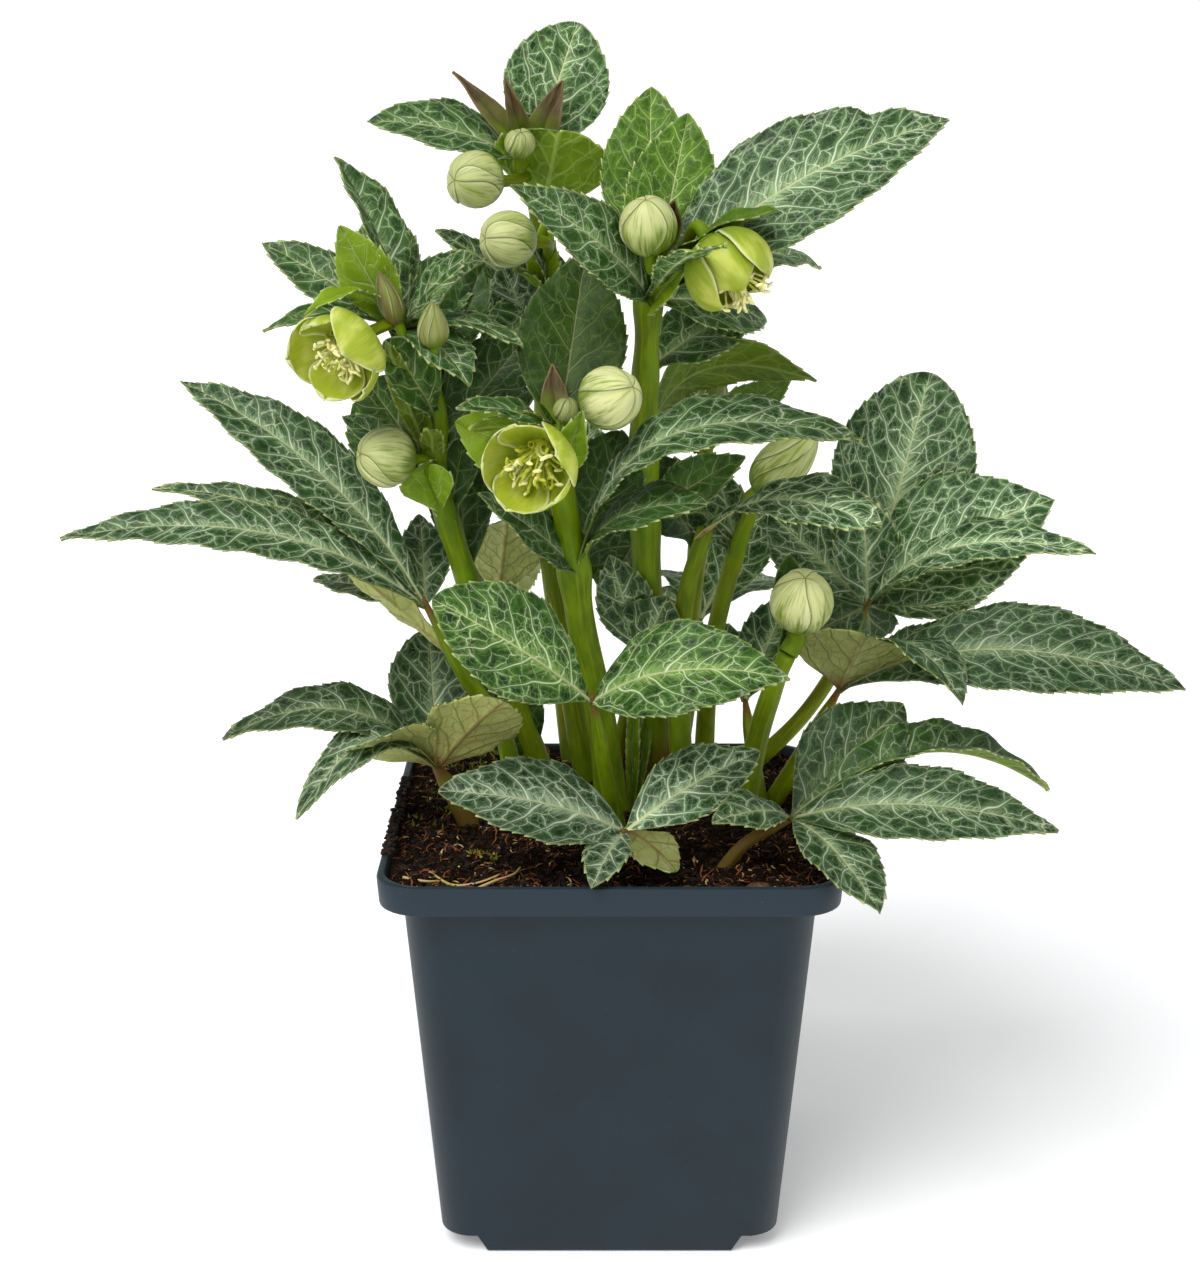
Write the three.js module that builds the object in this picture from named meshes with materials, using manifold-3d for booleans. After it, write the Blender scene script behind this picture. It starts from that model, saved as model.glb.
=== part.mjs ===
// Hellebore (Helleborus x hybridus) growing in a square nursery pot.
// Millimetres, +Z up. The origin is the middle of the pot's underside, which
// lies at z = 0; the front of the plant looks along -Y.

import * as THREE from 'three';
import { mergeVertices } from 'three/addons/utils/BufferGeometryUtils.js';
import ManifoldModule from 'manifold-3d';

const wasm = await ManifoldModule();
wasm.setup();

// ---------------------------------------------------------------------------
// Driving dimensions
// ---------------------------------------------------------------------------

// Clearance kept between neighbouring pieces.
const GAP = 0.3;

// Pot: outer widths across the flats, a wall of even thickness and a thicker lip.
const POT_HEIGHT = 141;
const POT_RIM_HEIGHT = 10;
const POT_RIM_WIDTH = 153;
const POT_RIM_TAPER = 1.2;
const POT_RIM_CORNER = 13;
const POT_TOP_WIDTH = 139;
const POT_FOOT_WIDTH = 116;
const POT_BODY_CORNER = 11;
const POT_WALL = 1.4;
const POT_LIP = 2.6;
const POT_FLOOR = 1.6;
const POT_SHOULDER = 1.6;
const CORNER_STEPS = 3;

// Notches that cut the four lower corners of the pot, each narrower at its top.
const NOTCH_HEIGHT = 6;
const NOTCH_FOOT = 16;
const NOTCH_TOP = 12.5;

// Drain holes in the floor.
const DRAIN_RADIUS = 4.5;
const DRAIN_OFFSET = 30;
const DRAIN_COUNT = 4;
const DRAIN_SIDES = 8;

// Soil: its mean level, the grid of its top, and the waves that make it lumpy,
// each with its height and its turns per millimetre along x and y.
const SOIL_LEVEL = 136.5;
const SOIL_CELLS = 5;
const SOIL_BANK = 2.4;
const SOIL_WAVES = [
  { height: 1.1, x: 0.21, y: 0.17 },
  { height: 0.65, x: 0.43, y: -0.37 },
];

// Stems and leaf stalks.
const STEM_SIDES = 6;
const STEM_STEP = 30;
const STALK_SIDES = 5;
const STALK_STEP = 10;
const STALK_LEAD = 5;
const STEM_SAMPLES = 60;
const HOLE_LENGTH = 20;
const HOLE_SIDES = 5;

// Leaf blades. Teeth stand out at every other station of the margin.
const BLADE_THICKNESS = 0.8;
const BLADE_STATION = 11;
const BLADE_MIN_STATIONS = 5;
const BLADE_FOOT_HALF_WIDTH = 1.2;
const BLADE_TIP_HALF_WIDTH = 0.5;
const BLADE_FULLNESS = 0.85;
const TOOTH_DEPTH = 1.1;
const TOOTH_NOTCH = 0.5;
const TOOTH_LEAN = 0.4;
const ARCH_PEAK = 0.45;

// Flowers and buds.
const SEPAL_COUNT = 5;
const SEPAL_THICKNESS = 0.8;
const SEPAL_HALF_ANGLE = 46;
const SEPAL_LAYERS = [1, -1, 1, -1, 0];
const OPEN_GRID = { rows: 5, columns: 4 };
const CLOSED_GRID = { rows: 3, columns: 3 };
const SEPAL_FOOT_RADIUS = 3;
const SEPAL_FOOT_RISE = 1;
const SEPAL_FOOT_SHARE = 0.7;
const SEPAL_TIP_SHARE = 0.15;
const SEPAL_SQUARENESS = 6;
const SEPAL_EDGE_DIP = 0.1;
const RECEPTACLE_RADIUS = 5;
const RECEPTACLE_FOOT_RADIUS = 4;
const RECEPTACLE_HEIGHT = 2;
const NECTARY_COUNT = 6;
const NECTARY_RING = 3.4;
const NECTARY_BAND = 1.6;
const NECTARY_BAND_HEIGHT = 1;
const NECTARY_LENGTH = 3.4;
const NECTARY_FOOT_RADIUS = 0.6;
const NECTARY_RADIUS = 1;
const NECTARY_LEAN = 50;
const NECTARY_SIDES = 4;
const STAMEN_COUNT = 11;
const STAMEN_REACH = 30;
const STAMEN_RING = 1.9;
const STAMEN_RADIUS = 0.4;
const STAMEN_LENGTH = 0.62;
const STAMEN_UNEVEN = 0.14;
const STAMEN_SIDES = 3;
const ANTHER_RADIUS = 0.9;
const STYLE_COUNT = 2;
const STYLE_LENGTH = 0.95;
const DOME_RADIUS = 2.1;
const DOME_HEIGHT = 1.6;
const DISC_SIDES = 6;
const BUD_SIDES = 8;
const BUD_RINGS = 5;
const BUD_BELLY = 0.86;
const BUD_FULLNESS = 0.62;

const COLOURS = {
  pot: { color: 0x2b3138, roughness: 0.42, metalness: 0 },
  soil: { color: 0x2a211b, roughness: 0.95, metalness: 0 },
  stem: { color: 0x6f8f44, roughness: 0.45, metalness: 0 },
  basal: { color: 0x3a5632, roughness: 0.4, metalness: 0 },
  bud: { color: 0xb4c583, roughness: 0.45, metalness: 0 },
  sepal: { color: 0xc3cf86, roughness: 0.5, metalness: 0 },
  nectary: { color: 0xb9c356, roughness: 0.45, metalness: 0 },
  stamen: { color: 0xe6e3b0, roughness: 0.7, metalness: 0 },
};

// Flowering stems and the shoot: middle lines from the foot in the soil upwards.
const STEMS = {
  stem_right: {
    radius: 5,
    path: [
      [16, 26, 126], [16, 18, 176], [13, 12, 229], [12, 8, 279],
      [13, 2, 322],
    ],
  },
  stem_front: {
    radius: 4.9,
    path: [
      [2, 8, 126], [-3, -2, 175], [-10, -12, 213], [-13, -18, 239],
      [-16, -24, 261], [-18, -26, 281],
    ],
  },
  stem_left: {
    radius: 4.3,
    path: [
      [-17, 22, 126], [-35, 14, 181], [-48, 4, 220], [-55, -4, 246],
      [-59, -8, 264], [-58, -8, 285], [-63, -8, 302], [-71, -8, 313],
    ],
  },
  stem_back: {
    radius: 4,
    path: [
      [-6, 44, 126], [-14, 44, 172], [-21, 44, 221], [-23, 44, 269],
      [-22, 42, 312], [-24, 38, 344], [-29, 36, 366],
    ],
  },
  stem_open_bud: {
    radius: 3.2,
    path: [
      [34, 30, 126], [37, 24, 193], [44, 20, 227], [49, 16, 244],
      [53, 12, 254],
    ],
  },
  stem_low_bud: {
    radius: 3.8,
    path: [
      [46, 6, 126], [52, 2, 166], [58, -7, 192], [61, -10, 201],
    ],
  },
  stem_hidden: {
    radius: 3.4,
    path: [
      [20, 50, 126], [30, 52, 197], [34, 52, 242], [35, 50, 264],
    ],
  },
  shoot: {
    radius: 3.4,
    path: [
      [27, 8, 126], [25, 6, 194], [27, 4, 220], [33, 2, 242],
    ],
  },
};

// Stalks of the basal leaves, likewise.
const STALKS = {
  leaf_left_high: { radius: 3, path: [[-32, 6, 126], [-37, -2, 169], [-51, -6, 194], [-64, -8, 220]] },
  leaf_left_low: { radius: 2.8, path: [[-44, -6, 126], [-54, -8, 149], [-62, -8, 162]] },
  leaf_front_low: { radius: 2.6, path: [[16, -20, 126], [12, -36, 143], [4, -50, 151]] },
  leaf_front_high: { radius: 2.6, path: [[5, -10, 126], [-2, -26, 166], [-4, -36, 182], [-6, -43, 196]] },
  leaf_right_low: { radius: 2.6, path: [[33, -42, 126], [45, -44, 144], [64, -37, 152]] },
  leaf_right_mid: { radius: 2.8, path: [[54, 22, 126], [68, 14, 155], [82, 7, 185]] },
  leaf_right_high: { radius: 2.8, path: [[36, 48, 126], [71, 46, 160], [87, 44, 187], [95, 39, 208]] },
  leaf_back_left: { radius: 2.6, path: [[-24, 54, 126], [-33, 56, 168], [-42, 50, 208]] },
  leaf_inner: { radius: 2.2, path: [[-2, 27, 126], [7, 14, 177], [12, 5, 199]] },
  leaf_right_inner: { radius: 2.4, path: [[56, 12, 126], [50, 22, 167], [49, 28, 175]] },
  leaf_back: { radius: 2.6, path: [[-13, 57, 126], [-19, 80, 181], [-12, 102, 210]] },
  leaf_back_right: { radius: 2.6, path: [[24, 56, 126], [32, 84, 160], [36, 106, 185]] },
};

// Leaf blades: each runs from the hub to its tip. Face is the way that the middle of
// the upper side looks, arch the bow as a share of the length, and belly where along
// its length the blade is widest.
const WHORLS = {
  stem_right_leaves: {
    stem: 'stem_right', hub: [13, 2, 320],
    blades: [
      { tip: [-31, -44, 361], width: 24, arch: 0.12, face: [-0.3, -0.8, 0.55], belly: 0.5 },
      { tip: [14, 34, 389], width: 33, arch: 0.04, face: [0, -1, 0.12], belly: 0.58 },
      { tip: [26, 12, 381], width: 31, arch: 0.05, face: [0.1, -1, 0.1], belly: 0.56 },
      { tip: [113, 14, 379], width: 41, arch: 0.15, face: [-0.35, -0.8, 0.5], belly: 0.55 },
      { tip: [33, -82, 345], width: 12, arch: 0.06, face: [0.1, -0.6, 0.8], belly: 0.62 },
      { tip: [56, 12, 349], width: 17, arch: 0.1, face: [0.1, 0.3, 1], belly: 0.6 },
      { tip: [76, 60, 325], width: 22, arch: 0.15, face: [0.1, -0.5, 0.85], belly: 0.5 },
      { tip: [55, 34, 309], width: 26, arch: 0.12, face: [0.2, -0.7, 0.6], belly: 0.5 },
    ],
  },
  stem_right_mid_leaf: {
    stem: 'stem_right', hub: [12, 9, 270],
    blades: [
      { tip: [72, 24, 290], width: 30, arch: 0.34, face: [-0.2, 0.75, 0.7], belly: 0.55 },
    ],
  },
  stem_right_low_leaf: {
    stem: 'stem_right', hub: [13, 8, 296],
    blades: [
      { tip: [49, 44, 313], width: 25, arch: 0.08, face: [0.1, -0.7, 0.7], belly: 0.5 },
    ],
  },
  stem_front_leaves: {
    stem: 'stem_front', hub: [-17, -26, 279],
    blades: [
      { tip: [-8, 6, 336], width: 36, arch: 0.05, face: [0, -1, 0.15], belly: 0.5 },
      { tip: [-49, -46, 292], width: 13, arch: 0.12, face: [0, -0.45, 0.9], belly: 0.5 },
      { tip: [-46, -34, 283], width: 19, arch: 0.1, face: [0, 0.55, 0.85], belly: 0.5 },
      { tip: [-19, -20, 302], width: 10, arch: 0.04, face: [0, -1, 0.1], belly: 0.4 },
    ],
  },
  stem_front_sheath: {
    stem: 'stem_front', hub: [-16, -25, 268],
    blades: [
      { tip: [-9, -47, 291], width: 12, arch: 0.1, face: [0.1, -1, 0.2], belly: 0.45 },
    ],
  },
  stem_front_low_leaves: {
    stem: 'stem_front', hub: [-10, -16, 230],
    blades: [
      { tip: [-42, -44, 264], width: 18, arch: 0.06, face: [-0.25, -0.65, 0.75], belly: 0.5 },
      { tip: [82, -30, 279], width: 28, arch: 0.34, face: [-0.2, -0.45, 0.9], belly: 0.55 },
      { tip: [31, -46, 261], width: 20, arch: 0.2, face: [-0.1, -0.45, 0.9], belly: 0.62 },
    ],
  },
  stem_left_leaves: {
    stem: 'stem_left', hub: [-69, -8, 311],
    blades: [
      { tip: [-116, 6, 339], width: 19, arch: 0.06, face: [0.15, -0.75, 0.65], belly: 0.55 },
      { tip: [-114, -14, 312], width: 13, arch: 0.16, face: [0, -0.3, 1], belly: 0.5 },
      { tip: [-88, -12, 346], width: 19, arch: 0.05, face: [-0.1, -1, 0.1], belly: 0.55 },
      { tip: [-91, 6, 367], width: 19, arch: 0.12, face: [0.75, -0.5, 0.3], belly: 0.6 },
      { tip: [-44, -26, 339], width: 15, arch: 0.08, face: [-0.5, -0.5, 0.7], belly: 0.55 },
      { tip: [-80, 26, 347], width: 24, arch: 0.05, face: [0, -1, 0.2], belly: 0.6 },
      { tip: [-47, 18, 335], width: 22, arch: 0.05, face: [-0.2, -1, 0.1], belly: 0.5 },
      { tip: [-45, -34, 297], width: 17, arch: 0.16, face: [0.3, -0.5, 0.8], belly: 0.55 },
      { tip: [-28, -22, 308], width: 13, arch: 0.16, face: [0.1, -0.3, 1], belly: 0.6 },
    ],
  },
  stem_left_low_leaves: {
    stem: 'stem_left', hub: [-59, -8, 263],
    blades: [
      { tip: [-86, 14, 290], width: 30, arch: 0.06, face: [0.2, -1, 0.2], belly: 0.55 },
      { tip: [-72, -30, 311], width: 17, arch: 0.1, face: [-0.3, 0.6, 0.6], belly: 0.6 },
      { tip: [-91, 4, 281], width: 12, arch: 0.08, face: [0, -0.8, 0.6], belly: 0.55 },
      { tip: [-59, -28, 282], width: 8, arch: 0.15, face: [0, -0.4, 0.9], belly: 0.5 },
      { tip: [-64, -18, 268], width: 10, arch: 0.1, face: [-0.4, 0.3, 0.9], belly: 0.55 },
    ],
  },
  stem_back_leaves: {
    stem: 'stem_back', hub: [-27, 36, 362],
    blades: [
      { tip: [-10, 44, 409], width: 34, arch: 0.05, face: [-0.1, -1, 0.12], belly: 0.58 },
      { tip: [-80, 26, 379], width: 17, arch: 0.12, face: [0, -0.25, 1], belly: 0.55 },
    ],
  },
  stem_back_mid_leaf: {
    stem: 'stem_back', hub: [-24, 38, 343],
    blades: [
      { tip: [-13, 16, 373], width: 33, arch: 0.06, face: [0.1, 0.9, 0.35], belly: 0.6 },
    ],
  },
  stem_back_bracts: {
    stem: 'stem_back', hub: [-27, 36, 363],
    blades: [
      { tip: [-53, 30, 394], width: 9, arch: 0.06, face: [0.2, -0.8, 0.5], belly: 0.35 },
      { tip: [-35, 42, 391], width: 8, arch: 0.05, face: [0, -1, 0.1], belly: 0.4 },
      { tip: [-16, 30, 391], width: 12, arch: 0.05, face: [-0.2, -1, 0.1], belly: 0.4 },
    ],
  },
  stem_back_low_leaves: {
    stem: 'stem_back', hub: [-22, 42, 309],
    blades: [
      { tip: [-34, 38, 333], width: 30, arch: 0.06, face: [0, -1, 0.3], belly: 0.55 },
      { tip: [-61, 46, 340], width: 15, arch: 0.08, face: [0.1, -0.6, 0.8], belly: 0.5 },
      { tip: [-45, 16, 302], width: 22, arch: 0.1, face: [0, -0.9, 0.4], belly: 0.5 },
      { tip: [-28, 20, 340], width: 9, arch: 0.1, face: [0, -0.6, 0.8], belly: 0.5 },
    ],
  },
  stem_open_bud_leaf: {
    stem: 'stem_open_bud', hub: [45, 20, 230],
    blades: [
      { tip: [38, 34, 257], width: 15, arch: 0.1, face: [0.1, -1, 0.2], belly: 0.55 },
      { tip: [28, 34, 246], width: 14, arch: 0.1, face: [0.2, -1, 0.2], belly: 0.55 },
    ],
  },
  stem_hidden_leaves: {
    stem: 'stem_hidden', hub: [34, 52, 260],
    blades: [
      { tip: [67, 72, 283], width: 13, arch: 0.12, face: [-0.3, 0.3, 0.9], belly: 0.5 },
      { tip: [22, 74, 285], width: 20, arch: 0.1, face: [0, -1, 0.2], belly: 0.5 },
    ],
  },
  shoot_leaf: {
    stem: 'shoot', hub: [32, 2, 239],
    blades: [
      { tip: [89, -34, 251], width: 25, arch: 0.25, face: [-0.1, -0.4, 0.95], belly: 0.6 },
    ],
  },
};

const LEAVES = {
  leaf_left_high: {
    hub: [-63, -8, 217],
    blades: [
      { tip: [-147, 15, 291], width: 26, arch: 0.16, face: [0.4, -0.7, 0.6], belly: 0.55 },
      { tip: [-157, 4, 256], width: 15, arch: 0.17, face: [0.1, -0.55, 0.8], belly: 0.5 },
      { tip: [-182, -26, 245], width: 22, arch: 0.18, face: [0.1, -0.55, 0.8], belly: 0.5 },
      { tip: [-106, 28, 218], width: 13, arch: 0.06, face: [0, -0.6, 0.8], belly: 0.5 },
      { tip: [-67, 26, 242], width: 18, arch: 0.05, face: [0.2, -0.9, 0.4], belly: 0.5 },
    ],
  },
  leaf_left_low: {
    hub: [-60, -8, 159],
    blades: [
      { tip: [-134, -12, 171], width: 22, arch: 0.32, face: [0.1, -0.5, 0.85], belly: 0.5 },
      { tip: [-106, -38, 151], width: 19, arch: 0.42, face: [0, -0.4, 0.95], belly: 0.55 },
      { tip: [-64, 18, 202], width: 31, arch: 0.05, face: [0.1, -0.85, 0.5], belly: 0.6 },
      { tip: [-83, -42, 178], width: 24, arch: 0.1, face: [-0.3, 0.5, 0.85], belly: 0.6 },
      { tip: [-35, -38, 193], width: 24, arch: 0.06, face: [0.2, 0.6, 0.75], belly: 0.55 },
    ],
  },
  leaf_front_low: {
    hub: [5, -48, 150],
    blades: [
      { tip: [-56, -58, 168], width: 28, arch: 0.1, face: [-0.1, -0.55, 0.85], belly: 0.48 },
      { tip: [51, -26, 171], width: 26, arch: 0.1, face: [0.1, -0.6, 0.8], belly: 0.52 },
      { tip: [-6, -80, 143], width: 15, arch: 0.1, face: [-0.1, -0.6, 0.8], belly: 0.55 },
      { tip: [21, -70, 144], width: 16, arch: 0.1, face: [0.2, -0.6, 0.8], belly: 0.55 },
    ],
  },
  leaf_front_high: {
    hub: [-6, -42, 193],
    blades: [
      { tip: [-56, -64, 234], width: 36, arch: 0.08, face: [-0.1, -0.75, 0.65], belly: 0.58 },
      { tip: [58, -58, 206], width: 36, arch: 0.2, face: [0.1, -0.65, 0.75], belly: 0.48 },
    ],
  },
  leaf_right_low: {
    hub: [61, -38, 151],
    blades: [
      { tip: [101, -14, 184], width: 35, arch: 0.05, face: [-0.2, -0.8, 0.55], belly: 0.55 },
      { tip: [147, -58, 154], width: 31, arch: 0.14, face: [0.1, -0.6, 0.8], belly: 0.5 },
      { tip: [155, -2, 149], width: 20, arch: 0.24, face: [0.1, -0.35, 0.95], belly: 0.55 },
      { tip: [86, -84, 136], width: 25, arch: 0.1, face: [0.3, -0.6, 0.75], belly: 0.55 },
      { tip: [33, -66, 160], width: 17, arch: 0.12, face: [-0.1, -0.6, 0.8], belly: 0.6 },
    ],
  },
  leaf_right_mid: {
    hub: [81, 8, 182],
    blades: [
      { tip: [194, -26, 193], width: 37, arch: 0.2, face: [0, -0.6, 0.8], belly: 0.58 },
      { tip: [116, -46, 194], width: 28, arch: 0.3, face: [0.1, 0.25, 0.95], belly: 0.6 },
      { tip: [79, -17, 208], width: 18, arch: 0.05, face: [0.1, 0.6, 0.7], belly: 0.6 },
      { tip: [139, 50, 194], width: 17, arch: 0.1, face: [0.1, -0.5, 0.9], belly: 0.55 },
    ],
  },
  leaf_right_high: {
    hub: [94, 40, 205],
    blades: [
      { tip: [117, 62, 287], width: 50, arch: 0.05, face: [-0.1, -0.9, 0.45], belly: 0.62 },
      { tip: [158, 34, 244], width: 39, arch: 0.15, face: [0, -0.75, 0.65], belly: 0.55 },
      { tip: [168, 4, 233], width: 28, arch: 0.2, face: [0.1, -0.5, 0.9], belly: 0.5 },
      { tip: [143, 58, 207], width: 22, arch: 0.05, face: [0.1, -0.7, 0.7], belly: 0.5 },
      { tip: [59, 58, 236], width: 28, arch: 0.05, face: [0, -0.9, 0.4], belly: 0.6 },
      { tip: [90, 30, 249], width: 24, arch: 0.05, face: [0, -1, 0.3], belly: 0.55 },
    ],
  },
  leaf_back_left: {
    hub: [-41, 50, 205],
    blades: [
      { tip: [-26, 20, 239], width: 18, arch: 0.08, face: [0.1, 0.7, 0.6], belly: 0.55 },
      { tip: [-57, 96, 225], width: 26, arch: 0.1, face: [0, 0.3, 1], belly: 0.55 },
      { tip: [-36, 150, 179], width: 28, arch: 0.18, face: [0, 0.3, 1], belly: 0.55 },
    ],
  },
  leaf_inner: {
    hub: [11, 6, 196],
    blades: [
      { tip: [20, 2, 218], width: 27, arch: 0.06, face: [0.1, -0.8, 0.6], belly: 0.5 },
      { tip: [0, 6, 232], width: 20, arch: 0.06, face: [0, -0.9, 0.4], belly: 0.55 },
    ],
  },
  leaf_right_inner: {
    hub: [49, 26, 173],
    blades: [
      { tip: [66, 38, 211], width: 22, arch: 0.06, face: [-0.2, -0.9, 0.4], belly: 0.55 },
      { tip: [38, 44, 199], width: 18, arch: 0.06, face: [0.2, -0.9, 0.4], belly: 0.55 },
    ],
  },
  leaf_back: {
    hub: [-13, 100, 208],
    blades: [
      { tip: [-57, 150, 222], width: 28, arch: 0.16, face: [-0.2, 0.2, 1], belly: 0.55 },
      { tip: [-12, 180, 215], width: 30, arch: 0.18, face: [0, 0.3, 1], belly: 0.55 },
      { tip: [30, 160, 215], width: 28, arch: 0.16, face: [0.2, 0.2, 1], belly: 0.55 },
      { tip: [-7, 110, 262], width: 24, arch: 0.06, face: [0, -0.9, 0.5], belly: 0.6 },
    ],
  },
  leaf_back_right: {
    hub: [36, 104, 183],
    blades: [
      { tip: [80, 150, 184], width: 28, arch: 0.16, face: [0.2, 0.2, 1], belly: 0.55 },
      { tip: [35, 185, 175], width: 30, arch: 0.16, face: [0, 0.3, 1], belly: 0.55 },
      { tip: [5, 150, 175], width: 26, arch: 0.16, face: [-0.2, 0.2, 1], belly: 0.55 },
      { tip: [63, 110, 234], width: 26, arch: 0.06, face: [0.1, -0.8, 0.6], belly: 0.6 },
    ],
  },
};

// Buds: middle, radius, length and the way that the tip points. A half-open bud has
// separate sepals, which sweep past the upright by the angle given.
const BUDS = {
  bud_right: {
    stem: 'stem_right', at: [12, -26, 347], axis: [-0.1, -0.35, 1],
    radius: 9.2, length: 19.5, stalk: 2, via: [[17, 0, 329]],
  },
  bud_front: {
    stem: 'stem_front', at: [0, -34, 293], axis: [0.75, -0.45, 0.45],
    radius: 10.4, length: 20.5, stalk: 2, via: [[-12, -28, 282]],
  },
  bud_front_small: {
    stem: 'stem_front', at: [-14, -33, 289], axis: [0.1, -0.2, 1],
    radius: 4.4, length: 9, stalk: 1.6, via: [[-16, -24, 280]],
  },
  bud_left: {
    stem: 'stem_left', at: [-74, -20, 271], axis: [-0.9, -0.45, 0.2],
    radius: 10, length: 20, stalk: 2, via: [[-60, -10, 263]],
  },
  bud_left_small: {
    stem: 'stem_left', at: [-57, -29, 316], axis: [0, -0.1, 1],
    radius: 3.9, length: 14, stalk: 1.5, via: [[-60, -20, 307]],
  },
  bud_left_brown: {
    stem: 'stem_left', at: [-72, -20, 325], axis: [-0.35, -0.1, 1],
    radius: 3.4, length: 15, stalk: 1.5, via: [[-70, -12, 316]],
  },
  bud_back_left: {
    stem: 'stem_back', at: [-45, 10, 359], axis: [-0.85, -0.5, 0.1],
    radius: 9.7, length: 19.5, stalk: 2, via: [[-29, 30, 359]],
  },
  bud_back_low: {
    stem: 'stem_back', at: [-34, 4, 340], axis: [-0.8, -0.55, 0.1],
    radius: 9.5, length: 19.5, stalk: 2, via: [[-22, 36, 330]],
  },
  bud_back_small: {
    stem: 'stem_back', at: [-30, 14, 371], axis: [0.1, -0.5, 0.9],
    radius: 5, length: 10, stalk: 1.6, via: [[-28, 32, 365]],
  },
  bud_half_open: {
    stem: 'stem_open_bud', at: [63, 8, 264], axis: [0.75, -0.3, 0.6],
    radius: 7.6, length: 23, stalk: 2, via: [], closed: true, sweep: 140, depth: 23, turn: 0,
  },
  bud_low: {
    stem: 'stem_low_bud', at: [65, -16, 221], axis: [0, -0.3, 1],
    radius: 11.2, length: 22, stalk: 3.4, via: [],
  },
  bud_hidden: {
    stem: 'stem_hidden', at: [37, 49, 280], axis: [0.1, 0, 1],
    radius: 6, length: 20, stalk: 2, via: [], closed: true, sweep: 140, depth: 20, turn: 0,
  },
};

// Open flowers: middle of the mouth, the way it looks, its radius and its depth.
const FLOWERS = {
  flower_left: {
    stem: 'stem_left', mouth: [-88, -40, 309], axis: [-0.42, -0.85, -0.3],
    radius: 16.5, depth: 14,
    sweep: 90, turn: 20, stalk: 2, via: [[-71, -16, 315]],
  },
  flower_right: {
    stem: 'stem_right', mouth: [43, -30, 326], axis: [0.55, -0.35, -0.76],
    radius: 13.5, depth: 22,
    sweep: 90, turn: 0, stalk: 2, via: [[22, -8, 334]],
  },
  flower_front: {
    stem: 'stem_front', mouth: [-25, -64, 276], axis: [-0.3, -0.93, 0],
    radius: 14.6, depth: 16,
    sweep: 90, turn: 10, stalk: 2, via: [[-19, -34, 279]],
  },
};

// ---------------------------------------------------------------------------
// Solids
// ---------------------------------------------------------------------------

const vector = (xyz) => new THREE.Vector3(...xyz);

/** Closed three.js geometry to a manifold solid with its faces pointing out. */
function solidOf(geometry) {
  const bare = geometry.clone();
  bare.deleteAttribute('normal');
  bare.deleteAttribute('uv');
  const merged = mergeVertices(bare, 1e-4);
  const index = merged.index.array;
  const corners = [];
  for (let i = 0; i < index.length; i += 3) {
    const [a, b, c] = [index[i], index[i + 1], index[i + 2]];
    if (a !== b && b !== c && c !== a) corners.push(a, b, c);
  }
  if (signedVolume(merged.attributes.position, corners) < 0) corners.reverse();
  return new wasm.Manifold(new wasm.Mesh({
    numProp: 3,
    vertProperties: Float32Array.from(merged.attributes.position.array),
    triVerts: Uint32Array.from(corners),
  }));
}

/** Volume enclosed by indexed triangles; negative where they face inwards. */
function signedVolume(position, corners) {
  const [a, b, c] = [new THREE.Vector3(), new THREE.Vector3(), new THREE.Vector3()];
  let volume = 0;
  for (let i = 0; i < corners.length; i += 3) {
    a.fromBufferAttribute(position, corners[i]);
    b.fromBufferAttribute(position, corners[i + 1]);
    c.fromBufferAttribute(position, corners[i + 2]);
    volume += a.dot(b.cross(c)) / 6;
  }
  return volume;
}

/** Named mesh of a manifold solid in one of the listed colours. */
function piece(name, solid, look) {
  const { vertProperties, triVerts } = solid.getMesh();
  const geometry = new THREE.BufferGeometry();
  geometry.setAttribute('position', new THREE.BufferAttribute(vertProperties, 3));
  geometry.setIndex(new THREE.BufferAttribute(triVerts, 1));
  geometry.computeVertexNormals();
  const mesh = new THREE.Mesh(geometry, new THREE.MeshStandardMaterial(COLOURS[look]));
  mesh.name = name;
  return mesh;
}

const join = (solids) => solids.reduce((whole, next) => whole.add(next));
const cut = (solid, cutters) => cutters.reduce((left, cutter) => left.subtract(cutter), solid);

// ---------------------------------------------------------------------------
// Pot and soil
// ---------------------------------------------------------------------------

/** Square with round corners, its middle on the origin. */
function roundedSquare(width, corner) {
  const inner = width / 2 - corner;
  const shape = new THREE.Shape();
  shape.absarc(inner, inner, corner, 0, Math.PI / 2);
  shape.absarc(-inner, inner, corner, Math.PI / 2, Math.PI);
  shape.absarc(-inner, -inner, corner, Math.PI, 1.5 * Math.PI);
  shape.absarc(inner, -inner, corner, 1.5 * Math.PI, 2 * Math.PI);
  return shape;
}

/** Rounded square block whose width runs evenly from footWidth to topWidth. */
function taperedBlock(footWidth, topWidth, corner, z0, z1) {
  const geometry = new THREE.ExtrudeGeometry(roundedSquare(footWidth, corner), {
    depth: z1 - z0, bevelEnabled: false, curveSegments: CORNER_STEPS,
  });
  const position = geometry.attributes.position;
  for (let i = 0; i < position.count; i += 1) {
    const rise = position.getZ(i) / (z1 - z0);
    const scale = 1 + rise * (topWidth / footWidth - 1);
    position.setXYZ(i, position.getX(i) * scale, position.getY(i) * scale, z0 + position.getZ(i));
  }
  return solidOf(geometry);
}

/** Blocks that cut the four lower corners, made larger all round by grow. */
function cornerNotches(grow) {
  const corner = POT_FOOT_WIDTH / 2;
  return [0, 1, 2, 3].map((turn) => {
    const geometry = new THREE.CylinderGeometry(
      Math.SQRT2 * (NOTCH_TOP + grow), Math.SQRT2 * (2 * NOTCH_FOOT - NOTCH_TOP + grow),
      2 * (NOTCH_HEIGHT + grow), 4,
    );
    geometry.rotateX(Math.PI / 2);
    geometry.rotateZ(Math.PI / 4);
    geometry.translate(corner, corner, 0);
    geometry.rotateZ((turn * Math.PI) / 2);
    return solidOf(geometry);
  });
}

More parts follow.
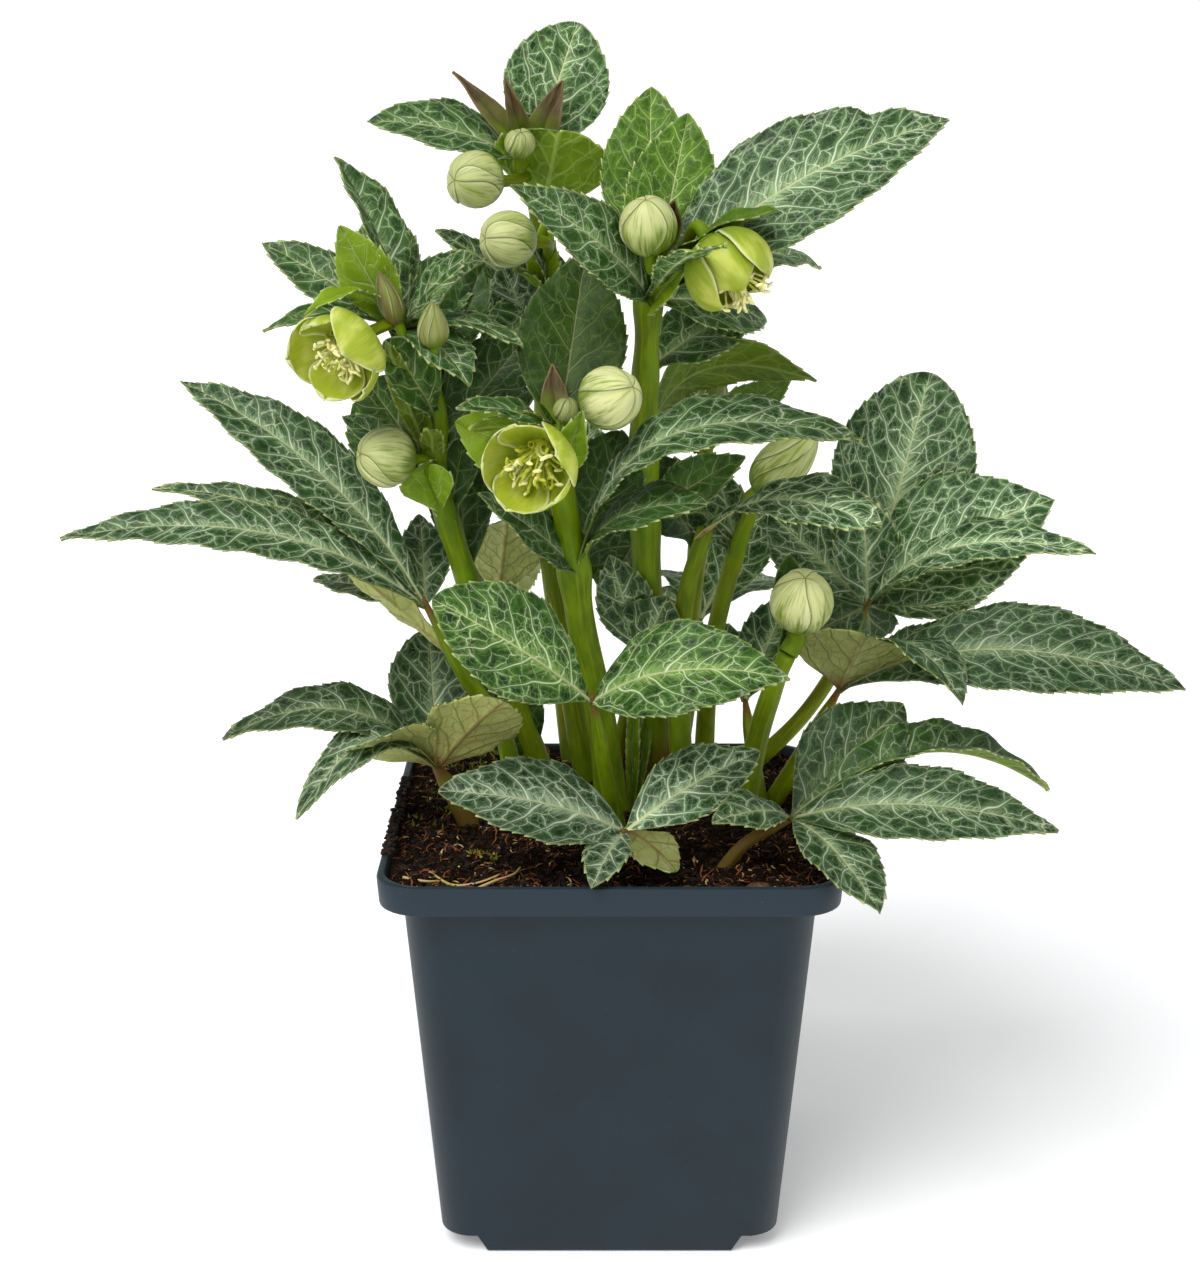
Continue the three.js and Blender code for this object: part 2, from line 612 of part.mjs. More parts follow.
/**
 * Solid shape of the pot's body and rim. Wall and lip are how far the body and the
 * rim are set in from the outer skin; floor and shoulder are where each one starts.
 */
function potEnvelope(wall, lip, floor, shoulder) {
  const body = taperedBlock(
    POT_FOOT_WIDTH - 2 * wall, POT_TOP_WIDTH - 2 * wall, POT_BODY_CORNER - wall / 2,
    floor, POT_HEIGHT - POT_RIM_HEIGHT + POT_WALL + POT_SHOULDER,
  );
  const rim = taperedBlock(
    POT_RIM_WIDTH - POT_RIM_TAPER - 2 * lip, POT_RIM_WIDTH - 2 * lip, POT_RIM_CORNER - lip / 2,
    POT_HEIGHT - POT_RIM_HEIGHT + shoulder, POT_HEIGHT + lip,
  );
  return cut(body, cornerNotches(wall)).add(rim);
}

function buildPot() {
  const drains = Array.from({ length: DRAIN_COUNT }, (_, k) => {
    const angle = ((k + 0.5) * 2 * Math.PI) / DRAIN_COUNT;
    const geometry = new THREE.CylinderGeometry(
      DRAIN_RADIUS, DRAIN_RADIUS, 4 * POT_FLOOR, DRAIN_SIDES,
    );
    geometry.rotateX(Math.PI / 2);
    geometry.translate(DRAIN_OFFSET * Math.cos(angle), DRAIN_OFFSET * Math.sin(angle), 0);
    return solidOf(geometry);
  });
  const inside = potEnvelope(POT_WALL, POT_LIP, POT_FLOOR, POT_SHOULDER);
  return cut(potEnvelope(0, 0, 0, 0), [inside, ...drains]);
}

/** Height of the soil over its mean level: a bank at the back left, and lumps. */
function soilRelief(x, y) {
  const bank = SOIL_BANK * ((y - x) / POT_RIM_WIDTH);
  return SOIL_WAVES.reduce((sum, wave) => sum + wave.height * Math.sin(x * wave.x + y * wave.y), bank);
}

function buildSoil(stemHoles) {
  const inside = potEnvelope(POT_WALL + GAP, POT_LIP + GAP, POT_FLOOR + GAP, POT_SHOULDER + GAP);
  const block = new THREE.BoxGeometry(
    POT_RIM_WIDTH, POT_RIM_WIDTH, 2 * SOIL_LEVEL, SOIL_CELLS, SOIL_CELLS, 1,
  );
  const position = block.attributes.position;
  for (let i = 0; i < position.count; i += 1) {
    const [x, y] = [position.getX(i), position.getY(i)];
    if (position.getZ(i) > 0) position.setZ(i, SOIL_LEVEL + soilRelief(x, y));
  }
  return cut(inside.intersect(solidOf(block)), stemHoles);
}

// ---------------------------------------------------------------------------
// Stems
// ---------------------------------------------------------------------------

/** Round rod of one thickness along a smooth curve through the points. */
function rod(points, radius, sides, step) {
  const curve = new THREE.CatmullRomCurve3(points);
  const section = new THREE.Shape(Array.from({ length: sides }, (_, k) => {
    const angle = (k * 2 * Math.PI) / sides;
    return new THREE.Vector2(radius * Math.cos(angle), radius * Math.sin(angle));
  }));
  const steps = Math.max(2, Math.ceil(curve.getLength() / step));
  return solidOf(new THREE.ExtrudeGeometry(section, {
    steps, bevelEnabled: false, extrudePath: curve,
  }));
}

/** Plain hole in the soil that leaves the gap round a stem and under its foot. */
function soilHole({ path, radius }) {
  const [foot, next] = path.map(vector);
  const under = foot.clone().add(foot.clone().sub(next).setLength(GAP));
  const over = foot.clone().add(next.clone().sub(foot).setLength(HOLE_LENGTH));
  const clear = (radius + GAP) / Math.cos(Math.PI / HOLE_SIDES);
  return rod([under, over], clear, HOLE_SIDES, HOLE_LENGTH);
}

/** Point of a stem's middle line that lies nearest to the target. */
function nearestOnStem(path, target) {
  const samples = new THREE.CatmullRomCurve3(path.map(vector)).getSpacedPoints(STEM_SAMPLES);
  return samples.reduce((best, p) => (
    p.distanceTo(target) < best.distanceTo(target) ? p : best
  ));
}

/** Stalk of a bud or flower, from the middle of its stem to just below its base. */
function stalkPoints(head, stem) {
  const base = headBase(head);
  const axis = vector(head.axis).normalize();
  const lead = base.clone().addScaledVector(axis, -STALK_LEAD);
  const via = head.via.map(vector);
  const root = nearestOnStem(STEMS[stem].path, via[0] ?? lead);
  return [root, ...via, lead, base.clone().addScaledVector(axis, -GAP)];
}

/** Middle of the flat base of a bud or flower, where its stalk ends. */
function headBase(head) {
  const axis = vector(head.axis).normalize();
  return head.mouth
    ? vector(head.mouth).addScaledVector(axis, -head.depth)
    : vector(head.at).addScaledVector(axis, -head.length / 2);
}

const HEADS = Object.values({ ...BUDS, ...FLOWERS });
const headsOn = (stem) => HEADS.filter((head) => head.stem === stem);

// ---------------------------------------------------------------------------
// Leaves
// ---------------------------------------------------------------------------

/**
 * Thin closed sheet over a grid of points, split into the same triangles on both
 * faces. at(i, j) gives the middle point of the sheet and its normal there.
 */
function sheet(rows, columns, thickness, at) {
  const positions = [];
  for (const side of [1, -1]) {
    for (let i = 0; i < rows; i += 1) {
      for (let j = 0; j < columns; j += 1) {
        const { point, normal } = at(i, j);
        positions.push(...point.clone().addScaledVector(normal, (side * thickness) / 2));
      }
    }
  }
  const front = (i, j) => i * columns + j;
  const back = (i, j) => rows * columns + i * columns + j;
  const faces = [];
  for (let i = 0; i < rows - 1; i += 1) {
    for (let j = 0; j < columns - 1; j += 1) {
      const mirrored = j < (columns - 1) / 2;
      const corners = [[i, j], [i + 1, j], [i + 1, j + 1], [i, j + 1]];
      const order = mirrored ? [0, 1, 3, 1, 2, 3] : [0, 1, 2, 0, 2, 3];
      faces.push(...order.map((k) => front(...corners[k])));
      faces.push(...order.map((k) => back(...corners[k])).reverse());
    }
  }
  const wall = (a, b) => faces.push(
    front(...a), front(...b), back(...b), front(...a), back(...b), back(...a),
  );
  for (let i = 0; i < rows - 1; i += 1) {
    wall([i + 1, 0], [i, 0]);
    wall([i, columns - 1], [i + 1, columns - 1]);
  }
  for (let j = 0; j < columns - 1; j += 1) {
    wall([0, j], [0, j + 1]);
    wall([rows - 1, j + 1], [rows - 1, j]);
  }
  const geometry = new THREE.BufferGeometry();
  geometry.setAttribute('position', new THREE.Float32BufferAttribute(positions, 3));
  geometry.setIndex(faces);
  return solidOf(geometry);
}

/** Half-width of a blade at t, with the widest place at belly along its length. */
function bladeHalfWidth(t, width, belly) {
  const power = Math.log(0.5) / Math.log(belly);
  const half = (width / 2) * Math.sin(Math.PI * t ** power) ** BLADE_FULLNESS;
  const least = THREE.MathUtils.lerp(BLADE_FOOT_HALF_WIDTH, BLADE_TIP_HALF_WIDTH, t);
  return Math.max(half, least);
}

/** One arched, toothed leaf blade from the middle of its stem to its tip. */
function blade(hub, { tip, width, arch, face, belly }) {
  const start = vector(hub);
  const end = vector(tip);
  const chord = end.clone().sub(start);
  const length = chord.length();
  const along = chord.clone().normalize();
  const up = vector(face).addScaledVector(along, -vector(face).dot(along)).normalize();
  const bend = start.clone()
    .addScaledVector(chord, ARCH_PEAK)
    .addScaledVector(up, 2 * arch * length);
  const midrib = new THREE.QuadraticBezierCurve3(start, bend, end);
  const stations = Math.max(BLADE_MIN_STATIONS, Math.round(length / BLADE_STATION));
  return sheet(stations + 1, 2, BLADE_THICKNESS, (i, j) => {
    const t = i / stations;
    const tangent = midrib.getTangent(t);
    const across = tangent.clone().cross(up).normalize();
    const normal = across.clone().cross(tangent);
    const margin = i > 0 && i < stations;
    const toothed = margin && i % 2 === 1;
    const edge = !margin ? 0 : toothed ? TOOTH_DEPTH : -TOOTH_NOTCH;
    const half = Math.max(bladeHalfWidth(t, width, belly) + edge, BLADE_TIP_HALF_WIDTH);
    const point = midrib.getPoint(t)
      .addScaledVector(tangent, toothed ? (TOOTH_LEAN * length) / stations : 0)
      .addScaledVector(across, j === 0 ? -half : half);
    return { point, normal };
  });
}

/** Leaves that grow from one place on a stem. */
const bladesFrom = ({ hub, blades }) => blades.map((each) => blade(hub, each));

/** Flowering stem: its rod, the stalks of its heads and its leaves, grown as one. */
function buildStem(name) {
  const { path, radius } = STEMS[name];
  const stalks = headsOn(name).map((head) => (
    rod(stalkPoints(head, name), head.stalk, STALK_SIDES, STALK_STEP)
  ));
  const leaves = Object.values(WHORLS).filter(({ stem }) => stem === name).flatMap(bladesFrom);
  return join([rod(path.map(vector), radius, STEM_SIDES, STEM_STEP), ...stalks, ...leaves]);
}

/** Basal leaf: its stalk out of the soil with the leaflets at its end. */
function buildBasalLeaf(name) {
  const { path, radius } = STALKS[name];
  const stalk = rod(path.map(vector), radius, STALK_SIDES, STEM_STEP);
  return join([stalk, ...bladesFrom(LEAVES[name])]);
}

// ---------------------------------------------------------------------------
// Buds and flowers, built round +Z with their base at the origin
// ---------------------------------------------------------------------------

/** Turns and moves a solid from the +Z axis onto a bud's or flower's own axis. */
function seat(solid, head) {
  const turn = new THREE.Quaternion().setFromUnitVectors(
    new THREE.Vector3(0, 0, 1), vector(head.axis).normalize(),
  );
  const matrix = new THREE.Matrix4().compose(headBase(head), turn, new THREE.Vector3(1, 1, 1));
  return solid.transform(matrix.elements);
}

/** Geometry of a small rod up +Z with its foot at the origin. */
function peg(footRadius, endRadius, length, sides) {
  const geometry = new THREE.CylinderGeometry(endRadius, footRadius, length, sides);
  geometry.rotateX(Math.PI / 2);
  geometry.translate(0, 0, length / 2);
  return geometry;
}

/** Egg-shaped closed bud with a blunt foot and a small point. */
function budSolid(head) {
  const profile = [new THREE.Vector2(0, 0), new THREE.Vector2(head.stalk, 0)];
  for (let k = 1; k < BUD_RINGS; k += 1) {
    const t = k / BUD_RINGS;
    const swell = head.radius * Math.sin(Math.PI * t ** BUD_BELLY) ** BUD_FULLNESS;
    profile.push(new THREE.Vector2(Math.max(swell, head.stalk), t * head.length));
  }
  profile.push(new THREE.Vector2(0, head.length));
  const geometry = new THREE.LatheGeometry(profile, BUD_SIDES);
  geometry.rotateX(Math.PI / 2);
  return seat(solidOf(geometry), head);
}

/** One cupped sepal; a closing head sweeps its sepals past the upright. */
function sepal(head, k) {
  const { degToRad } = THREE.MathUtils;
  const sweep = degToRad(head.sweep);
  const middle = (k * 2 * Math.PI) / SEPAL_COUNT + degToRad(head.turn);
  const spread = head.radius - SEPAL_FOOT_RADIUS;
  const { rows, columns } = head.closed ? CLOSED_GRID : OPEN_GRID;
  return sheet(rows, columns, SEPAL_THICKNESS, (i, j) => {
    const u = i / (rows - 1);
    const v = (2 * j) / (columns - 1) - 1;
    const lift = u * sweep;
    const radius = SEPAL_FOOT_RADIUS + SEPAL_LAYERS[k] + spread * Math.sin(lift);
    const round = Math.max(Math.sqrt(1 - u ** SEPAL_SQUARENESS), SEPAL_TIP_SHARE);
    const share = i === 0 ? SEPAL_FOOT_SHARE : round;
    const angle = middle + v * share * degToRad(SEPAL_HALF_ANGLE);
    const climb = (1 - Math.cos(lift)) / (1 - Math.cos(sweep));
    const rise = SEPAL_FOOT_RISE + head.depth * climb * (1 - SEPAL_EDGE_DIP * v * v * u);
    const slope = new THREE.Vector2(head.depth * Math.sin(lift), -spread * Math.cos(lift)).normalize();
    const [east, north] = [Math.cos(angle), Math.sin(angle)];
    return {
      point: new THREE.Vector3(radius * east, radius * north, rise),
      normal: new THREE.Vector3(slope.x * east, slope.x * north, slope.y),
    };
  });
}

/** Cup of overlapping sepals on their receptacle. */
function sepalCup(head) {
  const disc = peg(RECEPTACLE_FOOT_RADIUS, RECEPTACLE_RADIUS, RECEPTACLE_HEIGHT, DISC_SIDES);
  const sepals = Array.from({ length: SEPAL_COUNT }, (_, k) => sepal(head, k));
  return seat(join([solidOf(disc), ...sepals]), head);
}

/** Lifts a solid off the receptacle by the gap and seats it on its head. */
const seatInCup = (solid, head) => seat(solid.translate([0, 0, RECEPTACLE_HEIGHT + GAP]), head);

/** Ring of small tubular nectaries at the foot of the sepals. */
function nectaryRing(head) {
  const [inner, outer] = [NECTARY_RING - NECTARY_BAND / 2, NECTARY_RING + NECTARY_BAND / 2];
  const top = NECTARY_BAND_HEIGHT;
  const profile = [[inner, 0], [outer, 0], [outer, top], [inner, top], [inner, 0]];
  const band = new THREE.LatheGeometry(profile.map((xy) => new THREE.Vector2(...xy)), DISC_SIDES);
  band.rotateX(Math.PI / 2);
  const tubes = Array.from({ length: NECTARY_COUNT }, (_, k) => {
    const tube = peg(NECTARY_FOOT_RADIUS, NECTARY_RADIUS, NECTARY_LENGTH, NECTARY_SIDES);
    tube.rotateY(THREE.MathUtils.degToRad(NECTARY_LEAN));
    tube.translate(NECTARY_RING, 0, NECTARY_BAND_HEIGHT / 2);
    tube.rotateZ((k * 2 * Math.PI) / NECTARY_COUNT);
    return solidOf(tube);
  });
  return seatInCup(join([solidOf(band), ...tubes]), head);
}

/** Bunch of stamens with the styles in its middle, on a small dome. */
function stamenBunch(head) {
  const goldenTurn = Math.PI * (3 - Math.sqrt(5));
  const count = STYLE_COUNT + STAMEN_COUNT;
  const rods = Array.from({ length: count }, (_, k) => {
    const style = k < STYLE_COUNT;
    const out = Math.sqrt(k / count);
    const share = style ? STYLE_LENGTH : STAMEN_LENGTH + STAMEN_UNEVEN * Math.sin(STAMEN_SIDES * k);
    const endRadius = style ? STAMEN_RADIUS : ANTHER_RADIUS;
    const stamen = peg(STAMEN_RADIUS, endRadius, head.depth * share, STAMEN_SIDES);
    stamen.rotateY(out * THREE.MathUtils.degToRad(STAMEN_REACH));
    stamen.translate(STAMEN_RING * out, 0, DOME_HEIGHT / 2);
    stamen.rotateZ(k * goldenTurn);
    return solidOf(stamen);
  });
  const dome = peg(DOME_RADIUS, STAMEN_RING, DOME_HEIGHT, DISC_SIDES);
  return seatInCup(join([solidOf(dome), ...rods]), head);
}

// ---------------------------------------------------------------------------
// Plant
// ---------------------------------------------------------------------------

const plant = new THREE.Group();
const holes = [...Object.values(STEMS), ...Object.values(STALKS)].map(soilHole);

plant.add(piece('pot', buildPot(), 'pot'));
plant.add(piece('soil', buildSoil(holes), 'soil'));
for (const name of Object.keys(STEMS)) plant.add(piece(name, buildStem(name), 'stem'));
for (const name of Object.keys(STALKS)) plant.add(piece(name, buildBasalLeaf(name), 'basal'));
for (const [name, head] of Object.entries(BUDS)) {
  plant.add(piece(name, head.sweep ? sepalCup(head) : budSolid(head), 'bud'));
}
for (const [name, head] of Object.entries(FLOWERS)) {
  plant.add(piece(`${name}_sepals`, sepalCup(head), 'sepal'));
  plant.add(piece(`${name}_nectaries`, nectaryRing(head), 'nectary'));
  plant.add(piece(`${name}_stamens`, stamenBunch(head), 'stamen'));
}

export default plant;
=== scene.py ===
"""Hellebore in flower in its square nursery pot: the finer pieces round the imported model.

Metres, +Z up. The middle of the pot's underside is the origin and the front looks along -Y.
"""

import logging
import math
from collections.abc import Callable, Iterable, Sequence
from dataclasses import dataclass, field
from enum import Enum

import bpy
import numpy as np
from mathutils import Matrix, Vector, noise


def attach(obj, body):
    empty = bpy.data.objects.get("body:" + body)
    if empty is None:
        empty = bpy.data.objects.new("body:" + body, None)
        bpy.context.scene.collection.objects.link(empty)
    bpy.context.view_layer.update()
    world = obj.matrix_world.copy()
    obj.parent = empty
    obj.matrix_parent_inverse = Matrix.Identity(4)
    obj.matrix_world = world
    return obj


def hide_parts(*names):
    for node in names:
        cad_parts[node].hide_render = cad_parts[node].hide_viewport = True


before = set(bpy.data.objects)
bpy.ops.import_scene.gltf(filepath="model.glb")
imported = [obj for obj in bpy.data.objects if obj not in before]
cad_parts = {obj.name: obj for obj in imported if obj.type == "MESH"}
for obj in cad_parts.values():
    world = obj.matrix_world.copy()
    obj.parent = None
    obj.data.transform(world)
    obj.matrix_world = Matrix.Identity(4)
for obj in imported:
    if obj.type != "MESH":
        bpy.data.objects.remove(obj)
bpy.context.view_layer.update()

log = logging.getLogger("hellebore")

Point = tuple[float, float, float]
Colour = tuple[float, float, float, float]
Array = np.ndarray
Piece = bpy.types.Object
Material = bpy.types.Material
Socket = bpy.types.NodeSocket
Value = Socket | float | Point | Colour

BODY = "root"
UP = Vector((0, 0, 1))
GOLDEN_TURN = math.pi * (3 - math.sqrt(5))

# Numbers that seed each piece's unevenness start here.
FIRST_NUMBERS = {"stem": 1, "basal": 21, "bud": 41, "flower": 61}

# Routes: the least length that is divided by, the points laid through each span, the way
# that the first of its frames is turned from, and the least gap between knots.
TINY = 1e-12
SPAN_POINTS = 24
ASIDE = (0.13, 1.0, 0.21)
LEAST_GAP = 1e-6

# Degrees in half a turn, and the numbers of the colour sockets of Blender's Mix node.
HALF_TURN = 180.0
COLOUR_A, COLOUR_B, COLOUR_OUT = 6, 7, 2

# Finishes: how many patterns of leaf veins there are, how far apart those lie, and the curve
# of a screen's colours.
PATTERNS = 17
CELL_SHIFTS = (13.7, 7.9)
SCREEN_CURVE = (0.055, 2.4)


class Slot(Enum):
    """Material slots of the record."""

    POT = "pot_plastic"
    SOIL = "potting_soil"
    STEM = "leafy_stem"
    BASAL = "basal_leaf"
    BUD = "bud_sepal"
    SEPAL = "flower_sepal"
    NECTARY = "nectary"
    STAMEN = "stamen"


class Cover(Enum):
    """What kind of leaf a blade is, which decides its foot and its colours."""

    BASAL = "basal"
    STEM = "stem"
    BRACT = "bract"


# --- Rows: where each part of the plant stands ---


@dataclass(frozen=True)
class Blade:
    """One leaf blade. Face is the way that the middle of its upper side looks.

    Tone runs from blue green at 0 through fresh green at 1 to lime at 2, net is how strongly
    its veins are drawn, notch is where its edge is torn, as a share of its length, and
    full is how slim its tip is: less than 0.7 is round, 0.9 drawn out. Light scales all its
    colours up and down, which paints the light and shade on that blade.
    """

    tip: Point
    width: float
    arch: float
    face: Point
    belly: float
    fold: float = 8.0
    tone: float = 0.5
    net: float = 1.0
    # Painted light and shade: scales all of the blade's colours brighter or darker.
    light: float = 1.0
    notch: float = 0.0
    full: float = 0.84


@dataclass(frozen=True)
class Whorl:
    """Blades that grow from one place."""

    hub: Point
    blades: tuple[Blade, ...]
    cover: Cover = Cover.STEM


@dataclass(frozen=True)
class StemRow:
    """A stem or leaf stalk from its foot in the soil upwards, with its leaves."""

    radius: float
    path: tuple[Point, ...]
    whorls: tuple[Whorl, ...]
    blush: float = 0.012
    top: float = 0.8


@dataclass(frozen=True)
class BudRow:
    """A bud, its middle and the way that its tip points, with its stalk's way points."""

    stem: str
    middle: Point
    radius: float
    length: float
    axis: Point
    stalk: float
    via: tuple[Point, ...]
    green: float = 0.2
    pointed: float = 0.0
    brown: float = 0.0
    turn: float = 0.0
    swirl: float = 0.9


@dataclass(frozen=True)
class FlowerRow:
    """An open flower: the middle of its mouth, the way it looks and its size."""

    stem: str
    mouth: Point
    axis: Point
    radius: float
    depth: float
    turn: float
    stalk: float
    via: tuple[Point, ...]
    curls: tuple[float, ...] = (0, 0, 0, 0, 0)
    sweep: float = 90.0
    hang: float = 0.0
    reach: float = 34.0
    cap: float = 0.0
    stamen: float = 0.72


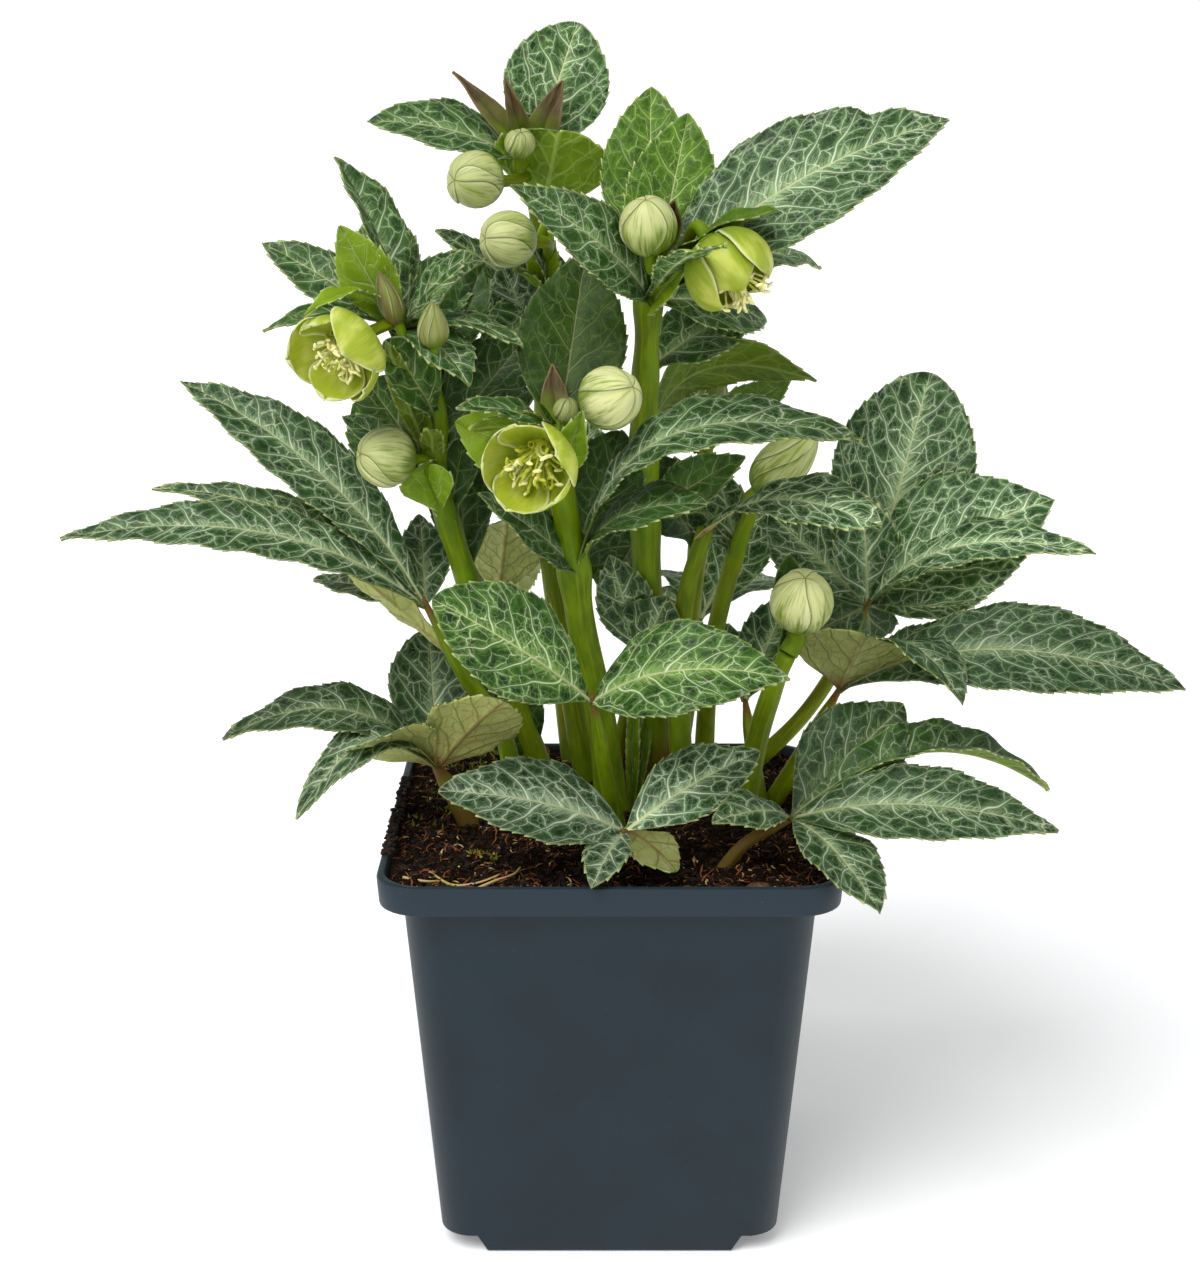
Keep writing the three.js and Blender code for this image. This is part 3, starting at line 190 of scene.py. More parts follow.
STEMS: dict[str, StemRow] = {
    "stem_right": StemRow(0.005, (
        (0.016, 0.026, 0.126), (0.016, 0.018, 0.176), (0.013, 0.012, 0.229), (0.012, 0.008, 0.279),
        (0.013, 0.002, 0.322),
    ), (
        Whorl((0.0135, -0.02, 0.334), (
            Blade((0.02, -0.027, 0.355), 0.0085, -0.24, (-0.35, -0.9, 0.1), 0.5, 14, 1),
        ), Cover.BRACT),
        Whorl((0.013, 0.003, 0.316), (
            Blade((0.027, -0.024, 0.336), 0.016, 0.08, (-0.3, -0.8, 0.5), 0.5, 16, 1.9, 0.05, 1.05),
        )),
        Whorl((0.013, 0.011, 0.243), (
            Blade((0.047, 0.015, 0.265), 0.018, 0.12, (-0.2, -0.8, 0.5), 0.5, 14, 1.1, 0.4, 0.7),
            Blade((0.039, 0.016, 0.263), 0.018, 0.05, (0, -0.9, 0.4), 0.6, 14, 1, 0.4, 0.7),
            Blade((-0.002, 0.024, 0.213), 0.027, 0.05, (-0.1, -0.9, 0.3), 0.6, 10, 0.8, 0.5, 0.6),
        )),
        Whorl((0.013, 0.002, 0.32), (
            Blade((-0.031, -0.044, 0.361), 0.024, 0.12, (-0.3, -0.8, 0.55), 0.5, 8, 0.62, 0.8, 1.05),
            Blade((0.014, 0.034, 0.389), 0.033, 0.04, (0, -1, 0.12), 0.58, 8, 1.25, 0.6, 1.15),
            Blade((0.026, 0.012, 0.381), 0.031, 0.05, (0.1, -1, 0.1), 0.56, 10, 1.25, 0.6, 1.2),
            Blade((0.113, 0.014, 0.379), 0.043, 0.15, (-0.35, -0.8, 0.5), 0.52, 8, 0.35, 1, 1.1, 0.8,
                full=0.88),
            Blade((0.033, -0.082, 0.345), 0.017, -0.06, (-0.1, 0.6, -0.8), 0.62, -10, 0.7, 0.8, 1.45),
            Blade((0.053, -0.024, 0.352), 0.026, 0.12, (-0.15, -0.2, 1), 0.6, 14, 1.4, 0.2, 0.9),
            Blade((0.076, 0.06, 0.325), 0.022, 0.15, (0.1, -0.5, 0.85), 0.5, 8, 0.62, 0.8, 1.05),
            Blade((0.055, 0.034, 0.309), 0.026, 0.12, (0.2, -0.7, 0.6), 0.5, 8, 0.62, 0.8, 1.05),
        )),
        Whorl((0.012, 0.009, 0.27), (
            Blade((0.072, 0.024, 0.29), 0.03, 0.34, (-0.2, 0.75, 0.7), 0.55, 8, 0.9, 0.6, 0.68),
        )),
        Whorl((0.013, 0.008, 0.296), (
            Blade((0.049, 0.044, 0.313), 0.025, 0.08, (0.1, -0.7, 0.7), 0.5, 8, 0.62, 0.8, 0.95),
        )),
    ), 0.035),
    "stem_front": StemRow(0.0049, (
        (0.002, 0.008, 0.126), (-0.003, -0.002, 0.175), (-0.01, -0.012, 0.213),
        (-0.013, -0.018, 0.239), (-0.016, -0.024, 0.261), (-0.018, -0.026, 0.281),
    ), (
        Whorl((-0.017, -0.025, 0.269), (
            Blade((-0.051, -0.02, 0.283), 0.024, 0.06, (-0.2, -0.9, 0.35), 0.5, 10, 1.9, 0.15, 0.95),
        )),
        Whorl((-0.0115, -0.016, 0.233), (
            Blade((0.004, 0.016, 0.274), 0.027, 0.04, (0, -0.95, 0.3), 0.62, 10, 0.9, 0.35, 0.55),
        )),
        Whorl((-0.017, -0.026, 0.279), (
            Blade((-0.019, -0.02, 0.302), 0.01, 0.04, (0, -1, 0.1), 0.4, 8, 1, 0.2, 0.8),
        ), Cover.BRACT),
        Whorl((-0.017, -0.026, 0.279), (
            Blade((-0.008, 0.006, 0.336), 0.036, 0.05, (0, -1, 0.15), 0.5, 8, 1.2, 0.4, 0.46),
            Blade((-0.049, -0.046, 0.292), 0.013, 0.12, (0, -0.45, 0.9), 0.5, 6, 0.8, 0.6, 0.9),
            Blade((-0.046, -0.034, 0.283), 0.019, 0.1, (0, 0.55, 0.85), 0.5, 8, 0.8, 0.6, 0.9),
        )),
        Whorl((-0.016, -0.025, 0.268), (
            Blade((-0.009, -0.047, 0.291), 0.012, 0.1, (0.1, -1, 0.2), 0.45, 8, 1.6, 0.15, 1.2),
        )),
        Whorl((-0.01, -0.016, 0.23), (
            Blade((-0.042, -0.044, 0.264), 0.018, 0.06, (-0.25, -0.65, 0.75), 0.5, 8, 0.7, 0.6, 0.7),
            Blade((0.082, -0.03, 0.279), 0.027, 0.34, (-0.2, -0.45, 0.9), 0.66, 6, 0.5, 0.9, 0.9),
            Blade((0.031, -0.046, 0.261), 0.023, 0.2, (-0.1, -0.45, 0.9), 0.68, 6, 0.8, 0.5, 0.75),
        )),
    )),
    "stem_left": StemRow(0.0039, (
        (-0.017, 0.022, 0.126), (-0.035, 0.014, 0.181), (-0.048, 0.004, 0.22),
        (-0.055, -0.004, 0.246), (-0.059, -0.008, 0.264), (-0.058, -0.008, 0.285),
        (-0.063, -0.008, 0.302), (-0.071, -0.008, 0.313),
    ), (
        Whorl((-0.071, -0.008, 0.312), (
            Blade((-0.097, -0.043, 0.32), 0.011, 0.24, (-0.25, -0.45, 0.85), 0.5, 10, 1.8, 0.1, 1.15),
        )),
        Whorl((-0.055, -0.004, 0.246), (
            Blade((-0.063, -0.014, 0.267), 0.019, 0.1, (-0.25, -0.8, 0.5), 0.78, 24, 1.6, 0.3, 1.25,
                full=0.45),
            Blade((-0.048, -0.004, 0.281), 0.013, 0.04, (0.2, -0.9, 0.3), 0.6, 16, 0.9, 0.3, 0.6),
        )),
        Whorl((-0.06, -0.008, 0.292), (
            Blade((-0.042, 0.009, 0.332), 0.016, 0.05, (0.1, -0.95, 0.3), 0.6, 12, 0.9, 0.4, 0.6),
        )),
        Whorl((-0.049, 0.003, 0.222), (
            Blade((-0.053, 0.024, 0.27), 0.023, 0.05, (-0.1, -0.95, 0.3), 0.6, 8, 0.8, 0.5, 0.55),
        )),
        Whorl((-0.058, -0.008, 0.272), (
            Blade((-0.03, 0.008, 0.305), 0.032, 0.06, (0.1, -0.95, 0.3), 0.62, 8, 0.8, 0.6, 0.6),
        )),
        Whorl((-0.058, -0.008, 0.28), (
            Blade((-0.073, -0.022, 0.31), 0.019, 0.12, (0.25, -0.8, 0.5), 0.66, 18, 1, 0.6, 0.85, full=0.6),
        )),
        Whorl((-0.069, -0.008, 0.311), (
            Blade((-0.116, 0.006, 0.339), 0.019, 0.06, (0.15, -0.75, 0.65), 0.55, 8, 0.62, 0.8),
            Blade((-0.114, -0.014, 0.312), 0.013, 0.16, (0, -0.3, 1), 0.5, 8, 0.9, 0.5, 0.9),
            Blade((-0.088, -0.012, 0.346), 0.019, 0.05, (-0.1, -1, 0.1), 0.55, 8, 1.75, 0.35, 0.95),
            Blade((-0.091, 0.006, 0.367), 0.019, 0.12, (0.75, -0.5, 0.3), 0.6, 26, 0.62, 0.8),
            Blade((-0.044, -0.026, 0.339), 0.015, 0.08, (-0.5, -0.5, 0.7), 0.55, 8, 0.62, 0.8),
            Blade((-0.08, 0.026, 0.347), 0.024, 0.05, (0, -1, 0.2), 0.6, 8, 0.62, 0.8),
            Blade((-0.047, 0.018, 0.335), 0.022, 0.05, (-0.2, -1, 0.1), 0.5, 8, 0.62, 0.8),
            Blade((-0.045, -0.034, 0.297), 0.02, 0.16, (0.3, -0.5, 0.8), 0.55, 6, 0.62, 0.8),
            Blade((-0.028, -0.022, 0.308), 0.013, 0.16, (0.1, -0.3, 1), 0.6, 6, 0.62, 0.8),
        )),
        Whorl((-0.059, -0.008, 0.263), (
            Blade((-0.083, 0.01, 0.292), 0.036, 0.06, (0.1, -1, 0.2), 0.55, 8, 0.95, 0.6, 0.8, full=0.72),
            Blade((-0.072, -0.03, 0.311), 0.009, 0.1, (-0.3, 0.6, 0.6), 0.6, 8, 1.1, 0.15, 0.75),
            Blade((-0.091, 0.004, 0.281), 0.012, 0.08, (0, -0.8, 0.6), 0.55, 8, 0.6, 0.7, 0.8),
            Blade((-0.059, -0.028, 0.282), 0.008, 0.15, (0, -0.4, 0.9), 0.5, 6, 0.6, 0.7, 0.8),
            Blade((-0.064, -0.018, 0.268), 0.01, 0.1, (-0.4, 0.3, 0.9), 0.55, 10, 0.6, 0.7, 0.8),
        )),
    ), top=0.55),
    "stem_back": StemRow(0.004, (
        (-0.006, 0.044, 0.126), (-0.014, 0.044, 0.172), (-0.021, 0.044, 0.221),
        (-0.023, 0.044, 0.269), (-0.022, 0.042, 0.312), (-0.024, 0.038, 0.344),
        (-0.029, 0.036, 0.366),
    ), (
        Whorl((-0.023, 0.044, 0.291), (
            Blade((-0.037, 0.028, 0.33), 0.026, 0.05, (0, -0.95, 0.3), 0.6, 8, 0.1, 1.1, 0.9),
        )),
        Whorl((-0.022, 0.042, 0.309), (
            Blade((-0.021, 0.02, 0.347), 0.013, 0.06, (-0.2, -0.9, 0.4), 0.5, 18, 2, 0.05, 1.15),
            Blade((-0.033, 0.02, 0.329), 0.008, 0.12, (-0.2, -0.6, 0.8), 0.5, 14, 1.6, 0.3, 1.1),
        )),
        Whorl((-0.027, 0.036, 0.362), (
            Blade((-0.011, 0.044, 0.41), 0.036, 0.05, (-0.1, -1, 0.12), 0.58, 8, 0.55, 0.95, 1.2, full=0.62),
            Blade((-0.082, 0.026, 0.378), 0.027, 0.12, (0, -0.6, 0.8), 0.55, 8, 0.65, 0.8),
        )),
        Whorl((-0.024, 0.038, 0.343), (
            Blade((-0.017, 0.016, 0.375), 0.041, 0.06, (0.1, 0.9, 0.35), 0.64, 10, 1.4, 0.4, 1.2, full=0.5),
        )),
        Whorl((-0.027, 0.036, 0.363), (
            Blade((-0.053, 0.03, 0.394), 0.009, 0.06, (0.2, -0.8, 0.5), 0.35, 12),
            Blade((-0.035, 0.02, 0.392), 0.008, 0.05, (0, -1, 0.1), 0.4, 12),
            Blade((-0.016, 0.03, 0.391), 0.012, 0.05, (-0.2, -1, 0.1), 0.4, 12),
        ), Cover.BRACT),
        Whorl((-0.022, 0.042, 0.309), (
            Blade((-0.034, 0.038, 0.333), 0.03, 0.06, (0, -1, 0.3), 0.55, 8),
            Blade((-0.061, 0.046, 0.34), 0.015, 0.08, (0.1, -0.6, 0.8), 0.5, 8),
            Blade((-0.045, 0.016, 0.302), 0.022, 0.1, (0, -0.9, 0.4), 0.5, 8),
            Blade((-0.028, 0.02, 0.34), 0.009, 0.1, (0, -0.6, 0.8), 0.5, 8),
        )),
    )),
    "stem_open_bud": StemRow(0.0032, (
        (0.034, 0.03, 0.126), (0.037, 0.024, 0.193), (0.044, 0.02, 0.227), (0.049, 0.016, 0.244),
        (0.053, 0.012, 0.254),
    ), (
        Whorl((0.045, 0.02, 0.23), (
            Blade((0.038, 0.034, 0.257), 0.015, 0.1, (0.1, -1, 0.2), 0.55, 8),
            Blade((0.028, 0.034, 0.246), 0.014, 0.1, (0.2, -1, 0.2), 0.55, 8),
        )),
    )),
    "stem_low_bud": StemRow(0.0038, (
        (0.046, 0.006, 0.126), (0.052, 0.002, 0.166), (0.058, -0.007, 0.192),
        (0.061, -0.01, 0.201),
    ), (
        Whorl((0.061, -0.009, 0.2), (
            Blade((0.062, 0, 0.233), 0.011, -0.1, (0, -1, 0.2), 0.66, 16, 1, 0.2, 0.8, full=0.6),
        )),
    )),
    "stem_hidden": StemRow(0.0034, (
        (0.02, 0.05, 0.126), (0.03, 0.052, 0.197), (0.034, 0.052, 0.242), (0.035, 0.05, 0.264),
    ), (
        Whorl((0.032, 0.052, 0.226), (
            Blade((0.011, 0.028, 0.263), 0.028, 0.05, (0, -0.95, 0.3), 0.6, 8, 0.8, 0.5, 0.55),
            Blade((0.03, 0.04, 0.258), 0.026, 0.05, (0.1, -0.95, 0.3), 0.6, 8, 0.7, 0.5, 0.55),
        )),
        Whorl((0.034, 0.052, 0.26), (
            Blade((0.067, 0.072, 0.283), 0.017, 0.12, (0, -0.7, 0.7), 0.5, 8, 1.35, 0.2, 0.8),
            Blade((0.022, 0.074, 0.285), 0.02, 0.1, (0, -1, 0.2), 0.5, 8),
        )),
    )),
    "shoot": StemRow(0.0034, (
        (0.027, 0.008, 0.126), (0.025, 0.006, 0.194), (0.027, 0.004, 0.22), (0.033, 0.002, 0.242),
    ), (
        Whorl((0.032, 0.002, 0.239), (
            Blade((0.089, -0.034, 0.251), 0.028, 0.2, (-0.1, -0.4, 0.95), 0.7, 6, 0.35, 1.2, 1.25),
        )),
    )),
}

BASAL_LEAVES: dict[str, StemRow] = {
    "leaf_left_high": StemRow(0.003, (
        (-0.032, 0.006, 0.126), (-0.037, -0.002, 0.169), (-0.051, -0.006, 0.194),
        (-0.064, -0.008, 0.22),
    ), (
        Whorl((-0.063, -0.008, 0.217), (
            Blade((-0.147, 0.015, 0.291), 0.026, 0.16, (0.4, -0.7, 0.6), 0.55, 8, 0.3, 0.9, 0.98),
            Blade((-0.157, 0.004, 0.256), 0.015, 0.17, (0.1, -0.55, 0.8), 0.5, 6, 0.3, 0.9, 0.98),
            Blade((-0.182, -0.026, 0.245), 0.022, 0.18, (0.1, -0.55, 0.8), 0.5, 6, 0.3, 0.9, 0.98),
            Blade((-0.106, 0.028, 0.218), 0.013, 0.06, (0, -0.6, 0.8), 0.5, 8, 0.3, 0.9, 0.98),
            Blade((-0.067, 0.026, 0.242), 0.018, 0.05, (0.2, -0.9, 0.4), 0.5, 8, 0.3, 0.9, 0.98),
        )),
        Whorl((-0.052, -0.006, 0.196), (
            Blade((-0.097, -0.01, 0.239), 0.013, 0.03, (0.3, 0.85, 0.45), 0.62, 16, 0.3, 1, 1.1),
        )),
    ), 0.02),
    "leaf_left_low": StemRow(0.0032, (
        (-0.044, -0.006, 0.126), (-0.054, -0.008, 0.149), (-0.062, -0.008, 0.162),
    ), (
        Whorl((-0.06, -0.008, 0.159), (
            Blade((-0.134, -0.012, 0.171), 0.022, 0.32, (0.1, -0.5, 0.85), 0.5, 6, 0.4, 0.9, 0.64),
            Blade((-0.106, -0.038, 0.151), 0.019, 0.42, (0, -0.4, 0.95), 0.55, 6, 0.25, 1, 0.86),
            Blade((-0.064, 0.018, 0.202), 0.031, 0.05, (0.1, -0.85, 0.5), 0.6, 8, 0.25, 1, 0.86, full=0.6),
            Blade((-0.083, -0.042, 0.178), 0.032, 0.1, (-0.3, 0.5, 0.85), 0.6, 6, 0.3, 1, 1.15, full=0.7),
            Blade((-0.035, -0.038, 0.193), 0.031, 0.06, (0.2, 0.6, 0.75), 0.55, 6, 0.3, 1, 1.15, full=0.7),
        )),
    ), 0.03),
    "leaf_front_low": StemRow(0.0026, (
        (0.016, -0.02, 0.126), (0.012, -0.036, 0.143), (0.004, -0.05, 0.151),
    ), (
        Whorl((0.005, -0.048, 0.15), (
            Blade((-0.056, -0.058, 0.168), 0.033, 0.1, (-0.1, -0.55, 0.85), 0.48, 6, 0.05, 1, 0.84,
                full=0.74),
            Blade((0.051, -0.026, 0.171), 0.026, 0.1, (0.1, -0.6, 0.8), 0.52, 6, 0.1, 1, 1.32),
            Blade((-0.006, -0.08, 0.143), 0.015, 0.1, (-0.1, -0.6, 0.8), 0.55, 6, 0.05, 1, 0.84),
            Blade((0.021, -0.07, 0.144), 0.016, -0.1, (-0.2, 0.6, -0.8), 0.55, -6, 0.35, 1, 0.5, full=0.6),
        )),
    ), 0.02),
    "leaf_front_high": StemRow(0.0026, (
        (0.005, -0.01, 0.126), (-0.002, -0.026, 0.166), (-0.004, -0.036, 0.182),
        (-0.006, -0.043, 0.196),
    ), (
        Whorl((-0.006, -0.042, 0.193), (
            Blade((-0.056, -0.064, 0.234), 0.036, 0.08, (-0.1, -0.75, 0.65), 0.58, 6, 0.85, 1, 1.02,
                full=0.62),
            Blade((0.058, -0.058, 0.206), 0.036, 0.2, (0.1, -0.65, 0.75), 0.48, 6, 0.85, 1, 1.02, full=0.9),
        )),
    )),
    "leaf_right_low": StemRow(0.0019, (
        (0.033, -0.042, 0.126), (0.045, -0.044, 0.144), (0.064, -0.037, 0.152),
    ), (
        Whorl((0.061, -0.038, 0.151), (
            Blade((0.101, -0.014, 0.184), 0.035, 0.05, (-0.2, -0.8, 0.55), 0.55, 8, 0.5, 0.75, 0.62),
            Blade((0.147, -0.058, 0.154), 0.031, 0.14, (0.1, -0.6, 0.8), 0.5, 6, 0.3, 0.9, 0.84, full=0.9),
            Blade((0.155, -0.002, 0.149), 0.02, 0.24, (0.1, -0.2, 0.98), 0.55, 34, 0.6, 0.6, 0.85),
            Blade((0.086, -0.084, 0.136), 0.025, 0.1, (0.3, -0.6, 0.75), 0.55, 6, 0.3, 0.9, 0.84),
            Blade((0.033, -0.066, 0.16), 0.017, 0.12, (-0.1, -0.6, 0.8), 0.6, 6, 0.3, 0.9, 0.84),
        )),
    ), 0.05),
    "leaf_right_mid": StemRow(0.0028, (
        (0.054, 0.022, 0.126), (0.068, 0.014, 0.155), (0.082, 0.007, 0.185),
    ), (
        Whorl((0.081, 0.008, 0.182), (
            Blade((0.194, -0.026, 0.193), 0.037, 0.2, (0, -0.6, 0.8), 0.58, 6, 0.3, 0.78, 0.78, full=0.9),
            Blade((0.116, -0.046, 0.194), 0.028, 0.3, (0.1, 0.25, 0.95), 0.6, 8, 0.3, 0.78, 0.78),
            Blade((0.086, -0.022, 0.211), 0.044, 0.05, (0.1, 0.6, 0.7), 0.6, 6, 0.3, 0.78, 0.78, full=0.7),
            Blade((0.139, 0.05, 0.194), 0.017, 0.1, (0.1, -0.5, 0.9), 0.55, 8, 0.3, 0.78, 0.78),
        )),
    )),
    "leaf_right_high": StemRow(0.0028, (
        (0.036, 0.048, 0.126), (0.071, 0.046, 0.16), (0.087, 0.044, 0.187), (0.095, 0.039, 0.208),
    ), (
        Whorl((0.094, 0.04, 0.205), (
            Blade((0.117, 0.062, 0.287), 0.051, 0.05, (-0.1, -0.9, 0.45), 0.6, 6, 0.3, 1, 1.2, full=0.58),
            Blade((0.159, 0.034, 0.246), 0.05, 0.2, (0, -0.75, 0.65), 0.55, 6, 0.3, 1, 1.35, full=1.0),
            Blade((0.168, 0.004, 0.233), 0.028, 0.2, (0.1, -0.5, 0.9), 0.5, 6, 0.3, 1, 1.35, full=0.9),
            Blade((0.143, 0.058, 0.207), 0.022, 0.05, (0.1, -0.7, 0.7), 0.5, 8, 0.3, 1, 1.2),
            Blade((0.059, 0.058, 0.236), 0.028, 0.05, (0, -0.9, 0.4), 0.6, 8, 0.3, 1, 1.2),
            Blade((0.09, 0.03, 0.249), 0.024, 0.05, (0, -1, 0.3), 0.55, 8, 0.3, 1, 1.2),
        )),
        Whorl((0.094, 0.04, 0.205), (
            Blade((0.097, 0.046, 0.189), 0.02, 0.05, (0, -0.9, 0.4), 0.5, 10, 0.6, 0.5, 0.75),
            Blade((0.071, 0.046, 0.191), 0.024, 0.08, (-0.1, -0.9, 0.4), 0.55, 10, 0.5, 0.6, 0.65),
        )),
    )),
    "leaf_back_left": StemRow(0.0026, (
        (-0.024, 0.054, 0.126), (-0.033, 0.056, 0.168), (-0.042, 0.05, 0.208),
    ), (
        Whorl((-0.041, 0.05, 0.205), (
            Blade((-0.036, 0.02, 0.241), 0.027, 0.08, (0.1, 0.7, 0.6), 0.55, 6, 0.3, 1, 1.2),
            Blade((-0.057, 0.096, 0.225), 0.026, 0.1, (0, 0.3, 1), 0.55, 6),
            Blade((-0.036, 0.15, 0.179), 0.028, 0.18, (0, 0.3, 1), 0.55, 6),
        )),
    )),
    "leaf_inner": StemRow(0.0022, (
        (-0.002, 0.027, 0.126), (0.007, 0.014, 0.177), (0.012, 0.005, 0.199),
    ), (
        Whorl((0.011, 0.006, 0.196), (
            Blade((0.02, 0.002, 0.218), 0.027, 0.06, (0.1, -0.8, 0.6), 0.5, 6),
            Blade((0, 0.006, 0.232), 0.02, 0.06, (0, -0.9, 0.4), 0.55, 6),
        )),
        Whorl((-0.026, 0.018, 0.155), (
            Blade((-0.048, 0.012, 0.189), 0.028, 0.06, (0, -0.9, 0.4), 0.55, 8, 0.8, 0.3, 0.55),
        )),
        Whorl((0.008, 0.012, 0.134), (
            Blade((0.009, 0.018, 0.198), 0.005, 0.03, (0, -1, 0.2), 0.4, 20, 1.7, 0, 0.8),
            Blade((0.018, 0.02, 0.194), 0.005, 0.03, (0, -1, 0.2), 0.4, 20, 1.5, 0, 0.7),
        )),
    )),
    "leaf_right_inner": StemRow(0.0024, (
        (0.056, 0.012, 0.126), (0.05, 0.022, 0.167), (0.049, 0.028, 0.175),
    ), (
        Whorl((0.049, 0.026, 0.173), (
            Blade((0.066, 0.038, 0.211), 0.022, 0.06, (-0.2, -0.9, 0.4), 0.55, 6),
            Blade((0.038, 0.044, 0.199), 0.018, 0.06, (0.2, -0.9, 0.4), 0.55, 6),
        )),
    )),
    "leaf_back": StemRow(0.0026, (
        (-0.013, 0.057, 0.126), (-0.019, 0.08, 0.181), (-0.012, 0.102, 0.21),
    ), (
        Whorl((-0.013, 0.1, 0.208), (
            Blade((-0.057, 0.15, 0.222), 0.028, 0.16, (-0.2, 0.2, 1), 0.55, 6),
            Blade((-0.012, 0.18, 0.215), 0.03, 0.18, (0, 0.3, 1), 0.55, 6),
            Blade((0.03, 0.16, 0.215), 0.028, 0.16, (0.2, 0.2, 1), 0.55, 6),
            Blade((-0.007, 0.11, 0.262), 0.024, 0.06, (0, -0.9, 0.5), 0.6, 6),
        )),
    )),
    "leaf_back_right": StemRow(0.0026, (
        (0.024, 0.056, 0.126), (0.032, 0.084, 0.16), (0.036, 0.106, 0.185),
    ), (
        Whorl((0.036, 0.104, 0.183), (
            Blade((0.08, 0.15, 0.184), 0.028, 0.16, (0.2, 0.2, 1), 0.55, 6),
            Blade((0.035, 0.185, 0.175), 0.03, 0.16, (0, 0.3, 1), 0.55, 6),
            Blade((0.005, 0.15, 0.175), 0.026, 0.16, (-0.2, 0.2, 1), 0.55, 6),
            Blade((0.063, 0.11, 0.234), 0.026, 0.06, (0.1, -0.8, 0.6), 0.6, 6),
        )),
    )),
}

BUDS: dict[str, BudRow] = {
    "bud_right": BudRow("stem_right", (0.012, -0.026, 0.347), 0.0092, 0.0195, (-0.1, -0.35, 1),
        0.002, ((0.017, 0, 0.329),), green=0.15),
    "bud_front": BudRow("stem_front", (0, -0.034, 0.293), 0.0104, 0.0205, (0.75, -0.45, 0.45),
        0.002, ((-0.012, -0.028, 0.282),), green=0),
    "bud_front_small": BudRow("stem_front", (-0.014, -0.033, 0.289), 0.0044, 0.009, (0.1, -0.2, 1),
        0.0016, ((-0.016, -0.024, 0.28),), green=0.5, pointed=0.3, brown=0.2),
    "bud_left": BudRow("stem_left", (-0.074, -0.02, 0.271), 0.01, 0.02, (-0.9, -0.45, 0.2),
        0.002, ((-0.06, -0.01, 0.263),), green=0.3),
    "bud_left_small": BudRow("stem_left", (-0.057, -0.029, 0.316), 0.005, 0.0155, (0, -0.1, 1),
        0.0015, ((-0.06, -0.02, 0.307),), green=0.5, pointed=1, brown=0.45),
    "bud_left_brown": BudRow("stem_left", (-0.072, -0.02, 0.3235), 0.0039, 0.019, (-0.35, -0.1, 1),
        0.0015, ((-0.07, -0.012, 0.316),), green=0.6, pointed=1, brown=0.8),
    "bud_back_left": BudRow("stem_back", (-0.045, 0.01, 0.359), 0.0097, 0.0195, (-0.72, -0.7, 0.05),
        0.002, ((-0.029, 0.03, 0.359),), green=0.3),
    "bud_back_low": BudRow("stem_back", (-0.034, 0.004, 0.34), 0.0095, 0.0195, (-0.8, -0.55, 0.1),
        0.002, ((-0.022, 0.036, 0.33),), green=0.2),
    "bud_back_small": BudRow("stem_back", (-0.03, 0.014, 0.371), 0.005, 0.01, (0.1, -0.5, 0.9),
        0.0016, ((-0.028, 0.032, 0.365),), green=0.45),
    "bud_half_open": BudRow("stem_open_bud", (0.0605, 0.008, 0.2645), 0.0088, 0.031, (0.62, -0.3, 0.72),
        0.002, (), green=0.35, pointed=0.45, turn=200, swirl=1.6),
    "bud_low": BudRow("stem_low_bud", (0.065, -0.016, 0.221), 0.0112, 0.022, (0.05, -0.45, 0.9),
        0.0034, (), green=0.12, turn=262, swirl=0.2),
    "bud_hidden": BudRow("stem_hidden", (0.037, 0.049, 0.28), 0.0062, 0.019, (0.1, 0, 1),
        0.002, (), green=0.9, brown=0.2, pointed=0.3, turn=40),
}

FLOWERS: dict[str, FlowerRow] = {
    "flower_left": FlowerRow("stem_left", (-0.089, -0.04, 0.3055), (-0.42, -0.85, -0.3), 0.0152, 0.014,
        8, 0.002, ((-0.071, -0.016, 0.315),), (0.6, 0.12, 0, 0, 0.12), 100, 22, 38),
    "flower_right": FlowerRow("stem_right", (0.043, -0.03, 0.326), (0.55, -0.35, -0.76), 0.0135, 0.022,
        135, 0.002, ((0.022, -0.008, 0.334),), (0, 0, 0, 0, 0), 150, 0, 7, stamen=0.9),
    "flower_front": FlowerRow("stem_front", (-0.0265, -0.064, 0.275), (-0.3, -0.93, 0), 0.0138, 0.016,
        10, 0.002, ((-0.019, -0.034, 0.279),), (0.26, -0.35, 0.05, -0.3, 0.05), 104, 38, 36, 0.7),
}


# --- Mesh tools ---


@dataclass
class Form:
    """Where a primitive's points go, and the marks that its finish reads from them."""

    points: Array
    marks: dict[str, Array] = field(default_factory=dict)


def unit(vectors: Array) -> Array:
    """Vectors of the last axis, made one long."""
    return vectors / np.maximum(np.linalg.norm(vectors, axis=-1, keepdims=True), TINY)


def ease(value: Array, low: float, high: float) -> Array:
    """Smooth step from 0 at low to 1 at high."""
    share = np.clip((value - low) / (high - low), 0, 1)
    return share * share * (3 - 2 * share)


def select_only(pieces: Iterable[Piece]) -> None:
    """Selects these pieces alone and makes the first one active.

    Args:
        pieces: the pieces, the one that stays first.
    """
    bpy.ops.object.select_all(action="DESELECT")
    for count, piece in enumerate(pieces):
        piece.select_set(True)
        if count == 0:
            bpy.context.view_layer.objects.active = piece


def added(primitive: Callable[..., object], **options: object) -> Piece:
    """Adds a primitive with nothing else selected.

    Args:
        primitive: the operator that adds it.
        options: the operator's options.

    Returns:
        The new piece, the only one selected.
    """
    bpy.ops.object.select_all(action="DESELECT")
    primitive(**options)
    return bpy.context.active_object


def triples(*parts: Array | float) -> Array:
    """Rows of three numbers from three columns, or numbers that are the same all over."""
    return np.stack(np.broadcast_arrays(*parts), axis=1)


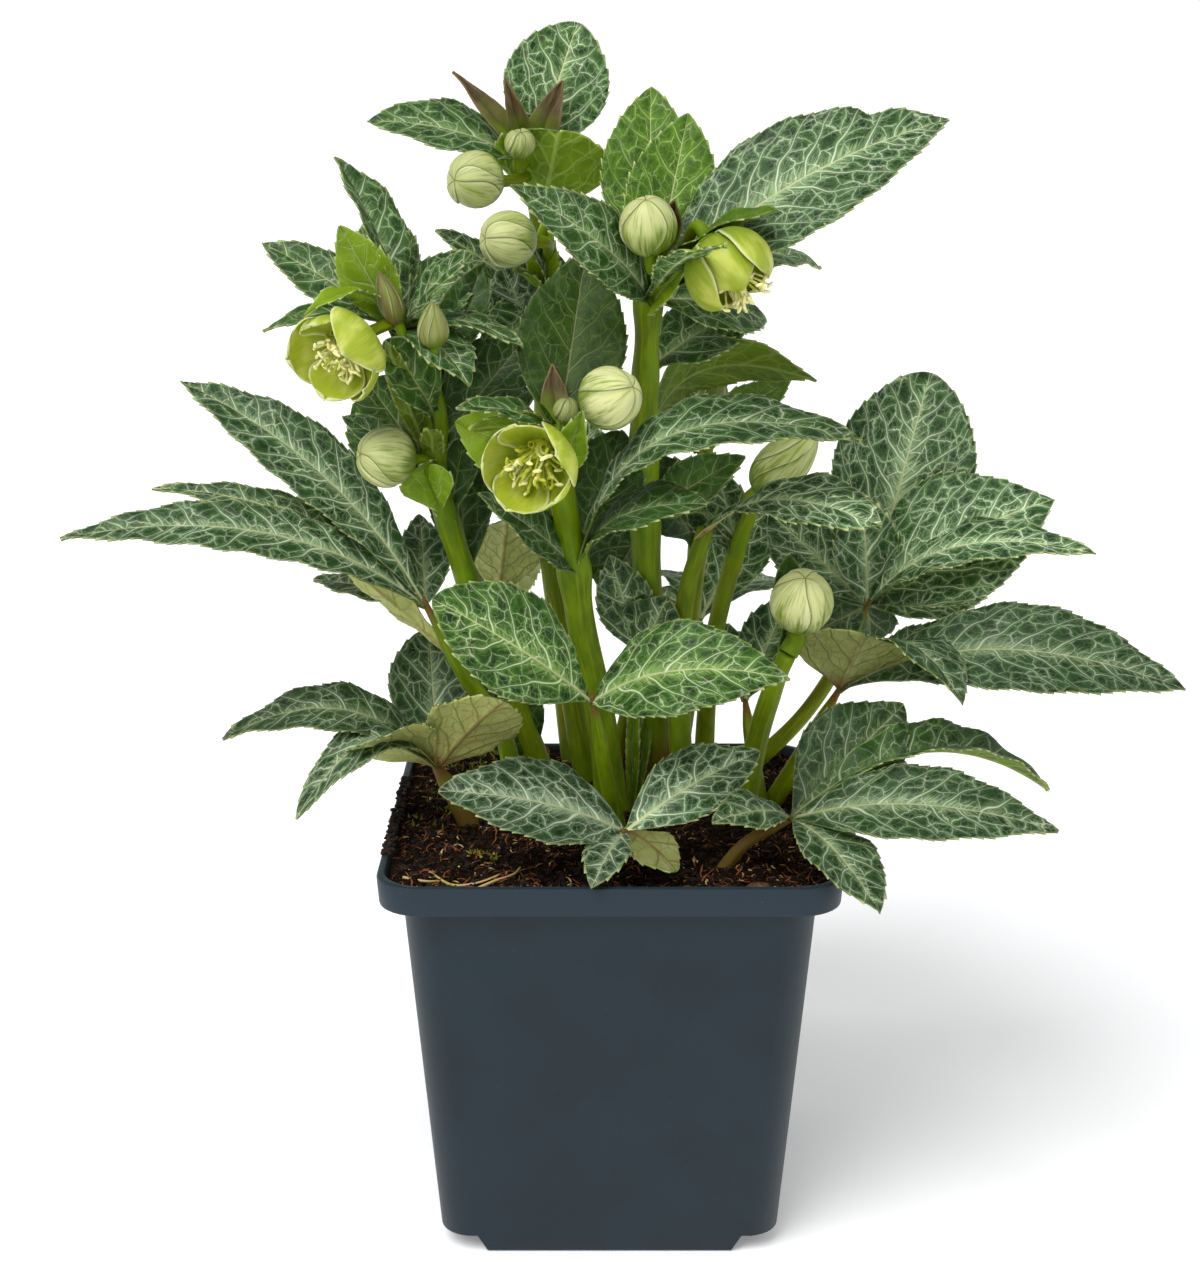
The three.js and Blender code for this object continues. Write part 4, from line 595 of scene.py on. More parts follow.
def corners(piece: Piece) -> Array:
    """Places of a piece's vertices, one row each.

    Args:
        piece: the piece.

    Returns:
        Their places.
    """
    flat = np.empty(len(piece.data.vertices) * 3)
    piece.data.vertices.foreach_get("co", flat)
    return flat.reshape(-1, 3)


def lay(piece: Piece, name: str, form: Form) -> Piece:
    """Lays a primitive's vertices on a form.

    Args:
        piece: the primitive, at the origin.
        name: the name that it gets.
        form: the place and the marks of each vertex, in the vertices' order.

    Returns:
        The same piece.
    """
    named(name, piece)
    piece.data.vertices.foreach_set("co", form.points.astype(np.float32).ravel())
    for mark, values in form.marks.items():
        layer = piece.data.attributes.new(mark, "FLOAT_VECTOR", "POINT")
        layer.data.foreach_set("vector", values.astype(np.float32).ravel())
    piece.data.update()
    return piece


def laid_grid(name: str, along: Array, across: Array, form: Callable[[Array, Array], Form]) -> Piece:
    """Adds a grid and lays it on a form.

    Args:
        name: name of the piece.
        along: the stations, one per row of points.
        across: the columns.
        form: gives the form for arrays of station numbers and column numbers.

    Returns:
        The new sheet. Its faces look the way of (along x across).
    """
    rows, columns = len(along) - 1, len(across) - 1
    piece = added(bpy.ops.mesh.primitive_grid_add, x_subdivisions=rows, y_subdivisions=columns, size=2)
    places = (corners(piece) + 1) / 2
    i = np.rint(places[:, 0] * rows).astype(int)
    j = np.rint(places[:, 1] * columns).astype(int)
    return lay(piece, name, form(i, j))


def laid_ball(name: str, rings: int, sides: int, form: Callable[[Array, Array], Form]) -> Piece:
    """Adds a ball of rings and lays it on a form, such as a rod or a bud.

    Args:
        name: name of the piece.
        rings: rings of faces between its two poles.
        sides: faces round it.
        form: gives the form for arrays of ring numbers, 0 at the foot, and angles.

    Returns:
        The new closed piece.
    """
    piece = added(bpy.ops.mesh.primitive_uv_sphere_add, segments=sides, ring_count=rings, radius=1)
    places = corners(piece)
    ring = np.rint((1 - np.arccos(np.clip(places[:, 2], -1, 1)) / math.pi) * rings).astype(int)
    angle = np.arctan2(places[:, 1], places[:, 0])
    return lay(piece, name, form(ring, angle))


def apply_modifier(piece: Piece, kind: str, **options: object) -> None:
    """Adds a modifier with these options and applies it.

    Args:
        piece: the piece.
        kind: kind of modifier.
        options: its options.
    """
    select_only([piece])
    modifier = piece.modifiers.new(kind.title(), kind)
    for option, value in options.items():
        setattr(modifier, option, value)
    bpy.ops.object.modifier_apply(modifier=modifier.name)


def thicken(piece: Piece, thickness: float) -> None:
    """Gives a sheet its thickness, with its own finishes above, below and at the edge.

    Args:
        piece: the sheet, with its three finishes.
        thickness: its thickness, half to each side.
    """
    apply_modifier(
        piece, "SOLIDIFY", thickness=thickness, offset=0.0,
        material_offset=1, material_offset_rim=2, use_rim=True,
    )


def smooth(piece: Piece, angle: float = HALF_TURN) -> None:
    """Shades a piece smooth, but for edges sharper than the angle in degrees.

    Args:
        piece: the piece.
        angle: edges sharper than this stay sharp.
    """
    select_only([piece])
    if angle >= HALF_TURN:
        bpy.ops.object.shade_smooth()
    else:
        bpy.ops.object.shade_smooth_by_angle(angle=math.radians(angle))


def dress(piece: Piece, *finishes: Material) -> None:
    """Puts these finishes in a piece's material slots.

    Args:
        piece: the piece.
        finishes: one for each slot.
    """
    piece.data.materials.clear()
    for finish in finishes:
        piece.data.materials.append(finish)


def named(name: str, piece: Piece) -> Piece:
    """Names a piece and its mesh, and gives it back."""
    piece.name = piece.data.name = name
    return piece


def joined(name: str, pieces: Sequence[Piece]) -> Piece:
    """Joins pieces into the first one and names it.

    Args:
        name: name of the piece.
        pieces: the pieces, the one that stays first.

    Returns:
        The joined piece.
    """
    select_only(pieces)
    if len(pieces) > 1:
        bpy.ops.object.join()
    return named(name, bpy.context.active_object)


def copied(piece: Piece, place: Matrix) -> Piece:
    """Copy of a piece with a mesh of its own, set by a matrix.

    Args:
        piece: the piece.
        place: matrix that sets its place.

    Returns:
        The copy.
    """
    twin = piece.copy()
    twin.data = piece.data.copy()
    twin.data.transform(place)
    bpy.context.collection.objects.link(twin)
    return twin


def settle(piece: Piece) -> None:
    """Moves a piece's place from its object into its mesh."""
    select_only([piece])
    bpy.ops.object.transform_apply(location=True, rotation=True, scale=True)


def hand_over(piece: Piece, node: str | None = None) -> None:
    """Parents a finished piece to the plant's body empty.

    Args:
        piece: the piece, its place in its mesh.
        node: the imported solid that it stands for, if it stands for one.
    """
    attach(piece, BODY)
    if node:
        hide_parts(node)
    log.info("%s: %d faces", piece.name, len(piece.data.polygons))


@dataclass
class Route:
    """Smooth line through points, with a frame that doesn't twist along it."""

    points: Array
    tangents: Array
    sides: Array
    distance: Array

    @classmethod
    def through(cls, path: Sequence[Point], step: float) -> "Route":
        """Route along a centripetal curve through the points.

        Args:
            path: the points.
            step: about how far apart the route's own points lie.

        Returns:
            The route.
        """
        knots = np.array(path, float)
        knots = np.vstack([2 * knots[0] - knots[1], knots, 2 * knots[-1] - knots[-2]])
        fine = []
        for a, b, c, d in zip(knots, knots[1:], knots[2:], knots[3:]):
            ab, bc, cd = (max(np.linalg.norm(q - p) ** 0.5, LEAST_GAP) for p, q in ((a, b), (b, c), (c, d)))
            out = ((b - a) / ab - (c - a) / (ab + bc) + (c - b) / bc) * bc
            into = ((c - b) / bc - (d - b) / (bc + cd) + (d - c) / cd) * bc
            t = np.linspace(0, 1, SPAN_POINTS, endpoint=False)[:, None]
            square, cube = 3 * (c - b) - 2 * out - into, 2 * (b - c) + out + into
            fine.append(b + out * t + square * t**2 + cube * t**3)
        fine = np.vstack([*fine, knots[-2:-1]])
        reach = np.concatenate([[0], np.cumsum(np.linalg.norm(np.diff(fine, axis=0), axis=1))])
        count = max(3, math.ceil(reach[-1] / step) + 1)
        distance = np.linspace(0, reach[-1], count)
        points = np.stack([np.interp(distance, reach, fine[:, axis]) for axis in range(3)], axis=1)
        tangents = unit(np.gradient(points, axis=0))
        side = unit(np.cross(tangents[0], ASIDE))
        sides = []
        for tangent in tangents:
            side = unit(side - tangent * (side @ tangent))
            sides.append(side)
        return cls(points, tangents, np.array(sides), distance)

    @property
    def length(self) -> float:
        """Length from end to end."""
        return float(self.distance[-1])

    def nearest(self, target: Point) -> Array:
        """Point of the route that lies nearest to the target."""
        return self.points[np.argmin(np.linalg.norm(self.points - np.array(target), axis=1))]

    def frame_at(self, index: Array) -> tuple[Array, Array, Array, Array]:
        """Middle, two cross directions and distance at these points of the route."""
        side = self.sides[index]
        return self.points[index], side, np.cross(self.tangents[index], side), self.distance[index]


class Graph:
    """Builds the nodes of one finish."""

    def __init__(self, name: str) -> None:
        """Starts a finish with its shader.

        Args:
            name: name of the material.
        """
        self.material = bpy.data.materials.new(name)
        self.material.use_nodes = True
        self.tree = self.material.node_tree
        self.shader = self.tree.nodes["Principled BSDF"]

    def feed(self, socket: Socket, value: Value) -> None:
        """Links a socket to another one, or sets it to a value.

        Args:
            socket: the input.
            value: another node's output, or a value.
        """
        if isinstance(value, Socket):
            self.tree.links.new(value, socket)
        else:
            socket.default_value = value

    def node(self, kind: str, *values: Value, **options: object) -> bpy.types.Node:
        """New node with its options set and its first inputs fed.

        Args:
            kind: kind of node, without its prefix.
            values: its first inputs.
            options: its options.

        Returns:
            The node.
        """
        node = self.tree.nodes.new("ShaderNode" + kind)
        for option, value in options.items():
            setattr(node, option, value)
        for socket, value in zip(node.inputs, values):
            self.feed(socket, value)
        return node

    def math(self, operation: str, a: Value, b: Value = 0.0) -> Socket:
        """Result of a sum on numbers."""
        return self.node("Math", a, b, 0.0, operation=operation).outputs[0]

    def mul(self, a: Value, b: Value) -> Socket:
        """Product of two numbers."""
        return self.math("MULTIPLY", a, b)

    def add(self, a: Value, b: Value) -> Socket:
        """Sum of two numbers."""
        return self.math("ADD", a, b)

    def sub(self, a: Value, b: Value) -> Socket:
        """Difference of two numbers."""
        return self.math("SUBTRACT", a, b)

    def rest(self, a: Value) -> Socket:
        """What a number leaves of one."""
        return self.math("SUBTRACT", 1.0, a)

    def most(self, a: Value, b: Value) -> Socket:
        """Larger of two numbers."""
        return self.math("MAXIMUM", a, b)

    def mark(self, name: str) -> Socket:
        """Vector that the mesh carries under this name."""
        return self.node("Attribute", attribute_name=name).outputs["Vector"]

    def split(self, vector: Value) -> tuple[Socket, ...]:
        """The three numbers of a vector."""
        return tuple(self.node("SeparateXYZ", vector).outputs)

    def vector(self, x: Value, y: Value, z: Value = 0.0) -> Socket:
        """Vector of three numbers."""
        return self.node("CombineXYZ", x, y, z).outputs[0]

    def scaled(self, vector: Value, by: Value) -> Socket:
        """Vector multiplied number by number."""
        return self.node("VectorMath", vector, by, operation="MULTIPLY").outputs[0]

    def place(self) -> Socket:
        """Place on the piece, in metres."""
        return self.node("TexCoord").outputs["Object"]

    def noise(self, vector: Value, size: float, detail: float = 2.0, rough: float = 0.5,
              colour: bool = False) -> Socket:
        """Cloudy noise whose blots are about the given size across.

        Args:
            vector: where it is read.
            size: size of its blots.
            detail: number of finer layers.
            rough: strength of those.
            colour: whether it gives three numbers.

        Returns:
            The noise, about 0.5 on average.
        """
        node = self.node("TexNoise", vector, noise_dimensions="3D")
        node.inputs["Scale"].default_value = 1 / size
        node.inputs["Detail"].default_value = detail
        node.inputs["Roughness"].default_value = rough
        return node.outputs["Color" if colour else "Fac"]

    def cells(self, vector: Value, number: Value) -> Socket:
        """Distance to the edge of cells of about one unit on a plane, other ones for each number.

        Args:
            vector: where they are read.
            number: picks the pattern.

        Returns:
            The distance.
        """
        shift = self.vector(*(self.mul(number, each) for each in CELL_SHIFTS))
        moved = self.node("VectorMath", vector, shift, operation="ADD").outputs[0]
        node = self.node("TexVoronoi", moved, voronoi_dimensions="2D", feature="DISTANCE_TO_EDGE")
        node.inputs["Scale"].default_value = 1
        return node.outputs["Distance"]

    def step(self, value: Value, low: Value, high: Value) -> Socket:
        """Smooth step from 0 at low to 1 at high; falls where low is above high."""
        return self.node("MapRange", value, low, high, interpolation_type="SMOOTHSTEP").outputs[0]

    def mix(self, share: Value, a: Value, b: Value) -> Socket:
        """Mix of two colours.

        Args:
            share: share of the second colour.
            a: first colour.
            b: second colour.

        Returns:
            The mixed colour.
        """
        node = self.node("Mix", share, data_type="RGBA")
        self.feed(node.inputs[COLOUR_A], a)
        self.feed(node.inputs[COLOUR_B], b)
        return node.outputs[COLOUR_OUT]

    def bump(self, height: Value, depth: float, strength: float = 1.0) -> None:
        """Relief of the given depth under the shader.

        Args:
            height: the relief, about 0 to 1.
            depth: its depth in metres.
            strength: how strongly it shows.
        """
        node = self.node("Bump")
        node.inputs["Strength"].default_value = strength
        node.inputs["Distance"].default_value = depth
        self.feed(node.inputs["Height"], height)
        self.feed(self.shader.inputs["Normal"], node.outputs[0])

    def finish(
        self, colour: Value, roughness: Value, specular: float, **scalars: float,
    ) -> Material:
        """Joins colour and roughness to the shader and gives the material.

        Args:
            colour: the colour.
            roughness: the roughness.
            specular: strength of the gloss.
            scalars: other inputs of the shader, by name.

        Returns:
            The material.
        """
        self.feed(self.shader.inputs["Base Color"], colour)
        self.feed(self.shader.inputs["Roughness"], roughness)
        self.shader.inputs["Specular IOR Level"].default_value = specular
        for name, value in scalars.items():
            self.shader.inputs[name.replace("_", " ").title()].default_value = value
        return self.material


def tint(red: float, green: float, blue: float) -> Colour:
    """Opaque colour from the values that a screen shows, 0 to 255."""
    offset, power = SCREEN_CURVE
    return (*(((each / 255 + offset) / (1 + offset)) ** power for each in (red, green, blue)), 1.0)


# --- Finishes ---


@dataclass(frozen=True)
class Veins:
    """Lines of the side veins on a blade, shared by its finish and its relief."""

    pitch: float = 0.0118
    lean: float = 0.95
    bow: float = 24.0
    net: float = 0.0050
    fine: float = 0.0022
    nudge: float = 0.0038
    warp: float = 0.013
    streak: float = 0.0009

    @property
    def slant(self) -> float:
        """Length along a side vein for each length across the blade."""
        return math.hypot(1, self.lean)


@dataclass(frozen=True)
class VeinLines:
    """What the finishes of both sides of a blade read from its marks."""

    across: Socket
    along: Socket
    share: Socket
    out: Socket
    edge: Socket
    tooth: Socket
    tone: Socket
    net: Socket
    light: Socket
    to_side: Socket
    to_net: Socket
    to_fine: Socket
    streak: Socket

    @classmethod
    def on(cls, g: Graph, veins: Veins) -> "VeinLines":
        """Distances to the midrib, the side veins and the net, as nodes of a graph.

        Args:
            g: the finish's graph.
            veins: lines of the veins.

        Returns:
            The lines.
        """
        w, s, number = g.split(g.mark("blade"))
        half, length, tooth = g.split(g.mark("span"))
        # light is the blade's painted light and shade, a number that scales its colours.
        tone, net, light = g.split(g.mark("look"))
        across = g.math("ABSOLUTE", w)
        side = g.math("GREATER_THAN", w, 0)
        own = g.vector(w, s, g.mul(number, 0.02))
        warp = g.sub(g.noise(own, veins.warp, 1.0), 0.5)
        bowed = g.add(g.mul(across, veins.lean), g.mul(g.mul(across, across), veins.bow))
        run = g.sub(s, bowed)
        phase = g.mul(g.add(run, g.mul(warp, veins.pitch * 0.9)), 1 / veins.pitch)
        phase = g.math("FRACT", g.add(phase, g.mul(side, 0.45)))
        off = g.math("ABSOLUTE", g.sub(phase, 0.5))
        to_side = g.mul(g.sub(0.5, off), veins.pitch / veins.slant)
        spot = g.node(
            "VectorMath", g.noise(own, 0.005, 3.0, 0.6, colour=True), (veins.nudge, veins.nudge, 0.0),
            g.vector(g.mul(w, 1.12), g.mul(s, 0.84)), operation="MULTIPLY_ADD",
        ).outputs[0]
        to_net = g.mul(g.cells(g.scaled(spot, (1 / veins.net,) * 3), number), veins.net)
        to_fine = g.mul(g.cells(g.scaled(spot, (1 / veins.fine,) * 3), number), veins.fine)
        streak = g.noise(g.vector(g.mul(w, 0.22), run, number), veins.streak, 3.0, 0.6)
        return cls(
            across, s, g.math("DIVIDE", s, length), g.math("DIVIDE", across, half),
            g.sub(half, across), tooth, tone, net, light, to_side, to_net, to_fine, streak,
        )


def with_painted_light(g: Graph, colour: Value, light: Value) -> Socket:
    """Colour made lighter or darker by a number: painted light and shade."""
    return g.scaled(colour, g.vector(light, light, light))


@dataclass(frozen=True)
class LeafTop:
    """Upper side: dark green cells in a soft pale net of veins, hazy along the midrib."""

    veins: Veins = Veins()
    dark: Colour = tint(14, 40, 10)
    blue: Colour = tint(42, 72, 38)
    fresh: Colour = tint(54, 98, 6)
    lime: Colour = tint(124, 152, 4)
    haze: Colour = tint(162, 184, 148)
    warm_haze: Colour = tint(124, 160, 64)
    line: Colour = tint(206, 220, 186)
    warm_line: Colour = tint(196, 212, 142)
    rib: Colour = tint(192, 196, 148)
    rib_line: Colour = tint(128, 124, 74)
    rim: Colour = tint(196, 204, 136)
    patch_size: float = 0.010
    mottle_size: float = 0.0042
    ragged_size: float = 0.0022
    fleck_size: float = 0.0006
    vein_half: float = 0.00066
    net_half: float = 0.0004
    fine_half: float = 0.00026
    rib_half: float = 0.0009
    centre_half: float = 0.00036
    rim_width: float = 0.00055
    clear_of_veins: tuple[float, float] = (0.0003, 0.0014)
    vein_glow: float = 0.0020
    net_glow: float = 0.0012
    relief: float = 0.00025
    roughness: float = 0.38
    gloss: float = 0.2

    def material(self) -> Material:
        """Builds the finish.

        Returns:
            The material.
        """
        g = Graph("leaf_top")
        at = VeinLines.on(g, self.veins)
        mark = g.mark("blade")
        clear = g.step(g.noise(mark, self.patch_size, 2.0), 0.30, 0.62)
        fade = g.rest(g.mul(at.out, 0.72))
        taper = g.rest(g.mul(at.share, 0.75))
        width = g.add(g.mul(g.mul(taper, fade), self.vein_half), 0.0001)
        side_vein = g.step(at.to_side, width, g.mul(width, 0.2))
        side_vein = g.mul(side_vein, g.add(0.35, g.mul(fade, 0.65)))
        apart = g.step(at.to_side, *self.clear_of_veins)
        ragged = g.add(0.0001, g.mul(g.noise(mark, self.ragged_size, 2.0), self.net_half))
        net = g.step(at.to_net, ragged, 0.0)
        net = g.mul(net, g.mul(apart, g.add(g.mul(clear, 0.55), 0.38)))
        fine = g.mul(g.step(at.to_fine, self.fine_half, 0.0), g.mul(clear, 0.2))
        lines = g.most(side_vein, g.mul(net, g.add(0.25, g.mul(fade, 0.75))))
        lines = g.most(lines, fine)
        wander = g.mul(g.sub(at.streak, 0.5), 0.9)
        halo = g.step(g.add(at.out, wander), g.mul(taper, 0.58), -0.10)
        glow = g.mul(g.step(at.to_side, self.vein_glow, 0.0), g.mul(fade, 0.5))
        net_glow = g.mul(g.step(at.to_net, self.net_glow, 0.0), g.add(g.mul(clear, 0.24), 0.08))
        glow = g.most(glow, net_glow)
        glow = g.most(glow, halo)
        dashes = g.mul(g.step(at.streak, 0.56, 0.72), g.mul(fade, 0.34))
        fleck = g.noise(mark, self.fleck_size, 3.0, 0.7)
        mottle = g.noise(mark, self.mottle_size, 3.0, 0.6)
        ground = g.mix(g.math("MINIMUM", at.tone, 1.0), self.blue, self.fresh)
        ground = g.mix(g.step(at.tone, 1.0, 2.0), ground, self.lime)
        shade = g.rest(g.mul(g.step(at.tone, 1.0, 2.0), 0.8))
        deep = g.most(g.mul(g.step(at.to_net, 0.0004, 0.0018), 0.6), g.step(mottle, 0.6, 0.36))
        deep = g.mul(g.mul(deep, g.add(g.mul(at.net, 0.6), 0.4)), g.mul(shade, 0.92))
        ground = g.mix(deep, ground, self.dark)
        ground = g.mix(g.mul(g.step(fleck, 0.50, 0.28), g.mul(shade, 0.5)), ground, self.dark)
        haze = g.mix(g.math("MINIMUM", at.tone, 1.0), self.haze, self.warm_haze)
        glow = g.mul(g.most(glow, dashes), g.add(0.6, g.mul(fleck, 0.7)))
        colour = g.mix(g.mul(glow, at.net), ground, haze)
        line = g.mix(g.step(at.tone, 0.6, 1.3), self.line, self.warm_line)
        colour = g.mix(g.mul(lines, g.mul(at.net, 0.92)), colour, line)
        rib = g.step(at.across, g.mul(taper, self.rib_half), g.mul(taper, 0.0004))
        colour = g.mix(g.mul(rib, g.add(g.mul(at.net, 0.55), 0.3)), colour, self.rib)
        centre = g.mul(g.step(at.across, self.centre_half, 0.00012), g.step(at.share, 0.85, 0.1))
        colour = g.mix(g.mul(centre, 0.5), colour, self.rib_line)
        edge = g.step(at.edge, self.rim_width, 0.0001)
        colour = g.mix(g.mul(edge, g.add(g.mul(at.tooth, 0.6), 0.2)), colour, self.rim)
        height = g.add(g.mul(g.most(lines, rib), -1.0), g.mul(g.add(fleck, at.streak), 0.4))
        g.bump(height, self.relief, 0.8)
        roughness = g.add(self.roughness, g.mul(mottle, 0.2))
        # Painted light and shade: the blade's colours scaled by its light number.
        return g.finish(with_painted_light(g, colour, at.light), roughness, self.gloss)


@dataclass(frozen=True)
class LeafUnder:
    """Lower side: olive with reddish brown veins that fan out, or plain green on a fresh blade."""

    veins: Veins = Veins()
    olive: Colour = tint(166, 172, 100)
    bright: Colour = tint(112, 142, 26)
    dim: Colour = tint(84, 110, 14)
    pale: Colour = tint(156, 176, 84)
    streak: Colour = tint(108, 116, 58)
    vein: Colour = tint(128, 82, 44)
    foot: Colour = tint(104, 54, 34)
    rim: Colour = tint(196, 196, 116)
    patch_size: float = 0.012
    grain_size: float = 0.0007
    rib_half: float = 0.0009
    vein_half: float = 0.0008
    net_half: float = 0.0006
    rim_width: float = 0.0006
    foot_reach: tuple[float, float] = (0.017, 0.005)
    relief: float = 0.0003
    roughness: float = 0.5
    gloss: float = 0.2

    def material(self) -> Material:
        """Builds the finish.

        Returns:
            The material.
        """
        g = Graph("leaf_under")
        at = VeinLines.on(g, self.veins)
        mark = g.mark("blade")
        blots = g.noise(mark, self.patch_size, 2.0)
        rib = g.step(at.across, self.rib_half, 0.0003)
        fresh = g.step(at.tone, 0.4, 0.6)
        red = g.most(g.mul(g.step(at.to_side, 0.0004, 0.00005), 0.5), g.mul(rib, 0.6))
        red = g.mul(g.mul(red, g.step(blots, 0.3, 0.65)), g.rest(fresh))
        grain = g.noise(g.scaled(mark, (1.0, 0.25, 1.0)), self.grain_size, 3.0, 0.6)
        green = g.mix(g.step(g.add(blots, g.mul(grain, 0.4)), 0.5, 0.9), self.dim, self.bright)
        colour = g.mix(fresh, self.olive, green)
        vein = g.mix(fresh, self.streak, self.pale)
        streaks = g.mul(g.step(grain, 0.45, 0.7), g.mul(0.35, g.rest(fresh)))
        colour = g.mix(streaks, colour, self.streak)
        colour = g.mix(g.mul(g.step(at.to_net, self.net_half, 0.0), 0.35), colour, vein)
        colour = g.mix(g.mul(g.step(at.to_side, self.vein_half, 0.0), 0.5), colour, vein)
        colour = g.mix(g.mul(rib, g.mul(fresh, 0.6)), colour, self.pale)
        colour = g.mix(red, colour, self.vein)
        foot = g.step(g.add(at.along, g.mul(blots, 0.008)), *self.foot_reach)
        foot = g.mul(foot, g.rest(fresh))
        colour = g.mix(g.mul(foot, 0.75), colour, self.foot)
        edge = g.step(at.edge, self.rim_width, 0.0002)
        colour = g.mix(g.mul(edge, g.add(g.mul(at.tooth, 0.5), 0.35)), colour, self.rim)
        raised = g.most(rib, g.step(at.to_side, 0.0007, 0.0))
        raised = g.most(raised, g.mul(g.step(at.to_net, 0.0005, 0.0), 0.45))
        g.bump(g.add(raised, g.mul(grain, 0.3)), self.relief, 0.8)
        # Painted light and shade: the blade's colours scaled by its light number.
        return g.finish(with_painted_light(g, colour, at.light), self.roughness, self.gloss)


@dataclass(frozen=True)
class LeafRim:
    """Cut edge of a blade: green, cream at the teeth."""

    cream: Colour = tint(222, 222, 166)
    green: Colour = tint(84, 108, 34)

    def material(self) -> Material:
        """Builds the finish.

        Returns:
            The material.
        """
        g = Graph("leaf_rim")
        *_, tooth = g.split(g.mark("span"))
        patch = g.noise(g.place(), 0.0016, 2.0)
        share = g.step(g.add(tooth, g.mul(g.sub(patch, 0.5), 1.6)), 0.1, 0.9)
        g.bump(patch, 0.0001)
        return g.finish(g.mix(g.mul(share, 0.6), self.green, self.cream), 0.5, 0.3)


@dataclass(frozen=True)
class BractSkin:
    """Small brown mauve bracts with green feet and pale edges."""

    brown: Colour = tint(104, 84, 50)
    dark: Colour = tint(66, 52, 26)
    green: Colour = tint(112, 138, 26)
    rim: Colour = tint(122, 104, 64)
    grain_size: float = 0.0009
    blot_size: float = 0.006
    rim_width: float = 0.0006
    relief: float = 0.00025

    def material(self) -> Material:
        """Builds the finish.

        Returns:
            The material.
        """
        g = Graph("bract")
        w, s, _ = g.split(g.mark("blade"))
        half, length, _ = g.split(g.mark("span"))
        out = g.math("ABSOLUTE", w)
        share = g.math("DIVIDE", s, length)
        grain = g.noise(g.scaled(g.mark("blade"), (1.0, 0.12, 1.0)), self.grain_size, 3.0, 0.6)
        blots = g.noise(g.mark("blade"), self.blot_size, 2.0)
        colour = g.mix(g.step(grain, 0.35, 0.7), self.dark, self.brown)
        colour = g.mix(g.step(g.add(share, g.mul(g.add(blots, grain), 0.4)), 1.15, 0.65), colour, self.green)
        edge = g.sub(half, out)
        colour = g.mix(g.mul(g.step(edge, self.rim_width, 0.0001), 0.8), colour, self.rim)
        g.bump(grain, self.relief, 0.8)
        return g.finish(colour, 0.5, 0.4)


@dataclass(frozen=True)
class StemSkin:
    """Juicy yellow green stem with fine ridges, flushed red brown at its foot."""

    green: Colour = tint(106, 134, 0)
    pale: Colour = tint(134, 156, 14)
    deep: Colour = tint(82, 108, 0)
    flush: Colour = tint(98, 62, 32)
    streak_size: float = 0.0011
    blot_size: float = 0.007
    relief: float = 0.0004
    roughness: float = 0.42
    gloss: float = 0.16

    def material(self) -> Material:
        """Builds the finish.

        Returns:
            The material.
        """
        g = Graph("stem_skin")
        run = g.mark("rod")
        blush, *_ = g.split(g.mark("flush"))
        streak = g.noise(g.scaled(run, (1.0, 1.0, 0.06)), self.streak_size, 3.0, 0.6)
        blots = g.noise(g.scaled(run, (1.0, 1.0, 0.4)), self.blot_size, 3.0, 0.6)
        colour = g.mix(g.step(blots, 0.35, 0.65), self.deep, self.green)
        colour = g.mix(g.mul(g.step(streak, 0.5, 0.7), 0.5), colour, self.pale)
        colour = g.mix(g.mul(g.step(streak, 0.46, 0.3), 0.3), colour, self.deep)
        red = g.step(g.add(blush, g.mul(g.sub(blots, 0.5), 0.7)), 0.25, 0.85)
        colour = g.mix(g.mul(red, 0.8), colour, self.flush)
        g.bump(g.add(streak, g.mul(blots, 0.5)), self.relief, 0.6)
        roughness = g.add(self.roughness, g.mul(streak, 0.2))
        return g.finish(colour, roughness, self.gloss, subsurface_weight=0.08)


